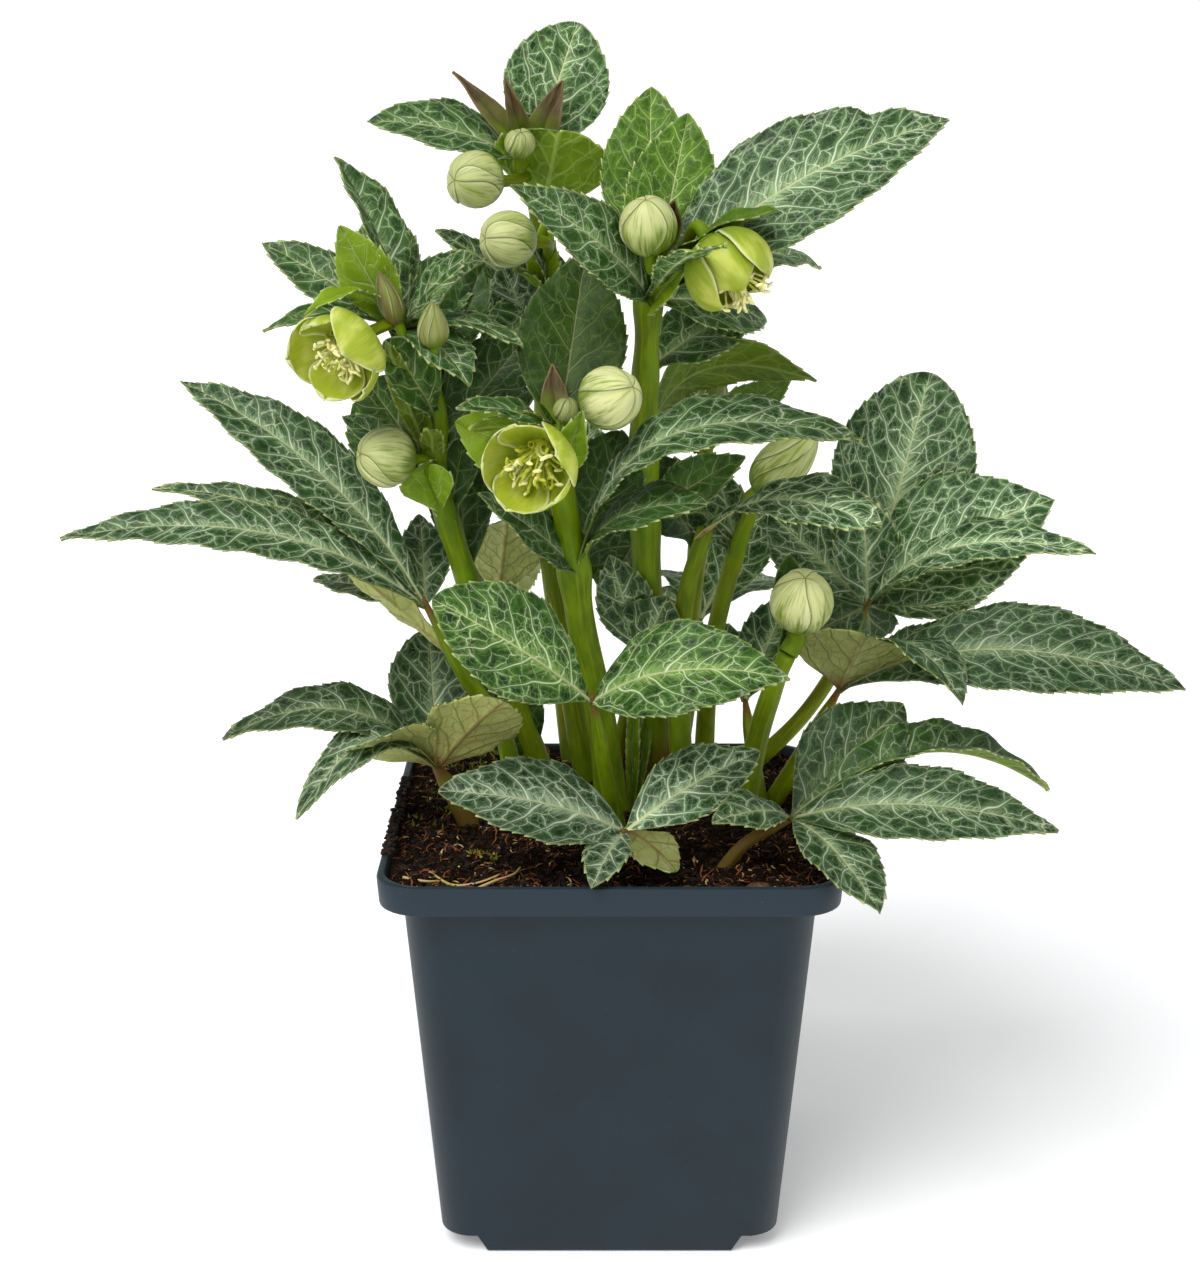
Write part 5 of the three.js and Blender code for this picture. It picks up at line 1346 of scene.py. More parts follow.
@dataclass(frozen=True)
class BudSkin:
    """Closed sepals: cream green with fine streaks that meet at the tip, greener at the foot with
    painted shade, paler towards the tip with a painted highlight, and painted shade in the
    seams and under the sepals' lips.
    """

    cream: Colour = tint(154, 170, 66)
    pale: Colour = tint(212, 214, 150)
    green: Colour = tint(80, 108, 6)
    seam: Colour = tint(72, 88, 8)
    rim: Colour = tint(226, 228, 176)
    brown: Colour = tint(104, 84, 40)
    streak_size: float = 0.0008
    blot_size: float = 0.006
    # Half the width of the painted shade along each seam.
    seam_shade_half: float = 0.0003
    groove_half: float = 0.0005
    relief: float = 0.00015
    glow_radius: Point = (0.002, 0.002, 0.001)

    def material(self) -> Material:
        """Builds the finish.

        Returns:
            The material.
        """
        g = Graph("bud_skin")
        run = g.mark("bud")
        rise, to_seam, green = g.split(g.mark("seam"))
        brown, within, _ = g.split(g.mark("bud_look"))
        streak = g.noise(g.scaled(run, (1.0, 1.0, 0.10)), self.streak_size, 3.0, 0.6)
        blots = g.noise(g.scaled(run, (1.0, 1.0, 0.5)), self.blot_size, 2.0)
        # Paler towards the tip: partly the sepals' own blots and streaks, partly a painted highlight.
        pale = g.step(g.add(g.add(blots, g.mul(streak, 0.3)), g.mul(rise, 0.35)), 0.55, 0.95)
        colour = g.mix(pale, self.cream, self.pale)
        # Greener and darker towards the foot: partly the sepals' own colour, partly painted shade.
        low = g.step(g.add(rise, g.mul(g.sub(g.add(streak, blots), 1.0), 0.6)), 0.7, 0.02)
        colour = g.mix(g.most(g.mul(low, 0.85), green), colour, self.green)
        colour = g.mix(g.mul(g.step(streak, 0.52, 0.32), 0.5), colour, self.green)
        scale = g.mul(brown, g.step(g.add(blots, g.mul(streak, 0.4)), 0.45, 0.75))
        colour = g.mix(g.most(scale, g.mul(brown, g.step(rise, 0.6, 1.0))), colour, self.brown)
        # Painted shade: darker green where a sepal runs under its neighbour's lip.
        under = g.mul(g.step(within, 0.2, 0.0), g.step(rise, 0.1, 0.4))
        colour = g.mix(g.mul(under, 0.4), colour, self.green)
        lip = g.mul(g.step(within, 0.86, 0.98), g.step(rise, 0.1, 0.4))
        colour = g.mix(g.mul(lip, 0.45), colour, self.rim)
        # Painted shade: a dark line in the crease of each seam.
        colour = g.mix(g.mul(g.step(to_seam, self.seam_shade_half, 0.00004), 0.75), colour, self.seam)
        g.bump(g.sub(streak, g.step(to_seam, self.groove_half, 0.0)), self.relief, 0.7)
        g.feed(g.shader.inputs["Subsurface Radius"], self.glow_radius)
        return g.finish(colour, 0.42, 0.3, subsurface_weight=0.12, subsurface_scale=1.0)


@dataclass(frozen=True)
class SepalSkin:
    """Open sepals: lime green cups with fine veins and a thin pale edge."""

    name: str = "sepal_skin"
    lime: Colour = tint(152, 168, 38)
    pale: Colour = tint(190, 198, 88)
    deep: Colour = tint(114, 138, 14)
    rim: Colour = tint(228, 230, 180)
    fan: float = 22.0
    rim_width: float = 0.0013
    relief: float = 0.0002
    glow_radius: Point = (0.002, 0.002, 0.001)

    def material(self) -> Material:
        """Builds the finish.

        Returns:
            The material.
        """
        g = Graph(self.name)
        share, rise, number = g.split(g.mark("petal"))
        to_edge, *_ = g.split(g.mark("petal_span"))
        fan = g.vector(g.mul(share, self.fan), g.mul(rise, 1.2), number)
        streak = g.noise(fan, 0.5, 3.0, 0.6)
        blots = g.noise(g.vector(g.mul(share, 2.0), g.mul(rise, 2.0), number), 0.9, 2.0)
        colour = g.mix(g.step(g.add(rise, g.mul(g.sub(blots, 0.5), 0.8)), 0.05, 0.7),
                       self.deep, self.lime)
        colour = g.mix(g.mul(g.step(blots, 0.42, 0.66), g.step(rise, 0.15, 0.7)), colour, self.pale)
        colour = g.mix(g.mul(g.step(streak, 0.5, 0.7), 0.45), colour, self.pale)
        colour = g.mix(g.mul(g.step(streak, 0.46, 0.3), 0.4), colour, self.deep)
        colour = g.mix(g.mul(g.step(to_edge, self.rim_width, 0.0001), 0.6), colour, self.rim)
        g.bump(streak, self.relief, 0.7)
        g.feed(g.shader.inputs["Subsurface Radius"], self.glow_radius)
        return g.finish(colour, 0.45, 0.3, subsurface_weight=0.12, subsurface_scale=1.0)


@dataclass(frozen=True)
class Speckled:
    """Plain skin with blots of two colours, for small parts."""

    name: str
    one: Colour
    other: Colour
    size: float = 0.001
    roughness: float = 0.6
    depth: float = 0.0001
    subsurface: float = 0.0

    def material(self) -> Material:
        """Builds the finish.

        Returns:
            The material.
        """
        g = Graph(self.name)
        blots = g.noise(g.place(), self.size, 3.0, 0.6)
        wide = g.noise(g.place(), self.size * 9, 2.0)
        share = g.step(g.add(g.mul(blots, 0.6), g.mul(wide, 0.4)), 0.38, 0.62)
        g.bump(blots, self.depth, 0.8)
        return g.finish(g.mix(share, self.one, self.other), self.roughness, 0.35,
                        subsurface_weight=self.subsurface)


@dataclass(frozen=True)
class PotPlastic:
    """Moulded slate blue plastic, satin, with fine scuffs and dust, and a painted highlight that makes the
    rim band paler.
    """

    slate: Colour = tint(14, 31, 40)
    light: Colour = tint(17, 36, 45)
    # Painted highlight: the rim band's colour, paler as if lit from above.
    band: Colour = tint(27, 42, 52)
    highlight_band_foot: float = 0.1305
    dust: Colour = tint(84, 94, 98)
    cloud_size: float = 0.03
    grain_size: float = 0.0004
    speck_size: float = 0.0011
    scuff_size: float = 0.0012
    relief: float = 0.00005

    def material(self) -> Material:
        """Builds the finish.

        Returns:
            The material.
        """
        g = Graph("pot_plastic")
        at = g.place()
        cloud = g.noise(at, self.cloud_size, 3.0)
        grain = g.noise(at, self.grain_size, 2.0)
        speck = g.noise(at, self.speck_size, 2.0, 0.6)
        scuff = g.noise(g.scaled(at, (1.0, 1.0, 0.15)), self.scuff_size, 4.0, 0.7)
        colour = g.mix(g.step(cloud, 0.35, 0.65), self.slate, self.light)
        *_, z = g.split(at)
        # Painted highlight: above its foot the rim band is paler, as if lit from above.
        colour = g.mix(g.step(z, self.highlight_band_foot, self.highlight_band_foot + 0.001), colour, self.band)
        colour = g.mix(g.mul(g.step(speck, 0.73, 0.80), 0.6), colour, self.dust)
        colour = g.mix(g.mul(g.step(scuff, 0.70, 0.85), 0.35), colour, self.dust)
        g.bump(g.add(g.mul(grain, 0.6), g.mul(cloud, 1.5)), self.relief, 0.5)
        return g.finish(colour, g.add(0.40, g.mul(g.add(scuff, cloud), 0.08)), 0.3)


@dataclass(frozen=True)
class SoilSkin:
    """Damp peat: near black, with brown crumbs and light grains."""

    black: Colour = tint(7, 4, 2)
    brown: Colour = tint(38, 22, 12)
    grain: Colour = tint(138, 100, 60)
    crumb_size: float = 0.0017
    grain_size: float = 0.0006
    relief: float = 0.0012

    def material(self) -> Material:
        """Builds the finish.

        Returns:
            The material.
        """
        g = Graph("soil_skin")
        at = g.place()
        crumb = g.noise(at, self.crumb_size, 4.0, 0.7)
        fine = g.noise(at, self.grain_size, 3.0, 0.6)
        colour = g.mix(g.step(crumb, 0.42, 0.62), self.black, self.brown)
        colour = g.mix(g.mul(g.step(fine, 0.6, 0.7), 0.8), colour, self.grain)
        g.bump(g.add(crumb, g.mul(fine, 0.6)), self.relief)
        return g.finish(colour, 0.9, 0.1)


@dataclass(frozen=True)
class FloorPaint:
    """Plain pale floor with the faintest unevenness."""

    white: Colour = (0.95, 0.95, 0.95, 1.0)
    grey: Colour = (0.93, 0.93, 0.93, 1.0)
    glow: float = 0.2

    def material(self) -> Material:
        """Builds the finish.

        Returns:
            The material.
        """
        g = Graph("floor_paint")
        cloud = g.noise(g.place(), 0.6, 2.0)
        g.shader.inputs["Emission Color"].default_value = self.white
        g.shader.inputs["Emission Strength"].default_value = self.glow
        return g.finish(g.mix(cloud, self.white, self.grey), 0.9, 0.1)


class Finishes:
    """All the finishes of the plant and its pot, made once."""

    def __init__(self) -> None:
        """Makes every finish."""
        self.leaf = (LeafTop().material(), LeafUnder().material(), LeafRim().material())
        bract = BractSkin().material()
        self.bract = (bract, bract, bract)
        self.stem = StemSkin().material()
        self.bud = BudSkin().material()
        outside = SepalSkin("sepal_outside").material()
        inside = SepalSkin("sepal_inside", tint(168, 182, 44), deep=tint(122, 144, 10)).material()
        self.sepal = (inside, outside, inside)
        self.nectary = Speckled("nectary_skin", tint(150, 162, 20), tint(188, 190, 60)).material()
        self.cap = Speckled("cap", tint(186, 190, 24), tint(222, 220, 96), 0.0009).material()
        self.filament = Speckled(
            "filament", tint(206, 208, 96), tint(232, 230, 160), subsurface=0.1,
        ).material()
        self.anther = Speckled("anther", tint(250, 246, 190), tint(236, 226, 132), 0.0005).material()
        self.style = Speckled("style", tint(140, 158, 16), tint(182, 188, 50)).material()
        self.pot = PotPlastic().material()
        self.soil = SoilSkin().material()
        self.crumb = Speckled("peat_crumb", tint(9, 5, 3), tint(44, 26, 14), 0.0009, 0.9, 0.0006).material()
        self.fibre = Speckled("peat_fibre", tint(74, 32, 14), tint(158, 92, 46), 0.002, 0.8).material()
        self.straw = Speckled("pale_straw", tint(150, 108, 56), tint(226, 198, 132), 0.003, 0.7).material()
        self.moss = Speckled("moss", tint(70, 84, 6), tint(150, 146, 20), 0.002, 0.8).material()
        self.bark = Speckled("bark", tint(58, 34, 22), tint(122, 78, 52), 0.0025, 0.85, 0.0006).material()
        self.rootlet = Speckled("rootlet", tint(176, 176, 84), tint(206, 160, 120), 0.006, 0.5).material()
        self.floor = FloorPaint().material()


# --- Leaves ---


@dataclass(frozen=True)
class LeafMaker:
    """Models leaf blades: folded, quilted between the side veins, with toothed edges."""

    finishes: Finishes
    veins: Veins = Veins()
    thickness: float = 0.00045
    fullness: float = 0.95
    foot_half: float = 0.0012
    clasp_half: float = 0.0034
    clasp_reach: float = 0.256
    tip_half: float = 0.0003
    point: float = 0.12
    tooth_pitch: float = 0.0038
    tooth_depth: float = 0.0006
    tooth_lean: float = 0.0005
    tear: float = 0.0032
    tear_share: float = 0.075
    tooth_steps: tuple[float, ...] = (0.0, 0.45, 0.8, 0.93)
    tooth_rise: tuple[float, ...] = (-0.25, 0.2, 0.75, 1.0)
    quilt: float = 0.00032
    groove: float = 0.0005
    wave: float = 0.0007
    wave_length: float = 0.017
    droop: float = 0.55
    columns: tuple[float, ...] = (0, 0.035, 0.09, 0.2, 0.34, 0.5, 0.66, 0.8, 0.91, 1.0)
    crest: float = 0.45
    stretch: float = 2.4
    least_teeth: int = 5
    tooth_uneven: tuple[float, float] = (0.5, 1.25)
    toothed: tuple[float, float] = (0.10, 0.3)
    basal_toothed: tuple[float, float] = (0.16, 0.34)
    toothless_tip: float = 0.05
    full_width: float = 0.018
    bract_teeth: float = 0.12
    wave_uneven: tuple[float, float] = (0.85, 1.15)
    tilt: float = 0.07
    taper_from: float = 0.72
    groove_half: float = 0.0009
    margin: float = 0.99
    cup: float = 0.6
    belly_band: float = 0.15
    most_foot: float = 0.4
    hem: float = 0.0001
    camber: tuple[float, float] = (1.5, 0.45)
    side_shift: float = 2.1
    quilt_roundness: float = 0.6
    quilt_from: tuple[float, float] = (0.05, 0.25)
    wave_from: tuple[float, float] = (0.1, 0.3)
    groove_from: float = 0.1
    tilt_from: float = 0.6

    def blade(self, name: str, hub: Point, row: Blade, cover: Cover, number: int) -> Piece:
        """Models one blade.

        Args:
            name: name of the piece.
            hub: where the blade grows from.
            row: its tip, width and bearing.
            cover: what kind of blade it is.
            number: its number, which seeds its own unevenness.

        Returns:
            The blade with its finishes.
        """
        chance = np.random.default_rng(number)
        start, end = np.array(hub), np.array(row.tip)
        chord = end - start
        reach = float(np.linalg.norm(chord))
        along = chord / reach
        face = np.array(row.face, float)
        up = unit(face - along * (face @ along))
        bend = start + self.crest * chord + up * (2 * row.arch * reach)
        teeth = max(self.least_teeth, round(reach * (1 + self.stretch * row.arch**2) / self.tooth_pitch))
        steps = [(k + share) / teeth for k in range(teeth) for share in self.tooth_steps] + [1.0]
        stations = np.array(steps)
        rise = np.array([each for _ in range(teeth) for each in self.tooth_rise] + [0.0])
        rise *= np.repeat(chance.uniform(*self.tooth_uneven, teeth + 1), len(self.tooth_steps))[: len(rise)]
        if cover is Cover.BRACT:
            rise *= self.bract_teeth
        half_columns = np.array(self.columns)
        across = np.concatenate([-half_columns[:0:-1], half_columns])
        phase, tilt = chance.uniform(0, 2 * math.pi), chance.uniform(-self.tilt, self.tilt)
        sides = chance.uniform(*self.wave_uneven, 2)

        def form(i: Array, j: Array) -> Form:
            """Form of the blade's middle sheet.

            Args:
                i: station of each point.
                j: column of each point.

            Returns:
                Its form.
            """
            t, v = stations[i], across[j]
            go, stay = t[:, None], 1 - t[:, None]
            middle = stay**2 * start + 2 * go * stay * bend + go**2 * end
            tangent = unit(stay * (bend - start) + go * (end - bend))
            side = unit(np.cross(up, tangent))
            normal = np.cross(tangent, side)
            power = math.log(0.5) / math.log(row.belly)
            beyond = ease(t, row.belly - self.belly_band, row.belly + self.belly_band)
            fullness = self.fullness + (row.full - self.fullness) * beyond
            swell = np.maximum(np.sin(math.pi * np.clip(t, 0, 1) ** power), 0) ** fullness
            taper = ease(t, self.taper_from, 1.0) * (1 - t) / (1 - self.taper_from)
            half = row.width / 2 * swell * (1 - self.point * taper)
            foot = self.clasp_half if cover is Cover.STEM else self.foot_half
            foot = min(foot, row.width * self.most_foot)
            least = foot + (self.tip_half - foot) * ease(t, 0.0, 1.0 if cover is Cover.BASAL else 0.5)
            half = np.maximum(half, least)
            toothed = self.basal_toothed if cover is Cover.BASAL else self.toothed
            tooth = rise[i] * (ease(t, *toothed) * ease(1 - t, 0.0, self.toothless_tip))
            depth = self.tooth_depth * min(1.0, row.width / self.full_width)
            outer = half + np.where(np.abs(v) > self.margin, depth * tooth, -self.hem * np.abs(v) ** 6)
            if row.notch:
                torn = np.where(t > row.notch, 1 - (t - row.notch) / self.tear_share, 0).clip(0)
                outer = outer - self.tear * torn * (v > 0)
            w = v * np.maximum(outer, self.tip_half)
            s = t * reach
            run = s - np.abs(w) * self.veins.lean - w * w * self.veins.bow
            turn = 2 * math.pi * (run / self.veins.pitch + 0.5 * (w > 0))
            fold = math.tan(math.radians(row.fold))
            lift = half * fold * (self.camber[0] * np.abs(v) - self.droop * v * v - self.camber[1])
            puff = np.sin(math.pi * np.abs(v)) ** self.quilt_roundness
            lift += self.quilt * -np.cos(turn) * puff * ease(t, *self.quilt_from)
            lift -= self.groove * np.exp(-((w / self.groove_half) ** 2)) * ease(t, 0, self.groove_from)
            waves = np.sin(2 * math.pi * s / self.wave_length + phase + self.side_shift * (w > 0))
            waves = np.abs(v) ** 3 * waves * sides[(w > 0).astype(int)]
            lift += self.wave * waves * ease(t, *self.wave_from)
            lift += tilt * w * ease(t, 0, self.tilt_from)
            if cover is Cover.STEM:
                lift += self.cup * half * v * v * (1 - ease(t, 0.0, self.clasp_reach))
            place = middle + side * w[:, None] + normal * lift[:, None]
            place += tangent * (self.tooth_lean * tooth * (np.abs(v) > self.margin))[:, None]
            return Form(place, {
                "blade": triples(w, s, number % PATTERNS),
                "span": triples(np.maximum(outer, self.tip_half), reach, tooth.clip(0)),
                # The third number of look is the blade's painted light and shade.
                "look": triples(np.full_like(t, row.tone), row.net, row.light),
            })

        piece = laid_grid(name, stations, across, form)
        dress(piece, *(self.finishes.bract if cover is Cover.BRACT else self.finishes.leaf))
        thicken(piece, self.thickness)
        smooth(piece)
        return piece


# --- Stems and stalks ---


@dataclass(frozen=True)
class RodMaker:
    """Models stems and stalks: ribbed rods, wider at the foot, with swollen joints."""

    finishes: Finishes
    step: float = 0.0028
    sides: int = 18
    ribs: int = 7
    rib_share: float = 0.03
    flare: float = 0.22
    flare_reach: float = 0.03
    joint_share: float = 0.13
    joint_reach: float = 0.007
    thin_step: float = 0.0012
    thin_sides: int = 10
    twist: float = 14.0
    neck: float = 0.72
    shift: float = 0.37
    lobe_turn: float = 2.4
    foot_fade: tuple[float, float] = (0.3, 1.7)
    end_fade: tuple[float, float] = (0.2, 1.8)

    def rod(
        self, name: str, path: Sequence[Point], radius: float, number: int, foot_blush: float = 0.0,
        end_blush: float = 0.0, joints: Sequence[Point] = (), taper: float = 0.12,
        end_share: float = 1.0, thin: bool = False,
    ) -> Piece:
        """Models one rod.

        Args:
            name: name of the piece.
            path: points of its middle line.
            radius: its radius.
            number: seeds its unevenness.
            foot_blush: how far up from the foot the red flush reaches.
            end_blush: how far back from the end the red flush reaches.
            joints: places where leaves grow and the rod is swollen.
            taper: share that it thins by along its length.
            end_share: how wide it is at its end, where it meets its bud.
            thin: whether it is a short stalk, with fewer sides and no flare.

        Returns:
            The rod with its finish.
        """
        route = Route.through(path, self.thin_step if thin else self.step)
        count = len(route.distance)
        chance = np.random.default_rng(number)
        turn, twist = chance.uniform(0, 2 * math.pi), chance.uniform(-self.twist, self.twist)
        places = [route.nearest(joint) for joint in joints]

        def form(ring: Array, angle: Array) -> Form:
            """Form of the rod.

            Args:
                ring: ring of each point.
                angle: angle of each point.

            Returns:
                Its form.
            """
            index = np.clip(ring - 1, 0, count - 1)
            middle, east, north, s = route.frame_at(index)
            share = s / route.length
            wide = radius * (1 + taper / 2 - taper * share)
            if not thin:
                wide = wide * (1 + self.flare * np.exp(-((s / self.flare_reach) ** 2)))
            for joint in places:
                gap = np.linalg.norm(middle - joint, axis=1)
                wide = wide * (1 + self.joint_share * np.exp(-((gap / self.joint_reach) ** 2)))
            wide = wide * (1 + (end_share - 1) * ease(share, self.neck, 1.0))
            ripple = np.cos(self.ribs * angle + turn + twist * s)
            ripple = ripple + 0.5 * np.cos(3 * angle + self.lobe_turn * turn)
            wide = wide * (1 + self.rib_share * ripple)
            wide = np.where((ring == 0) | (ring == count + 1), 0, wide)
            round_part = east * np.cos(angle)[:, None] + north * np.sin(angle)[:, None]
            blush = np.zeros_like(s)
            if foot_blush:
                near, far = (foot_blush * each for each in self.foot_fade)
                blush = np.maximum(blush, 1 - ease(s, near, far))
            if end_blush:
                near, far = (end_blush * each for each in self.end_fade)
                blush = np.maximum(blush, 1 - ease(route.length - s, near, far))
            return Form(middle + round_part * wide[:, None], {
                "rod": triples(radius * np.cos(angle), radius * np.sin(angle), s + self.shift * number),
                "flush": triples(blush, 0, 0),
            })

        piece = laid_ball(name, count + 1, self.thin_sides if thin else self.sides, form)
        dress(piece, self.finishes.stem)
        smooth(piece)
        return piece


@dataclass(frozen=True)
class HeadSeat:
    """Where a bud or flower sits: the foot of its base and the way that it points."""

    base: Array
    axis: Array

    @classmethod
    def of(cls, row: BudRow | FlowerRow) -> "HeadSeat":
        """Seat of a bud or flower.

        Args:
            row: the bud or flower.

        Returns:
            Its seat.
        """
        axis = unit(np.array(row.axis, float))
        if isinstance(row, FlowerRow):
            return cls(np.array(row.mouth) - axis * row.depth, axis)
        return cls(np.array(row.middle) - axis * row.length / 2, axis)

    def matrix(self) -> Matrix:
        """Turns +Z onto the axis and moves the origin onto the base."""
        turn = UP.rotation_difference(Vector(self.axis)).to_matrix().to_4x4()
        return Matrix.Translation(Vector(self.base)) @ turn

    def seat(self, points: Array) -> Array:
        """Points built round +Z, turned and moved into place."""
        matrix = np.array(self.matrix())
        return points @ matrix[:3, :3].T + matrix[:3, 3]


@dataclass(frozen=True)
class Shoot:
    """A stem or a basal leaf: its rod, its leaves and the stalks of its heads."""

    name: str
    row: StemRow
    slot: Slot
    number: int
    lead: float = 0.005
    sunk: float = 0.0008
    basal_flush: float = 0.009
    basal_taper: float = 0.25
    basal_end: float = 0.4
    stem_taper: float = 0.12
    stalk_end: float = 1.25
    root_step: float = 0.002
    blade_seeds: tuple[int, int] = (100, 10)
    stalk_seeds: int = 50

    def build(self, leaves: LeafMaker, rods: RodMaker) -> None:
        """Models the whole shoot and hands it over.

        Args:
            leaves: models its blades.
            rods: models its rods.
        """
        basal = self.slot is Slot.BASAL
        hubs = [whorl.hub for whorl in self.row.whorls]
        rod_name = f"{self.name}_rod"
        path, radius, blush = self.row.path, self.row.radius, self.row.blush
        if basal:
            pieces = [rods.rod(
                rod_name, path, radius, self.number, blush, self.basal_flush,
                taper=self.basal_taper, end_share=self.basal_end,
            )]
        else:
            pieces = [rods.rod(
                rod_name, path, radius, self.number, blush, joints=hubs,
                taper=self.stem_taper, end_share=self.row.top,
            )]
        for count, whorl in enumerate(self.row.whorls):
            cover = Cover.BASAL if basal and whorl.cover is Cover.STEM else whorl.cover
            for k, blade in enumerate(whorl.blades):
                seed = self.blade_seeds[0] * self.number + self.blade_seeds[1] * count + k
                pieces.append(leaves.blade(f"{self.name}_blade", whorl.hub, blade, cover, seed))
        heads = [row for row in (*BUDS.values(), *FLOWERS.values()) if row.stem == self.name]
        for k, head in enumerate(heads):
            pieces.append(self.stalk(head, rods, self.stalk_seeds * self.number + k))
        hand_over(joined(f"{self.name}_plant", pieces), self.name)

    def stalk(self, head: BudRow | FlowerRow, rods: RodMaker, seed: int) -> Piece:
        """Stalk of a bud or flower, from the middle of the stem into its base.

        Args:
            head: the bud or flower.
            rods: models its rods.
            seed: seeds its unevenness.

        Returns:
            The stalk with its finish.
        """
        seat = HeadSeat.of(head)
        lead = seat.base - seat.axis * self.lead
        stem = Route.through(self.row.path, self.root_step)
        root = stem.nearest(head.via[0] if head.via else tuple(lead))
        end = seat.base + seat.axis * self.sunk
        path = [tuple(root), *head.via, tuple(lead), tuple(end)]
        return rods.rod(f"{self.name}_stalk", path, head.stalk, seed, end_share=self.stalk_end, thin=True)


# --- Buds and flowers ---


@dataclass(frozen=True)
class BudMaker:
    """Models closed buds: five overlapping sepals drawn together in a star at the tip."""

    finishes: Finishes
    rings: int = 34
    belly: float = 0.94
    overlap: float = 0.0004
    bow: float = 0.5
    count: int = 5
    dimple: float = 0.0009
    dimple_reach: float = 0.0022
    layers: tuple[float, ...] = (1.0, -0.6, 0.8, -0.8, 0.1)
    ease_in: float = 0.6
    blunt: tuple[float, float] = (0.5, 0.4)
    fall: float = 0.97
    body: tuple[float, float] = (0.955, 0.03)
    mark_share: float = 0.9
    bow_turn: float = 2.3
    swirl_from: float = 0.6
    cleft: tuple[float, float] = (0.004, 0.98)
    lap_from: tuple[float, float] = (0.08, 0.3)
    least_wide: float = 0.0008
    columns: tuple[float, ...] = (
        0, 0.02, 0.06, 0.13, 0.22, 0.32, 0.43, 0.54, 0.65, 0.75, 0.84, 0.91, 0.955, 0.98,
    )

    def build(self, name: str, row: BudRow, number: int) -> None:
        """Models one bud and hands it over.

        Args:
            name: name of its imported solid.
            row: its place and size.
            number: seeds its unevenness.
        """
        seat = HeadSeat.of(row)
        start = math.radians(row.turn)
        sector = 2 * math.pi / self.count
        sides = self.count * len(self.columns)
        blunt = self.blunt[0] + self.blunt[1] * row.pointed
        peak = 0.5 / (0.5 + blunt)
        most = peak**0.5 * (1 - peak) ** blunt

        def form(ring: Array, angle: Array) -> Form:
            """Form of the closed sepals.

            Args:
                ring: ring of each point.
                angle: angle of each point.

            Returns:
                Its form.
            """
            t = ring / self.rings
            t = t - self.ease_in * np.sin(2 * math.pi * t) / (2 * math.pi)
            q = np.clip(t, 0, 1) ** self.belly
            body = q**0.5 * (1 - q) ** blunt / most
            column = np.mod(angle, 2 * math.pi) / (2 * math.pi) * sides
            column = np.rint(column).astype(int) % sides
            which, place = np.divmod(column, len(self.columns))
            within = np.array(self.columns)[place]
            layer = np.array(self.layers)
            here, after = layer[which], layer[(which + 1) % self.count]
            step = here + (after - here) * (within > self.fall)
            turned = (which + within) * sector + start
            bows = self.bow_turn * np.arange(self.count + 1) % (self.bow_turn * self.count)
            bows = np.cos(bows + number)
            bow = bows[which] + (bows[which + 1] - bows[which]) * within
            turned = turned + row.swirl * (t - self.swirl_from) + self.bow * np.sin(math.pi * t) * bow
            bulge = np.sin(math.pi * np.clip(within, *self.cleft)) ** 0.5
            lap = self.overlap * step * ease(t, *self.lap_from) * ease(body, 0.0, 0.5)
            wide = row.radius * body + lap
            wide = wide * (self.body[0] + self.body[1] * bulge * ease(body, 0, 0.6))
            wide = np.where((ring == 0) | (ring == self.rings), 0, wide)
            sunk = self.dimple * (1 - row.pointed) * (t > 0.5)
            rise = row.length * t - sunk * np.exp(-((wide / self.dimple_reach) ** 2))
            points = triples(wide * np.cos(turned), wide * np.sin(turned), rise)
            gap = np.minimum(within, 1 - within) * sector * np.maximum(wide, self.least_wide)
            around = row.radius * self.mark_share
            return Form(seat.seat(points), {
                "bud": triples(around * np.cos(turned), around * np.sin(turned), rise + number),
                "seam": triples(t, gap, row.green),
                "bud_look": triples(row.brown, within, 0),
            })

        piece = laid_ball(f"{name}_sepals", self.rings, sides, form)
        dress(piece, self.finishes.bud)
        smooth(piece)
        hand_over(piece, name)


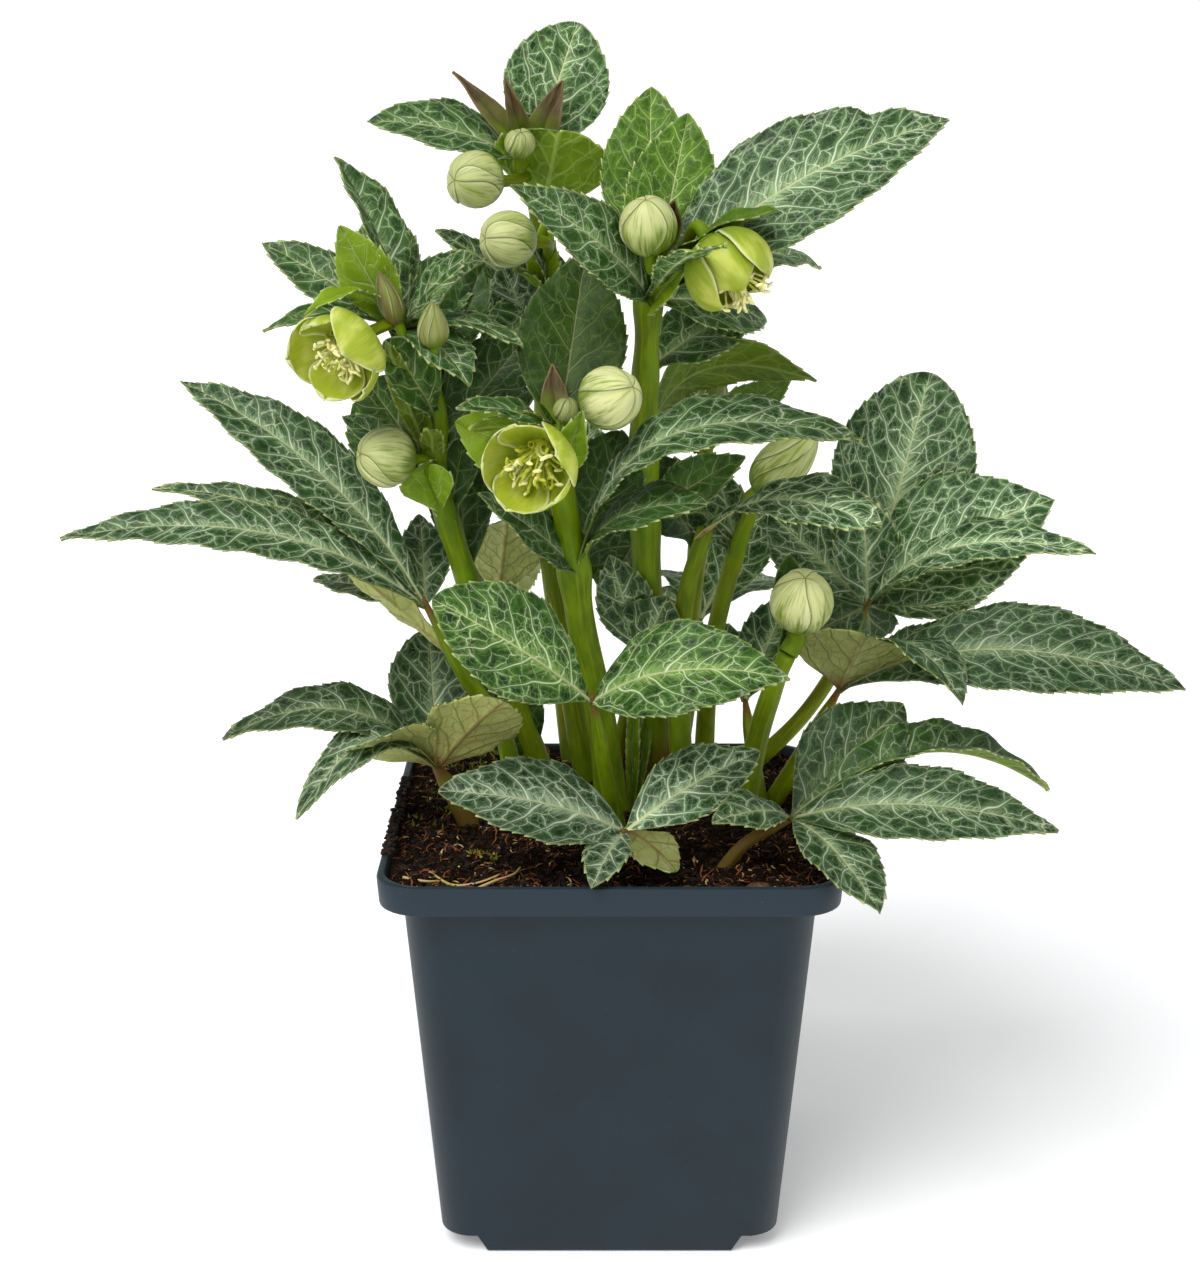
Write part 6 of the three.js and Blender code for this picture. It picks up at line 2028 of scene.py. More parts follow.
@dataclass(frozen=True)
class CupMaker:
    """Models cups of five separate sepals on their receptacle."""

    finishes: Finishes
    rows: int = 22
    columns: int = 19
    count: int = 5
    half_angle: float = 50.0
    layers: tuple[float, ...] = (0.001, -0.001, 0.001, -0.001, 0.0)
    foot_radius: float = 0.003
    foot_rise: float = 0.001
    foot_share: float = 0.7
    tip_share: float = 0.06
    shoulder: float = 0.42
    edge_dip: float = 0.1
    over: float = 0.25
    thickness: float = 0.0005
    wave: float = 0.00035
    bow_share: float = 1.15
    bunching: float = 0.9
    foot_reach: float = 0.3
    ripples: tuple[float, float, float] = (3.3, 4.0, 7.0)
    phases: float = 6.0
    seeds: int = 7
    receptacle_sides: int = 20
    receptacle: tuple[float, float] = (0.0050, 0.0020)
    receptacle_widths: tuple[float, ...] = (0, 0.78, 0.92, 1.0, 0.97, 0.7, 0)
    receptacle_rises: tuple[float, ...] = (0, 0, 0.2, 0.55, 0.85, 1.0, 1.0)

    def sepal(self, name: str, seat: HeadSeat, row: FlowerRow, k: int, number: int) -> Piece:
        """Models one sepal.

        Args:
            name: name of the piece.
            seat: where its flower sits.
            row: the flower's size, sweep, turn and curls.
            k: number of the sepal.
            number: seeds its unevenness.

        Returns:
            The sepal with its finishes.
        """
        chance = np.random.default_rng(number * self.seeds + k)
        curl = row.curls[k]
        full = math.radians(row.sweep * (1 + max(curl, 0)))
        middle = k * 2 * math.pi / self.count + math.radians(row.turn)
        spread = row.radius - self.foot_radius
        phase, lean = chance.uniform(0, self.phases, 2)
        along = np.linspace(0, 1, self.rows) ** self.bunching
        across = np.sin(np.linspace(-1, 1, self.columns) * math.pi / 2)

        def form(i: Array, j: Array) -> Form:
            """Form of the sepal's middle sheet.

            Args:
                i: station of each point.
                j: column of each point.

            Returns:
                Its form.
            """
            u, v = along[i], across[j]
            lift = u * full
            wide = self.foot_radius + self.layers[k] + spread * np.sin(lift)
            outline = np.sqrt(1 - np.clip(1 - (1 - u) / self.shoulder, 0, 1) ** 2)
            outline = np.maximum(outline, self.tip_share)
            share = self.foot_share + (1 - self.foot_share) * ease(u, 0.0, self.foot_reach)
            share = np.minimum(share, outline)
            angle = middle + v * share * math.radians(self.half_angle)
            climb = (1 - np.cos(lift)) / (1 - math.cos(full)) * (1 + self.over * max(curl, 0))
            wide = wide - spread * 0.5 * min(curl, 0) * u**3
            rise = self.foot_rise + row.depth * climb * (1 - self.edge_dip * v * v * u)
            across_turns, along_turns, fine_turns = self.ripples
            ripple = self.wave * np.sin(across_turns * v + along_turns * u + phase) * u
            wide = wide + (ripple + 0.5 * self.wave * np.sin(fine_turns * v + lean) * u)
            points = triples(wide * np.cos(angle), wide * np.sin(angle), rise)
            arc = np.maximum(wide, self.foot_radius) * math.radians(self.half_angle)
            length = math.hypot(spread, row.depth) * self.bow_share
            to_edge = np.minimum(arc * share * (1 - np.abs(v)), length * (1 - u))
            return Form(seat.seat(points), {
                "petal": triples(v * share, u, number + 3 * k),
                "petal_span": triples(to_edge, 0, 0),
            })

        piece = laid_grid(name, along, across, form)
        dress(piece, *self.finishes.sepal)
        thicken(piece, self.thickness)
        smooth(piece)
        return piece

    def disc(self, name: str, seat: HeadSeat) -> Piece:
        """Models the green receptacle at the foot of the sepals.

        Args:
            name: name of the piece.
            seat: where its flower sits.

        Returns:
            The receptacle with its finish.
        """
        radius, height = self.receptacle

        def form(ring: Array, angle: Array) -> Form:
            """Form of the receptacle.

            Args:
                ring: ring of each point.
                angle: angle of each point.

            Returns:
                Its form.
            """
            wide = np.array(self.receptacle_widths)[ring] * radius
            rise = np.array(self.receptacle_rises)[ring] * height
            points = triples(wide * np.cos(angle), wide * np.sin(angle), rise)
            return Form(seat.seat(points), {"rod": points})

        piece = laid_ball(name, len(self.receptacle_widths) - 1, self.receptacle_sides, form)
        dress(piece, self.finishes.stem)
        smooth(piece)
        return piece

    def cup(self, name: str, seat: HeadSeat, row: FlowerRow, number: int) -> Piece:
        """Models the sepals and their receptacle as one piece."""
        sepals = [self.sepal(f"{name}_sepal", seat, row, k, number) for k in range(self.count)]
        return joined(name, [self.disc(f"{name}_disc", seat), *sepals])


@dataclass(frozen=True)
class FlowerMaker:
    """Models open flowers: sepals, a ring of nectaries and the stamens round the styles."""

    finishes: Finishes
    cups: CupMaker
    lift: float = 0.0023
    nectaries: int = 9
    nectary_ring: float = 0.0034
    nectary_length: float = 0.0038
    nectary_radii: tuple[float, float] = (0.0005, 0.0011)
    nectary_lean: float = 50.0
    nectary_wall: float = 0.22
    nectary_bore: float = 0.45
    nectary_narrow: float = 0.6
    band: tuple[float, float] = (0.0012, 0.0009)
    hang_rise: float = 0.45
    stamens: int = 44
    dull_share: float = 0.8
    stamen_ring: float = 0.0026
    stamen_radius: float = 0.0005
    stamen_uneven: float = 0.2
    stamen_bend: tuple[float, float] = (0.1, 0.42)
    outer_less: float = 0.12
    stamen_rise: float = 0.3
    spin: float = 6.0
    thread_taper: tuple[float, float] = (1.1, 0.35)
    thread_rings: int = 6
    sharp: float = 50.0
    anther: tuple[float, float, float] = (0.00064, 0.00064, 0.0016)
    anther_tilt: float = 5.0
    styles: int = 3
    style_share: float = 0.95
    style_radius: float = 0.00055
    style_ring: float = 0.0009
    style_bend: float = 0.12
    dome: tuple[float, float] = (0.0026, 0.002)

    def build(self, name: str, row: FlowerRow, number: int) -> None:
        """Models one flower and hands its pieces over.

        Args:
            name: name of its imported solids.
            row: its place and size.
            number: seeds its unevenness.
        """
        seat = HeadSeat.of(row)
        hand_over(self.cups.cup(f"{name}_cup", seat, row, number), f"{name}_sepals")
        place = self.core(seat, row)
        hand_over(self.tubes(f"{name}_tubes", place), f"{name}_nectaries")
        hand_over(self.bunch(f"{name}_bunch", row, place, number), f"{name}_stamens")

    def core(self, seat: HeadSeat, row: FlowerRow) -> Matrix:
        """Place of the stamens' foot, which droop more than the sepals by the row's angle.

        Args:
            seat: where its flower sits.
            row: its place and size.

        Returns:
            Matrix that sets the stamens on their seat.
        """
        hang = math.radians(row.hang)
        axis = Vector(seat.axis)
        droop = (-UP + axis * axis.z).normalized()
        lean = axis * math.cos(hang) + droop * math.sin(hang)
        turn = UP.rotation_difference(lean).to_matrix().to_4x4()
        base = Vector(seat.base) + axis * self.lift - droop * (self.hang_rise * row.radius * math.sin(hang))
        return Matrix.Translation(base) @ turn

    def tubes(self, name: str, place: Matrix) -> Piece:
        """Models one open tube, copies it round, and joins the tubes to their band.

        Args:
            name: name of the piece.
            place: matrix that sets its place.

        Returns:
            The ring with its finish.
        """
        foot, mouth = self.nectary_radii
        length = self.nectary_length
        tube = added(
            bpy.ops.mesh.primitive_cone_add, vertices=12, radius1=foot, radius2=mouth,
            depth=length, location=(0, 0, length / 2),
        )
        settle(tube)
        bpy.ops.object.mode_set(mode="EDIT")
        bpy.ops.mesh.select_all(action="DESELECT")
        bpy.ops.object.mode_set(mode="OBJECT")
        for polygon in tube.data.polygons:
            polygon.select = polygon.normal.z > 0.9
        bpy.ops.object.mode_set(mode="EDIT")
        bpy.ops.mesh.inset(thickness=mouth * self.nectary_wall, depth=0)
        down = (0, 0, -length * self.nectary_bore)
        bpy.ops.mesh.extrude_region_move(TRANSFORM_OT_translate={"value": down})
        narrow = self.nectary_narrow
        bpy.ops.transform.resize(value=(narrow, narrow, 1), center_override=(0, 0, length / 2))
        bpy.ops.object.mode_set(mode="OBJECT")
        dress(tube, self.finishes.nectary)
        smooth(tube, self.sharp)
        lean = Matrix.Rotation(math.radians(self.nectary_lean), 4, "Y")
        out = Matrix.Translation((self.nectary_ring, 0, self.band[1] / 2))
        turns = [Matrix.Rotation(2 * math.pi * k / self.nectaries, 4, "Z") for k in range(self.nectaries)]
        tubes = [copied(tube, place @ turn @ out @ lean) for turn in turns]
        bpy.data.objects.remove(tube)
        band = added(
            bpy.ops.mesh.primitive_torus_add, major_segments=28, minor_segments=8,
            major_radius=self.nectary_ring, minor_radius=self.band[0] / 2,
            location=(0, 0, self.band[1] / 2),
        )
        settle(band)
        band.data.transform(place)
        dress(band, self.finishes.nectary)
        smooth(band)
        return joined(name, [band, *tubes])

    def bunch(self, name: str, row: FlowerRow, place: Matrix, number: int) -> Piece:
        """Models the dome with its styles and stamens.

        Args:
            name: name of the piece.
            row: its place and size.
            place: matrix that sets its place.
            number: seeds its unevenness.

        Returns:
            The bunch with its finishes.
        """
        chance = np.random.default_rng(number)
        radius, height = self.dome
        depth, cap = row.depth, row.cap
        dome = added(bpy.ops.mesh.primitive_uv_sphere_add, segments=14, ring_count=8, radius=radius)
        swell = Matrix.Diagonal((1 + cap, 1 + cap, height / radius * (1 + 2 * cap), 1))
        dome.data.transform(place @ swell)
        dress(dome, self.finishes.cap if cap else self.finishes.style)
        smooth(dome)
        pieces = [dome]
        for k in range(self.styles):
            turn = Matrix.Rotation(2 * math.pi * k / self.styles, 4, "Z")
            foot = place @ turn @ Matrix.Translation((self.style_ring, 0, 0))
            pieces.append(self.thread(
                "style", depth * self.style_share, self.style_radius, self.style_bend, foot,
                self.finishes.style,
            ))
        for k in range(self.stamens):
            out = math.sqrt((k + 0.5) / self.stamens)
            share = row.stamen + self.stamen_uneven * (chance.random() * 2 - 1) - self.outer_less * out
            tip = Matrix.Rotation(out * math.radians(row.reach), 4, "Y")
            turn = Matrix.Rotation(k * GOLDEN_TURN, 4, "Z")
            start = Matrix.Translation((self.stamen_ring * out, 0, height * self.stamen_rise))
            spin = Matrix.Rotation(chance.uniform(0, self.spin), 4, "Z")
            dull = chance.random() < self.dull_share * cap
            filament = self.finishes.style if dull else self.finishes.filament
            end = self.finishes.nectary if dull else self.finishes.anther
            pieces.append(self.thread(
                "stamen", depth * share, self.stamen_radius, chance.uniform(*self.stamen_bend),
                place @ turn @ start @ tip @ spin, filament, self.anther, end,
            ))
        return joined(name, pieces)

    def thread(
        self, name: str, length: float, radius: float, bend: float, place: Matrix,
        finish: Material, anther: Point | None = None, tip: Material | None = None,
    ) -> Piece:
        """Models one bent filament.

        Args:
            name: name of the piece.
            length: its length.
            radius: its radius at the foot.
            bend: how far it bends over, as a share of its length.
            place: where it stands.
            finish: its finish.
            anther: half sizes of the anther at its end, if it has one.
            tip: finish of the anther.

        Returns:
            The filament with its anther.
        """

        def form(ring: Array, angle: Array) -> Form:
            """Form of the filament.

            Args:
                ring: ring of each point.
                angle: angle of each point.

            Returns:
                Its form.
            """
            last, (most, less) = self.thread_rings, self.thread_taper
            t = np.clip((ring - 1) / (last - 2), 0, 1)
            wide = np.where((ring == 0) | (ring == last), 0, radius * (most - less * t))
            return Form(triples(
                wide * np.cos(angle) + bend * length * t**2, wide * np.sin(angle), length * t,
            ))

        rod = laid_ball(name, self.thread_rings, 5, form)
        dress(rod, finish)
        pieces = [rod]
        if anther:
            head = added(bpy.ops.mesh.primitive_uv_sphere_add, segments=7, ring_count=5, radius=1)
            tilt = Matrix.Rotation(bend * self.anther_tilt, 4, "Y")
            lift = Matrix.Translation((bend * length, 0, length))
            head.data.transform(lift @ tilt @ Matrix.Diagonal((*anther, 1)))
            dress(head, tip)
            pieces.append(head)
        for piece in pieces:
            piece.data.transform(place)
            smooth(piece)
        return joined(name, pieces)


# --- Pot and soil ---


@dataclass(frozen=True)
class Pot:
    """Square nursery pot: tapering walls, a band round the rim and notched lower corners."""

    finishes: Finishes
    height: float = 0.141
    rim_height: float = 0.010
    rim_width: float = 0.153
    rim_taper: float = 0.0012
    top_width: float = 0.139
    foot_width: float = 0.116
    corner: float = 0.011
    corner_steps: int = 9
    wall: float = 0.0014
    lip: float = 0.0026
    floor: float = 0.0016
    round_off: float = 0.0008
    notch_height: float = 0.006
    notch_foot: float = 0.016
    notch_top: float = 0.0125
    drain_radius: float = 0.0045
    drain_offset: float = 0.030
    edge: float = 0.00035
    edge_angle: float = 50.0
    sharp: float = 40.0
    near_share: float = 0.3
    over_share: float = 0.2

    def build(self) -> None:
        """Models the pot and hands it over."""
        top = self.height
        under = top - self.rim_height
        r = self.round_off
        near = r * self.near_share
        body = self.top_width - (self.top_width - self.foot_width) * (top - under) / top
        outer = self.stack("pot_outer", [
            (0, self.foot_width - 2 * r), (near, self.foot_width - 2 * near), (r, self.foot_width),
            (under, body), (under, self.rim_width - self.rim_taper - r),
            (under + near, self.rim_width - self.rim_taper - near),
            (under + r, self.rim_width - self.rim_taper),
            (top - r, self.rim_width), (top - near, self.rim_width - 2 * near),
            (top, self.rim_width - 2 * r),
        ])
        lip = self.rim_width - 2 * self.lip
        inner = self.stack("pot_inner", [
            (self.floor, self.foot_width - 2 * self.wall), (under + self.wall, body - 2 * self.wall),
            (under + self.wall + r, lip - self.rim_taper - r),
            (under + self.wall + 2 * r, lip - self.rim_taper),
            (top - r, lip), (top - near, lip + 2 * near),
            (top + r * self.over_share, lip + 2 * r), (top + r * 3, lip + 2 * r),
        ])
        for block in self.notches(0.0):
            self.cut(outer, block)
        for block in self.notches(self.wall):
            self.cut(inner, block)
        self.cut(outer, inner)
        for drain in self.drains():
            self.cut(outer, drain)
        apply_modifier(
            outer, "BEVEL", width=self.edge, segments=2, limit_method="ANGLE",
            angle_limit=math.radians(self.edge_angle), use_clamp_overlap=True,
        )
        dress(outer, self.finishes.pot)
        smooth(outer, self.sharp)
        hand_over(named("pot_shell", outer), "pot")

    def stack(self, name: str, rows: Sequence[tuple[float, float]]) -> Piece:
        """Models a round-cornered block whose width changes from height to height.

        Args:
            name: name of the piece.
            rows: height and width of each level, from the bottom up.

        Returns:
            The closed block.
        """
        (low, width), *rest = rows
        block = added(bpy.ops.mesh.primitive_plane_add, size=width, location=(0, 0, low))
        settle(block)
        bpy.ops.object.mode_set(mode="EDIT")
        bpy.ops.mesh.select_all(action="SELECT")
        bpy.ops.mesh.bevel(offset=self.corner, segments=self.corner_steps, affect="VERTICES")
        bpy.ops.mesh.select_all(action="SELECT")
        for level, wide in rest:
            bpy.ops.mesh.extrude_region_move(TRANSFORM_OT_translate={"value": (0, 0, level - low)})
            bpy.ops.transform.resize(value=(wide / width, wide / width, 1), center_override=(0, 0, level))
            low, width = level, wide
        bpy.ops.mesh.select_all(action="SELECT")
        bpy.ops.mesh.normals_make_consistent(inside=False)
        bpy.ops.object.mode_set(mode="OBJECT")
        block.name = name
        return block

    def notches(self, grow: float) -> list[Piece]:
        """Blocks that cut the four lower corners, larger all round by grow.

        Args:
            grow: how much larger they are, for the inside.

        Returns:
            The four blocks.
        """
        blocks = []
        corner = self.foot_width / 2
        for k in range(4):
            block = added(
                bpy.ops.mesh.primitive_cone_add, vertices=4, depth=2 * (self.notch_height + grow),
                radius1=math.sqrt(2) * (2 * self.notch_foot - self.notch_top + grow),
                radius2=math.sqrt(2) * (self.notch_top + grow), rotation=(0, 0, math.pi / 4),
            )
            settle(block)
            turn = Matrix.Rotation(k * math.pi / 2, 4, "Z")
            block.data.transform(turn @ Matrix.Translation((corner, corner, 0)))
            blocks.append(block)
        return blocks

    def drains(self) -> list[Piece]:
        """Rods that cut the drain holes in the floor.

        Returns:
            The rods.
        """
        rods = []
        for k in range(4):
            angle = (k + 0.5) * math.pi / 2
            rod = added(
                bpy.ops.mesh.primitive_cylinder_add, vertices=28, radius=self.drain_radius,
                depth=6 * self.floor,
                location=(self.drain_offset * math.cos(angle), self.drain_offset * math.sin(angle), 0),
            )
            settle(rod)
            rods.append(rod)
        return rods

    def cut(self, block: Piece, cutter: Piece) -> None:
        """Cuts one piece out of another and takes it away."""
        apply_modifier(block, "BOOLEAN", operation="DIFFERENCE", object=cutter, solver="EXACT")
        bpy.data.objects.remove(cutter)


@dataclass(frozen=True)
class Litter:
    """What is strewn on the soil: how many pieces, their sizes and how far they tip.

    Area is the least and greatest x, then y, of their places on the pot's rim; without it
    they lie all over the soil.
    """

    name: str
    count: int
    sizes: tuple[float, float]
    tilt: float
    area: tuple[float, float, float, float] | None = None


@dataclass(frozen=True)
class Soil:
    """Peat that fills the pot, with crumbs, fibres, straw, moss and a few rootlets."""

    finishes: Finishes
    pot: Pot
    level: float = 0.1365
    bank: float = 0.0024
    waves: tuple[tuple[float, float, float], ...] = ((0.0011, 210, 170), (0.00065, 430, -370))
    clearance: float = 0.0004
    round_share: float = 1.1
    cells: int = 120
    play: float = 0.002
    ledge: float = 0.0015
    depth: float = 0.126
    lumps: tuple[tuple[float, float], ...] = ((0.011, 0.0016), (0.0045, 0.0011), (0.0018, 0.0007))
    lump_shift: float = 900.0
    sharp: float = 60.0
    seed: int = 11
    crumbs: Litter = Litter("peat_crumbs", 1500, (0.4, 1.25), 0.6)
    fibres: Litter = Litter("peat_fibres", 1500, (0.4, 1.4), 0.5)
    spill: Litter = Litter("peat_on_rim", 150, (0.4, 1.1), 0.6, (-0.0764, -0.0725, -0.045, 0.035))
    straws: Litter = Litter("pale_straws", 460, (0.3, 1.1), 0.3)
    moss_tufts: int = 300
    fibre: tuple[float, float] = (0.0042, 0.0005)
    straw: tuple[float, float] = (0.003, 0.0008)
    strand_bend: tuple[float, float] = (0.12, 0.08)
    strand_turn: float = 4.2
    strand_flat: float = 0.6
    strand_rings: int = 6
    crumb_radius: float = 0.0011
    crumb_form: Point = (1.2, 0.9, 0.7)
    crumb_uneven: tuple[float, float] = (0.9, 2600.0)
    litter_margin: float = 0.0015
    litter_lift: float = 0.0003
    tuft: Point = (0.0005, 0.0001, 0.0024)
    tuft_sizes: tuple[float, float] = (0.5, 1.2)
    tuft_tip: float = 1.2
    tuft_turn: float = 6.3
    moss_patches: tuple[Point, ...] = (
        (-0.047, 0.062, 0.009), (-0.055, 0.050, 0.008), (-0.040, 0.068, 0.008), (-0.058, 0.020, 0.010),
        (-0.045, 0.055, 0.010), (-0.062, 0.000, 0.006), (-0.043, -0.036, 0.003),
    )
    rootlet_radius: float = 0.00055
    rootlet_taper: float = 0.4
    rootlet_lift: float = 0.0016
    rootlet_sunk: float = 0.0006
    rootlet_step: float = 0.0012
    rootlet_paths: tuple[tuple[tuple[float, float], ...], ...] = (
        ((-0.060, -0.052), (-0.052, -0.058), (-0.043, -0.060), (-0.036, -0.056)),
        ((-0.046, -0.066), (-0.038, -0.062), (-0.032, -0.054), (-0.030, -0.046)),
        ((-0.068, -0.060), (-0.060, -0.063), (-0.056, -0.060)),
    )
    bark_place: tuple[float, float] = (0.050, -0.060)
    bark_radius: float = 0.0042
    bark_sharp: float = 40.0
    bark_form: Point = (1.3, 1.0, 0.6)
    bark_lumps: tuple[tuple[float, float], ...] = ((0.35, 300.0), (0.12, 1100.0))

    @property
    def half(self) -> float:
        """Half the width of the soil at its top."""
        return self.pot.rim_width / 2 - self.pot.lip - self.clearance

    def height(self, x: float, y: float) -> float:
        """Height of the soil's surface at a place.

        Args:
            x: place to the right.
            y: place to the back.

        Returns:
            The height.
        """
        z = self.level + self.bank * (y - x) / self.pot.rim_width
        for tall, across, along in self.waves:
            z += tall * math.sin(x * across + y * along)
        for size, tall in self.lumps:
            z += tall * noise.noise(Vector((x / size, y / size, size * self.lump_shift)))
        return z

    def squeeze(self, x: Array, y: Array) -> tuple[Array, Array]:
        """Places of a square of -1 to 1 moved into the pot's round-cornered mouth.

        Args:
            x: places across, -1 to 1.
            y: places to the back, -1 to 1.

        Returns:
            The places in metres.
        """
        corner = self.pot.corner * self.round_share / self.half
        ax, ay = np.abs(x), np.abs(y)
        far = np.maximum(ax, ay)
        over = np.minimum(ax, ay) - (1 - corner) * far
        pull = np.where(over > 0, over / np.maximum(corner * far, TINY), 0)
        shrink = 1 - (1 - 1 / math.sqrt(2)) * corner * pull**2
        return x * shrink * self.half, y * shrink * self.half

    def build(self) -> None:
        """Models the soil and all that lies on it, and hands it over."""
        steps = np.linspace(-1, 1, self.cells + 1)

        def form(i: Array, j: Array) -> Form:
            """Form of the soil's top.

            Args:
                i: station of each point.
                j: column of each point.

            Returns:
                Its form.
            """
            x, y = self.squeeze(steps[i], steps[j])
            z = np.array([self.height(a, b) for a, b in zip(x, y)])
            return Form(triples(x, y, z))

        block = laid_grid("soil_block", steps, steps, form)
        select_only([block])
        bpy.ops.object.mode_set(mode="EDIT")
        bpy.ops.mesh.select_mode(type="EDGE")
        bpy.ops.mesh.select_all(action="DESELECT")
        bpy.ops.mesh.select_non_manifold(extend=False)
        ledge = self.pot.rim_height - (self.pot.height - self.level) - self.pot.wall - self.play
        body = self.pot.top_width - 2 * self.pot.wall - self.play
        foot = self.pot.foot_width - 2 * self.pot.wall - self.play
        levels = ((ledge, 1.0), (self.ledge, body / (2 * self.half)), (self.depth, foot / body))
        for drop, share in levels:
            bpy.ops.mesh.extrude_edges_move(TRANSFORM_OT_translate={"value": (0, 0, -drop)})
            bpy.ops.transform.resize(value=(share, share, 1), center_override=(0, 0, self.level - drop))
        bpy.ops.mesh.edge_face_add()
        bpy.ops.mesh.select_all(action="SELECT")
        bpy.ops.mesh.normals_make_consistent(inside=False)
        bpy.ops.mesh.select_mode(type="VERT")
        bpy.ops.object.mode_set(mode="OBJECT")
        dress(block, self.finishes.soil)
        smooth(block, self.sharp)
        hand_over(block, "soil")
        chance = np.random.default_rng(self.seed)
        look = self.finishes
        self.scatter(self.crumbs, self.crumb(), look.crumb, chance)
        self.scatter(self.fibres, self.strand(*self.fibre), look.fibre, chance)
        self.scatter(self.spill, self.crumb(), look.crumb, chance)
        self.scatter(self.straws, self.strand(*self.straw), look.straw, chance)
        self.moss(chance)
        hand_over(joined("rootlets", [self.rootlet(path) for path in self.rootlet_paths]))
        hand_over(self.bark())

    def crumb(self) -> Piece:
        """Models one crumb of peat.

        Returns:
            The crumb.
        """
        crumb = added(bpy.ops.mesh.primitive_ico_sphere_add, subdivisions=1, radius=self.crumb_radius)
        share, turns = self.crumb_uneven
        for vertex in crumb.data.vertices:
            vertex.co *= 1 + share * noise.noise(vertex.co * turns)
        crumb.data.transform(Matrix.Diagonal((*self.crumb_form, 1)))
        return crumb

    def strand(self, length: float, radius: float) -> Piece:
        """Models one bent strand of fibre.

        Args:
            length: its length.
            radius: its radius.

        Returns:
            The strand.
        """

        def form(ring: Array, angle: Array) -> Form:
            """Form of the strand.

            Args:
                ring: ring of each point.
                angle: angle of each point.

            Returns:
                Its form.
            """
            last = self.strand_rings
            t = np.clip((ring - 1) / (last - 2), 0, 1)
            wide = radius / 2 * (1 - 0.5 * (2 * t - 1) ** 2)
            wide = np.where((ring == 0) | (ring == last), 0, wide)
            bow, arch = self.strand_bend
            x = length * (t - 0.5)
            y = bow * length * np.sin(self.strand_turn * t)
            z = arch * length * np.sin(math.pi * t)
            return Form(triples(x, y + wide * np.cos(angle), z + wide * np.sin(angle) * self.strand_flat))

        return laid_ball("strand", self.strand_rings, 4, form)

    def scatter(
        self, litter: Litter, source: Piece, finish: Material, chance: np.random.Generator,
    ) -> None:
        """Copies a piece all over the soil and hands the lot over.

        Args:
            litter: how many copies there are, their sizes and where they lie.
            source: what is copied; it is taken away afterwards.
            finish: finish of the copies.
            chance: gives the places.
        """
        dress(source, finish)
        smooth(source)
        copies = []
        limit = self.half - self.litter_margin
        left, right, front, back = litter.area or (-limit, limit, -limit, limit)
        for _ in range(litter.count):
            x, y = chance.uniform(left, right), chance.uniform(front, back)
            size = chance.uniform(*litter.sizes)
            turn = Matrix.Rotation(chance.uniform(0, 2 * math.pi), 4, "Z")
            tip = Matrix.Rotation(chance.normal(0, litter.tilt), 4, "Y")
            level = self.pot.height if litter.area else self.height(x, y)
            lie = Matrix.Translation((x, y, level + self.litter_lift))
            copies.append(copied(source, lie @ turn @ tip @ Matrix.Scale(size, 4)))
        bpy.data.objects.remove(source)
        hand_over(joined(litter.name, copies))

    def moss(self, chance: np.random.Generator) -> None:
        """Models patches of bright moss near the stems and the back left corner.

        Args:
            chance: gives the random numbers.
        """
        foot, tip, tall = self.tuft
        tuft = added(bpy.ops.mesh.primitive_cone_add, vertices=4, radius1=foot, radius2=tip, depth=tall)
        dress(tuft, self.finishes.moss)
        copies = []
        for k in range(self.moss_tufts):
            cx, cy, spread = self.moss_patches[k % len(self.moss_patches)]
            x, y = chance.normal(cx, spread), chance.normal(cy, spread)
            if max(abs(x), abs(y)) > self.half - self.play:
                continue
            turn = Matrix.Rotation(chance.uniform(0, self.tuft_turn), 4, "Z")
            turn = turn @ Matrix.Rotation(chance.uniform(0, self.tuft_tip), 4, "Y")
            lie = Matrix.Translation((x, y, self.height(x, y) + tall / 3))
            copies.append(copied(tuft, lie @ turn @ Matrix.Scale(chance.uniform(*self.tuft_sizes), 4)))
        bpy.data.objects.remove(tuft)
        hand_over(joined("moss_tufts", copies))

    def rootlet(self, path: Sequence[tuple[float, float]]) -> Piece:
        """Models one pale rootlet, whose first end dips into the soil.

        Args:
            path: places that it lies over.

        Returns:
            The rootlet with its finish.
        """
        lifted = []
        for n, (x, y) in enumerate(path):
            lifted.append((x, y, self.height(x, y) + self.rootlet_lift - self.rootlet_sunk * (n == 0)))
        route = Route.through(lifted, self.rootlet_step)
        count = len(route.distance)

        def form(ring: Array, angle: Array) -> Form:
            """Form of the rootlet.

            Args:
                ring: ring of each point.
                angle: angle of each point.

            Returns:
                Its form.
            """
            middle, east, north, s = route.frame_at(np.clip(ring - 1, 0, count - 1))
            wide = self.rootlet_radius * (1 - self.rootlet_taper * s / route.length)
            wide = np.where((ring == 0) | (ring == count + 1), 0, wide)
            round_part = east * np.cos(angle)[:, None] + north * np.sin(angle)[:, None]
            return Form(middle + round_part * wide[:, None])

        piece = laid_ball("rootlet", count + 1, 8, form)
        dress(piece, self.finishes.rootlet)
        smooth(piece)
        return piece

    def bark(self) -> Piece:
        """Models the lump of bark at the front right.

        Returns:
            The lump with its finish.
        """
        x, y = self.bark_place
        lump = added(bpy.ops.mesh.primitive_ico_sphere_add, subdivisions=3, radius=self.bark_radius)
        for vertex in lump.data.vertices:
            vertex.co *= 1 + sum(share * noise.noise(vertex.co * turns) for share, turns in self.bark_lumps)
        place = Matrix.Translation((x, y, self.height(x, y)))
        lump.data.transform(place @ Matrix.Diagonal((*self.bark_form, 1)))
        dress(lump, self.finishes.bark)
        smooth(lump, self.bark_sharp)
        return named("bark_lump", lump)


# --- Studio ---


@dataclass(frozen=True)
class Light:
    """A far soft light: where it stands, how wide it looks in degrees and its strength."""

    name: str
    place: Point
    width: float
    power: float


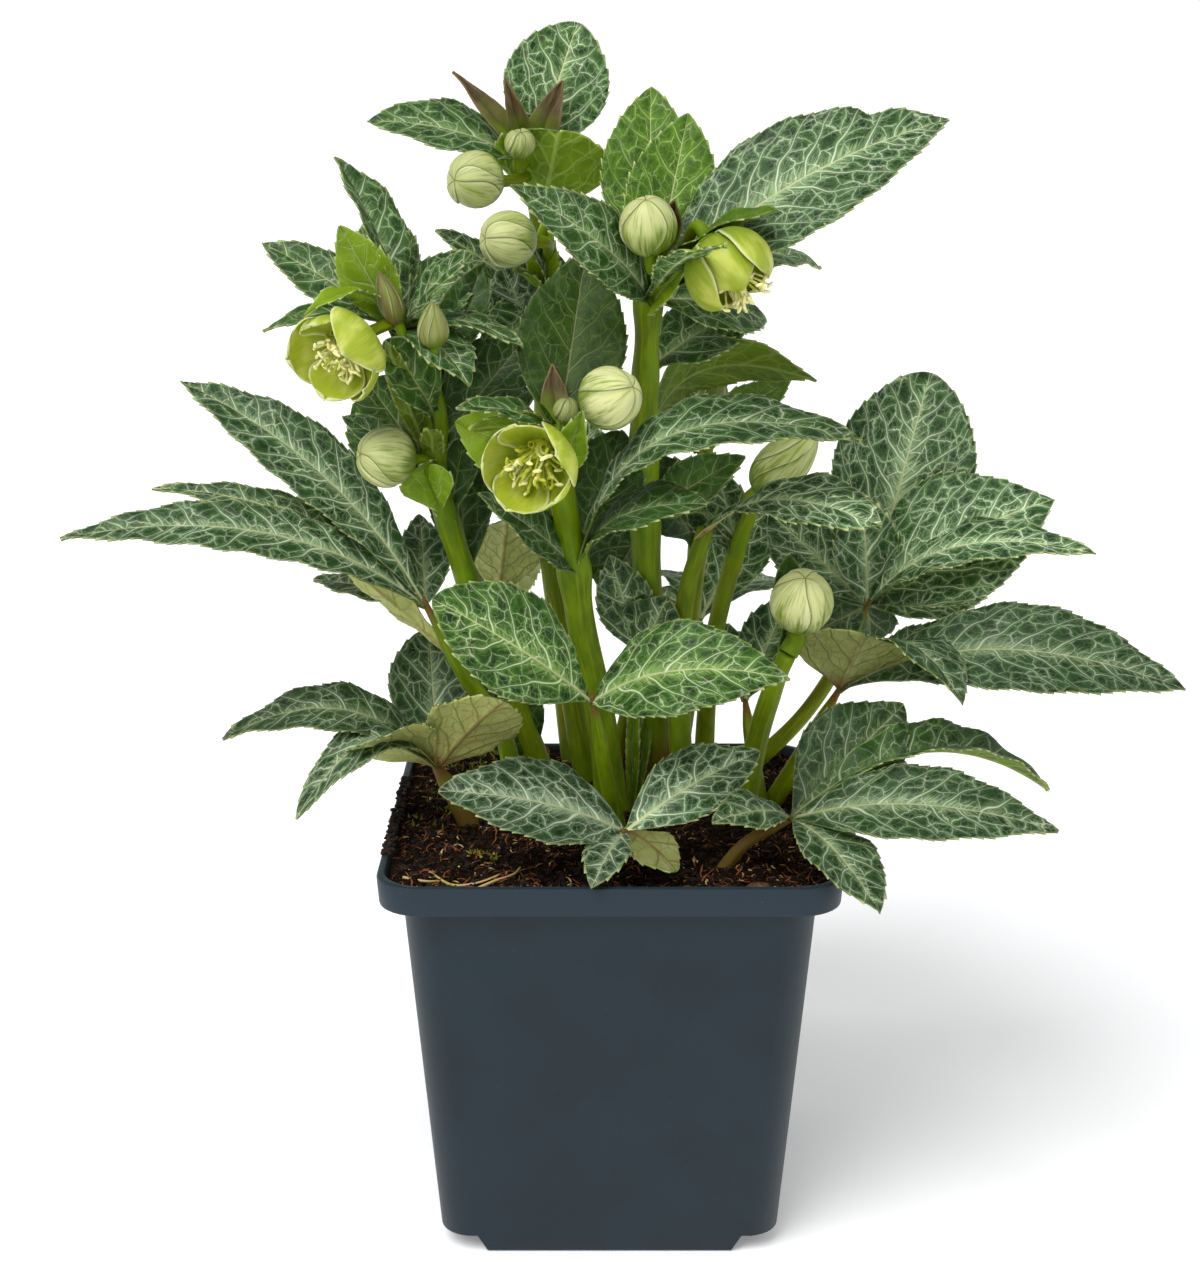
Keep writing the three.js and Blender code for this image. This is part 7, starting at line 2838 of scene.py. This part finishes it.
@dataclass(frozen=True)
class Studio:
    """Pale floor, soft lamps and the camera."""

    floor: Material
    target: Point = (0.0, 0.0, 0.22)
    camera_place: Point = (-0.0033, -0.7473, 0.4065)
    camera_tilt: float = 75.0
    lens: float = 63.67
    sensor: float = 36.0
    clip: tuple[float, float] = (0.01, 100.0)
    floor_size: float = 90.0
    floor_drop: float = 0.0002
    horizon: Colour = (1.0, 1.0, 1.0, 1.0)
    zenith: Colour = (0.40, 0.41, 0.43, 1.0)
    glow: tuple[float, float] = (0.06, 0.45)
    lights: tuple[Light, ...] = (
        Light("key", (-0.6, -0.85, 1.6), 40.0, 2.5),
        Light("fill", (1.0, -0.6, 0.9), 70.0, 0.3),
    )

    def build(self) -> None:
        """Sets the floor, the lamps, the sky and the camera."""
        floor = added(bpy.ops.mesh.primitive_plane_add, size=self.floor_size, location=(0, 0, 0))
        floor.data.transform(Matrix.Translation((0, 0, -self.floor_drop)))
        floor.name = "floor"
        dress(floor, self.floor)
        for row in self.lights:
            data = bpy.data.lights.new(row.name, "SUN")
            data.angle, data.energy = math.radians(row.width), row.power
            lamp = bpy.data.objects.new(row.name, data)
            lamp.location = row.place
            sight = Vector(self.target) - Vector(row.place)
            lamp.rotation_euler = sight.to_track_quat("-Z", "Y").to_euler()
            bpy.context.collection.objects.link(lamp)
        bpy.context.scene.world = self.sky()
        data = bpy.data.cameras.new("camera")
        data.lens, data.sensor_width, data.sensor_fit = self.lens, self.sensor, "AUTO"
        data.clip_start, data.clip_end = self.clip
        camera = bpy.data.objects.new("camera", data)
        camera.location = self.camera_place
        camera.rotation_euler = (math.radians(self.camera_tilt), 0, 0)
        bpy.context.collection.objects.link(camera)
        bpy.context.scene.camera = camera
        bpy.context.scene.view_settings.view_transform = "Standard"

    def sky(self) -> bpy.types.World:
        """Builds the sky: white at the horizon and dimmer overhead.

        Returns:
            The sky.
        """
        world = bpy.data.worlds.new("studio")
        world.use_nodes = True
        tree = world.node_tree
        place, parts = tree.nodes.new("ShaderNodeTexCoord"), tree.nodes.new("ShaderNodeSeparateXYZ")
        climb, blend = tree.nodes.new("ShaderNodeMapRange"), tree.nodes.new("ShaderNodeMix")
        blend.data_type = "RGBA"
        climb.inputs["From Min"].default_value, climb.inputs["From Max"].default_value = self.glow
        blend.inputs[COLOUR_A].default_value = self.horizon
        blend.inputs[COLOUR_B].default_value = self.zenith
        tree.links.new(place.outputs["Generated"], parts.inputs[0])
        tree.links.new(parts.outputs["Z"], climb.inputs["Value"])
        tree.links.new(climb.outputs[0], blend.inputs["Factor"])
        tree.links.new(blend.outputs[COLOUR_OUT], tree.nodes["Background"].inputs["Color"])
        return world


def main() -> None:
    """Builds the studio, the pot, the soil and the plant in order."""
    finishes = Finishes()
    Studio(finishes.floor).build()
    pot = Pot(finishes)
    pot.build()
    Soil(finishes, pot).build()
    leaves, rods = LeafMaker(finishes), RodMaker(finishes)
    for number, (name, row) in enumerate(STEMS.items(), start=FIRST_NUMBERS["stem"]):
        Shoot(name, row, Slot.STEM, number).build(leaves, rods)
    for number, (name, row) in enumerate(BASAL_LEAVES.items(), start=FIRST_NUMBERS["basal"]):
        Shoot(name, row, Slot.BASAL, number).build(leaves, rods)
    buds, cups = BudMaker(finishes), CupMaker(finishes)
    for number, (name, row) in enumerate(BUDS.items(), start=FIRST_NUMBERS["bud"]):
        buds.build(name, row, number)
    flowers = FlowerMaker(finishes, cups)
    for number, (name, row) in enumerate(FLOWERS.items(), start=FIRST_NUMBERS["flower"]):
        flowers.build(name, row, number)


if __name__ == "__main__":
    logging.basicConfig(level=logging.INFO, format="%(name)s: %(message)s")
    main()
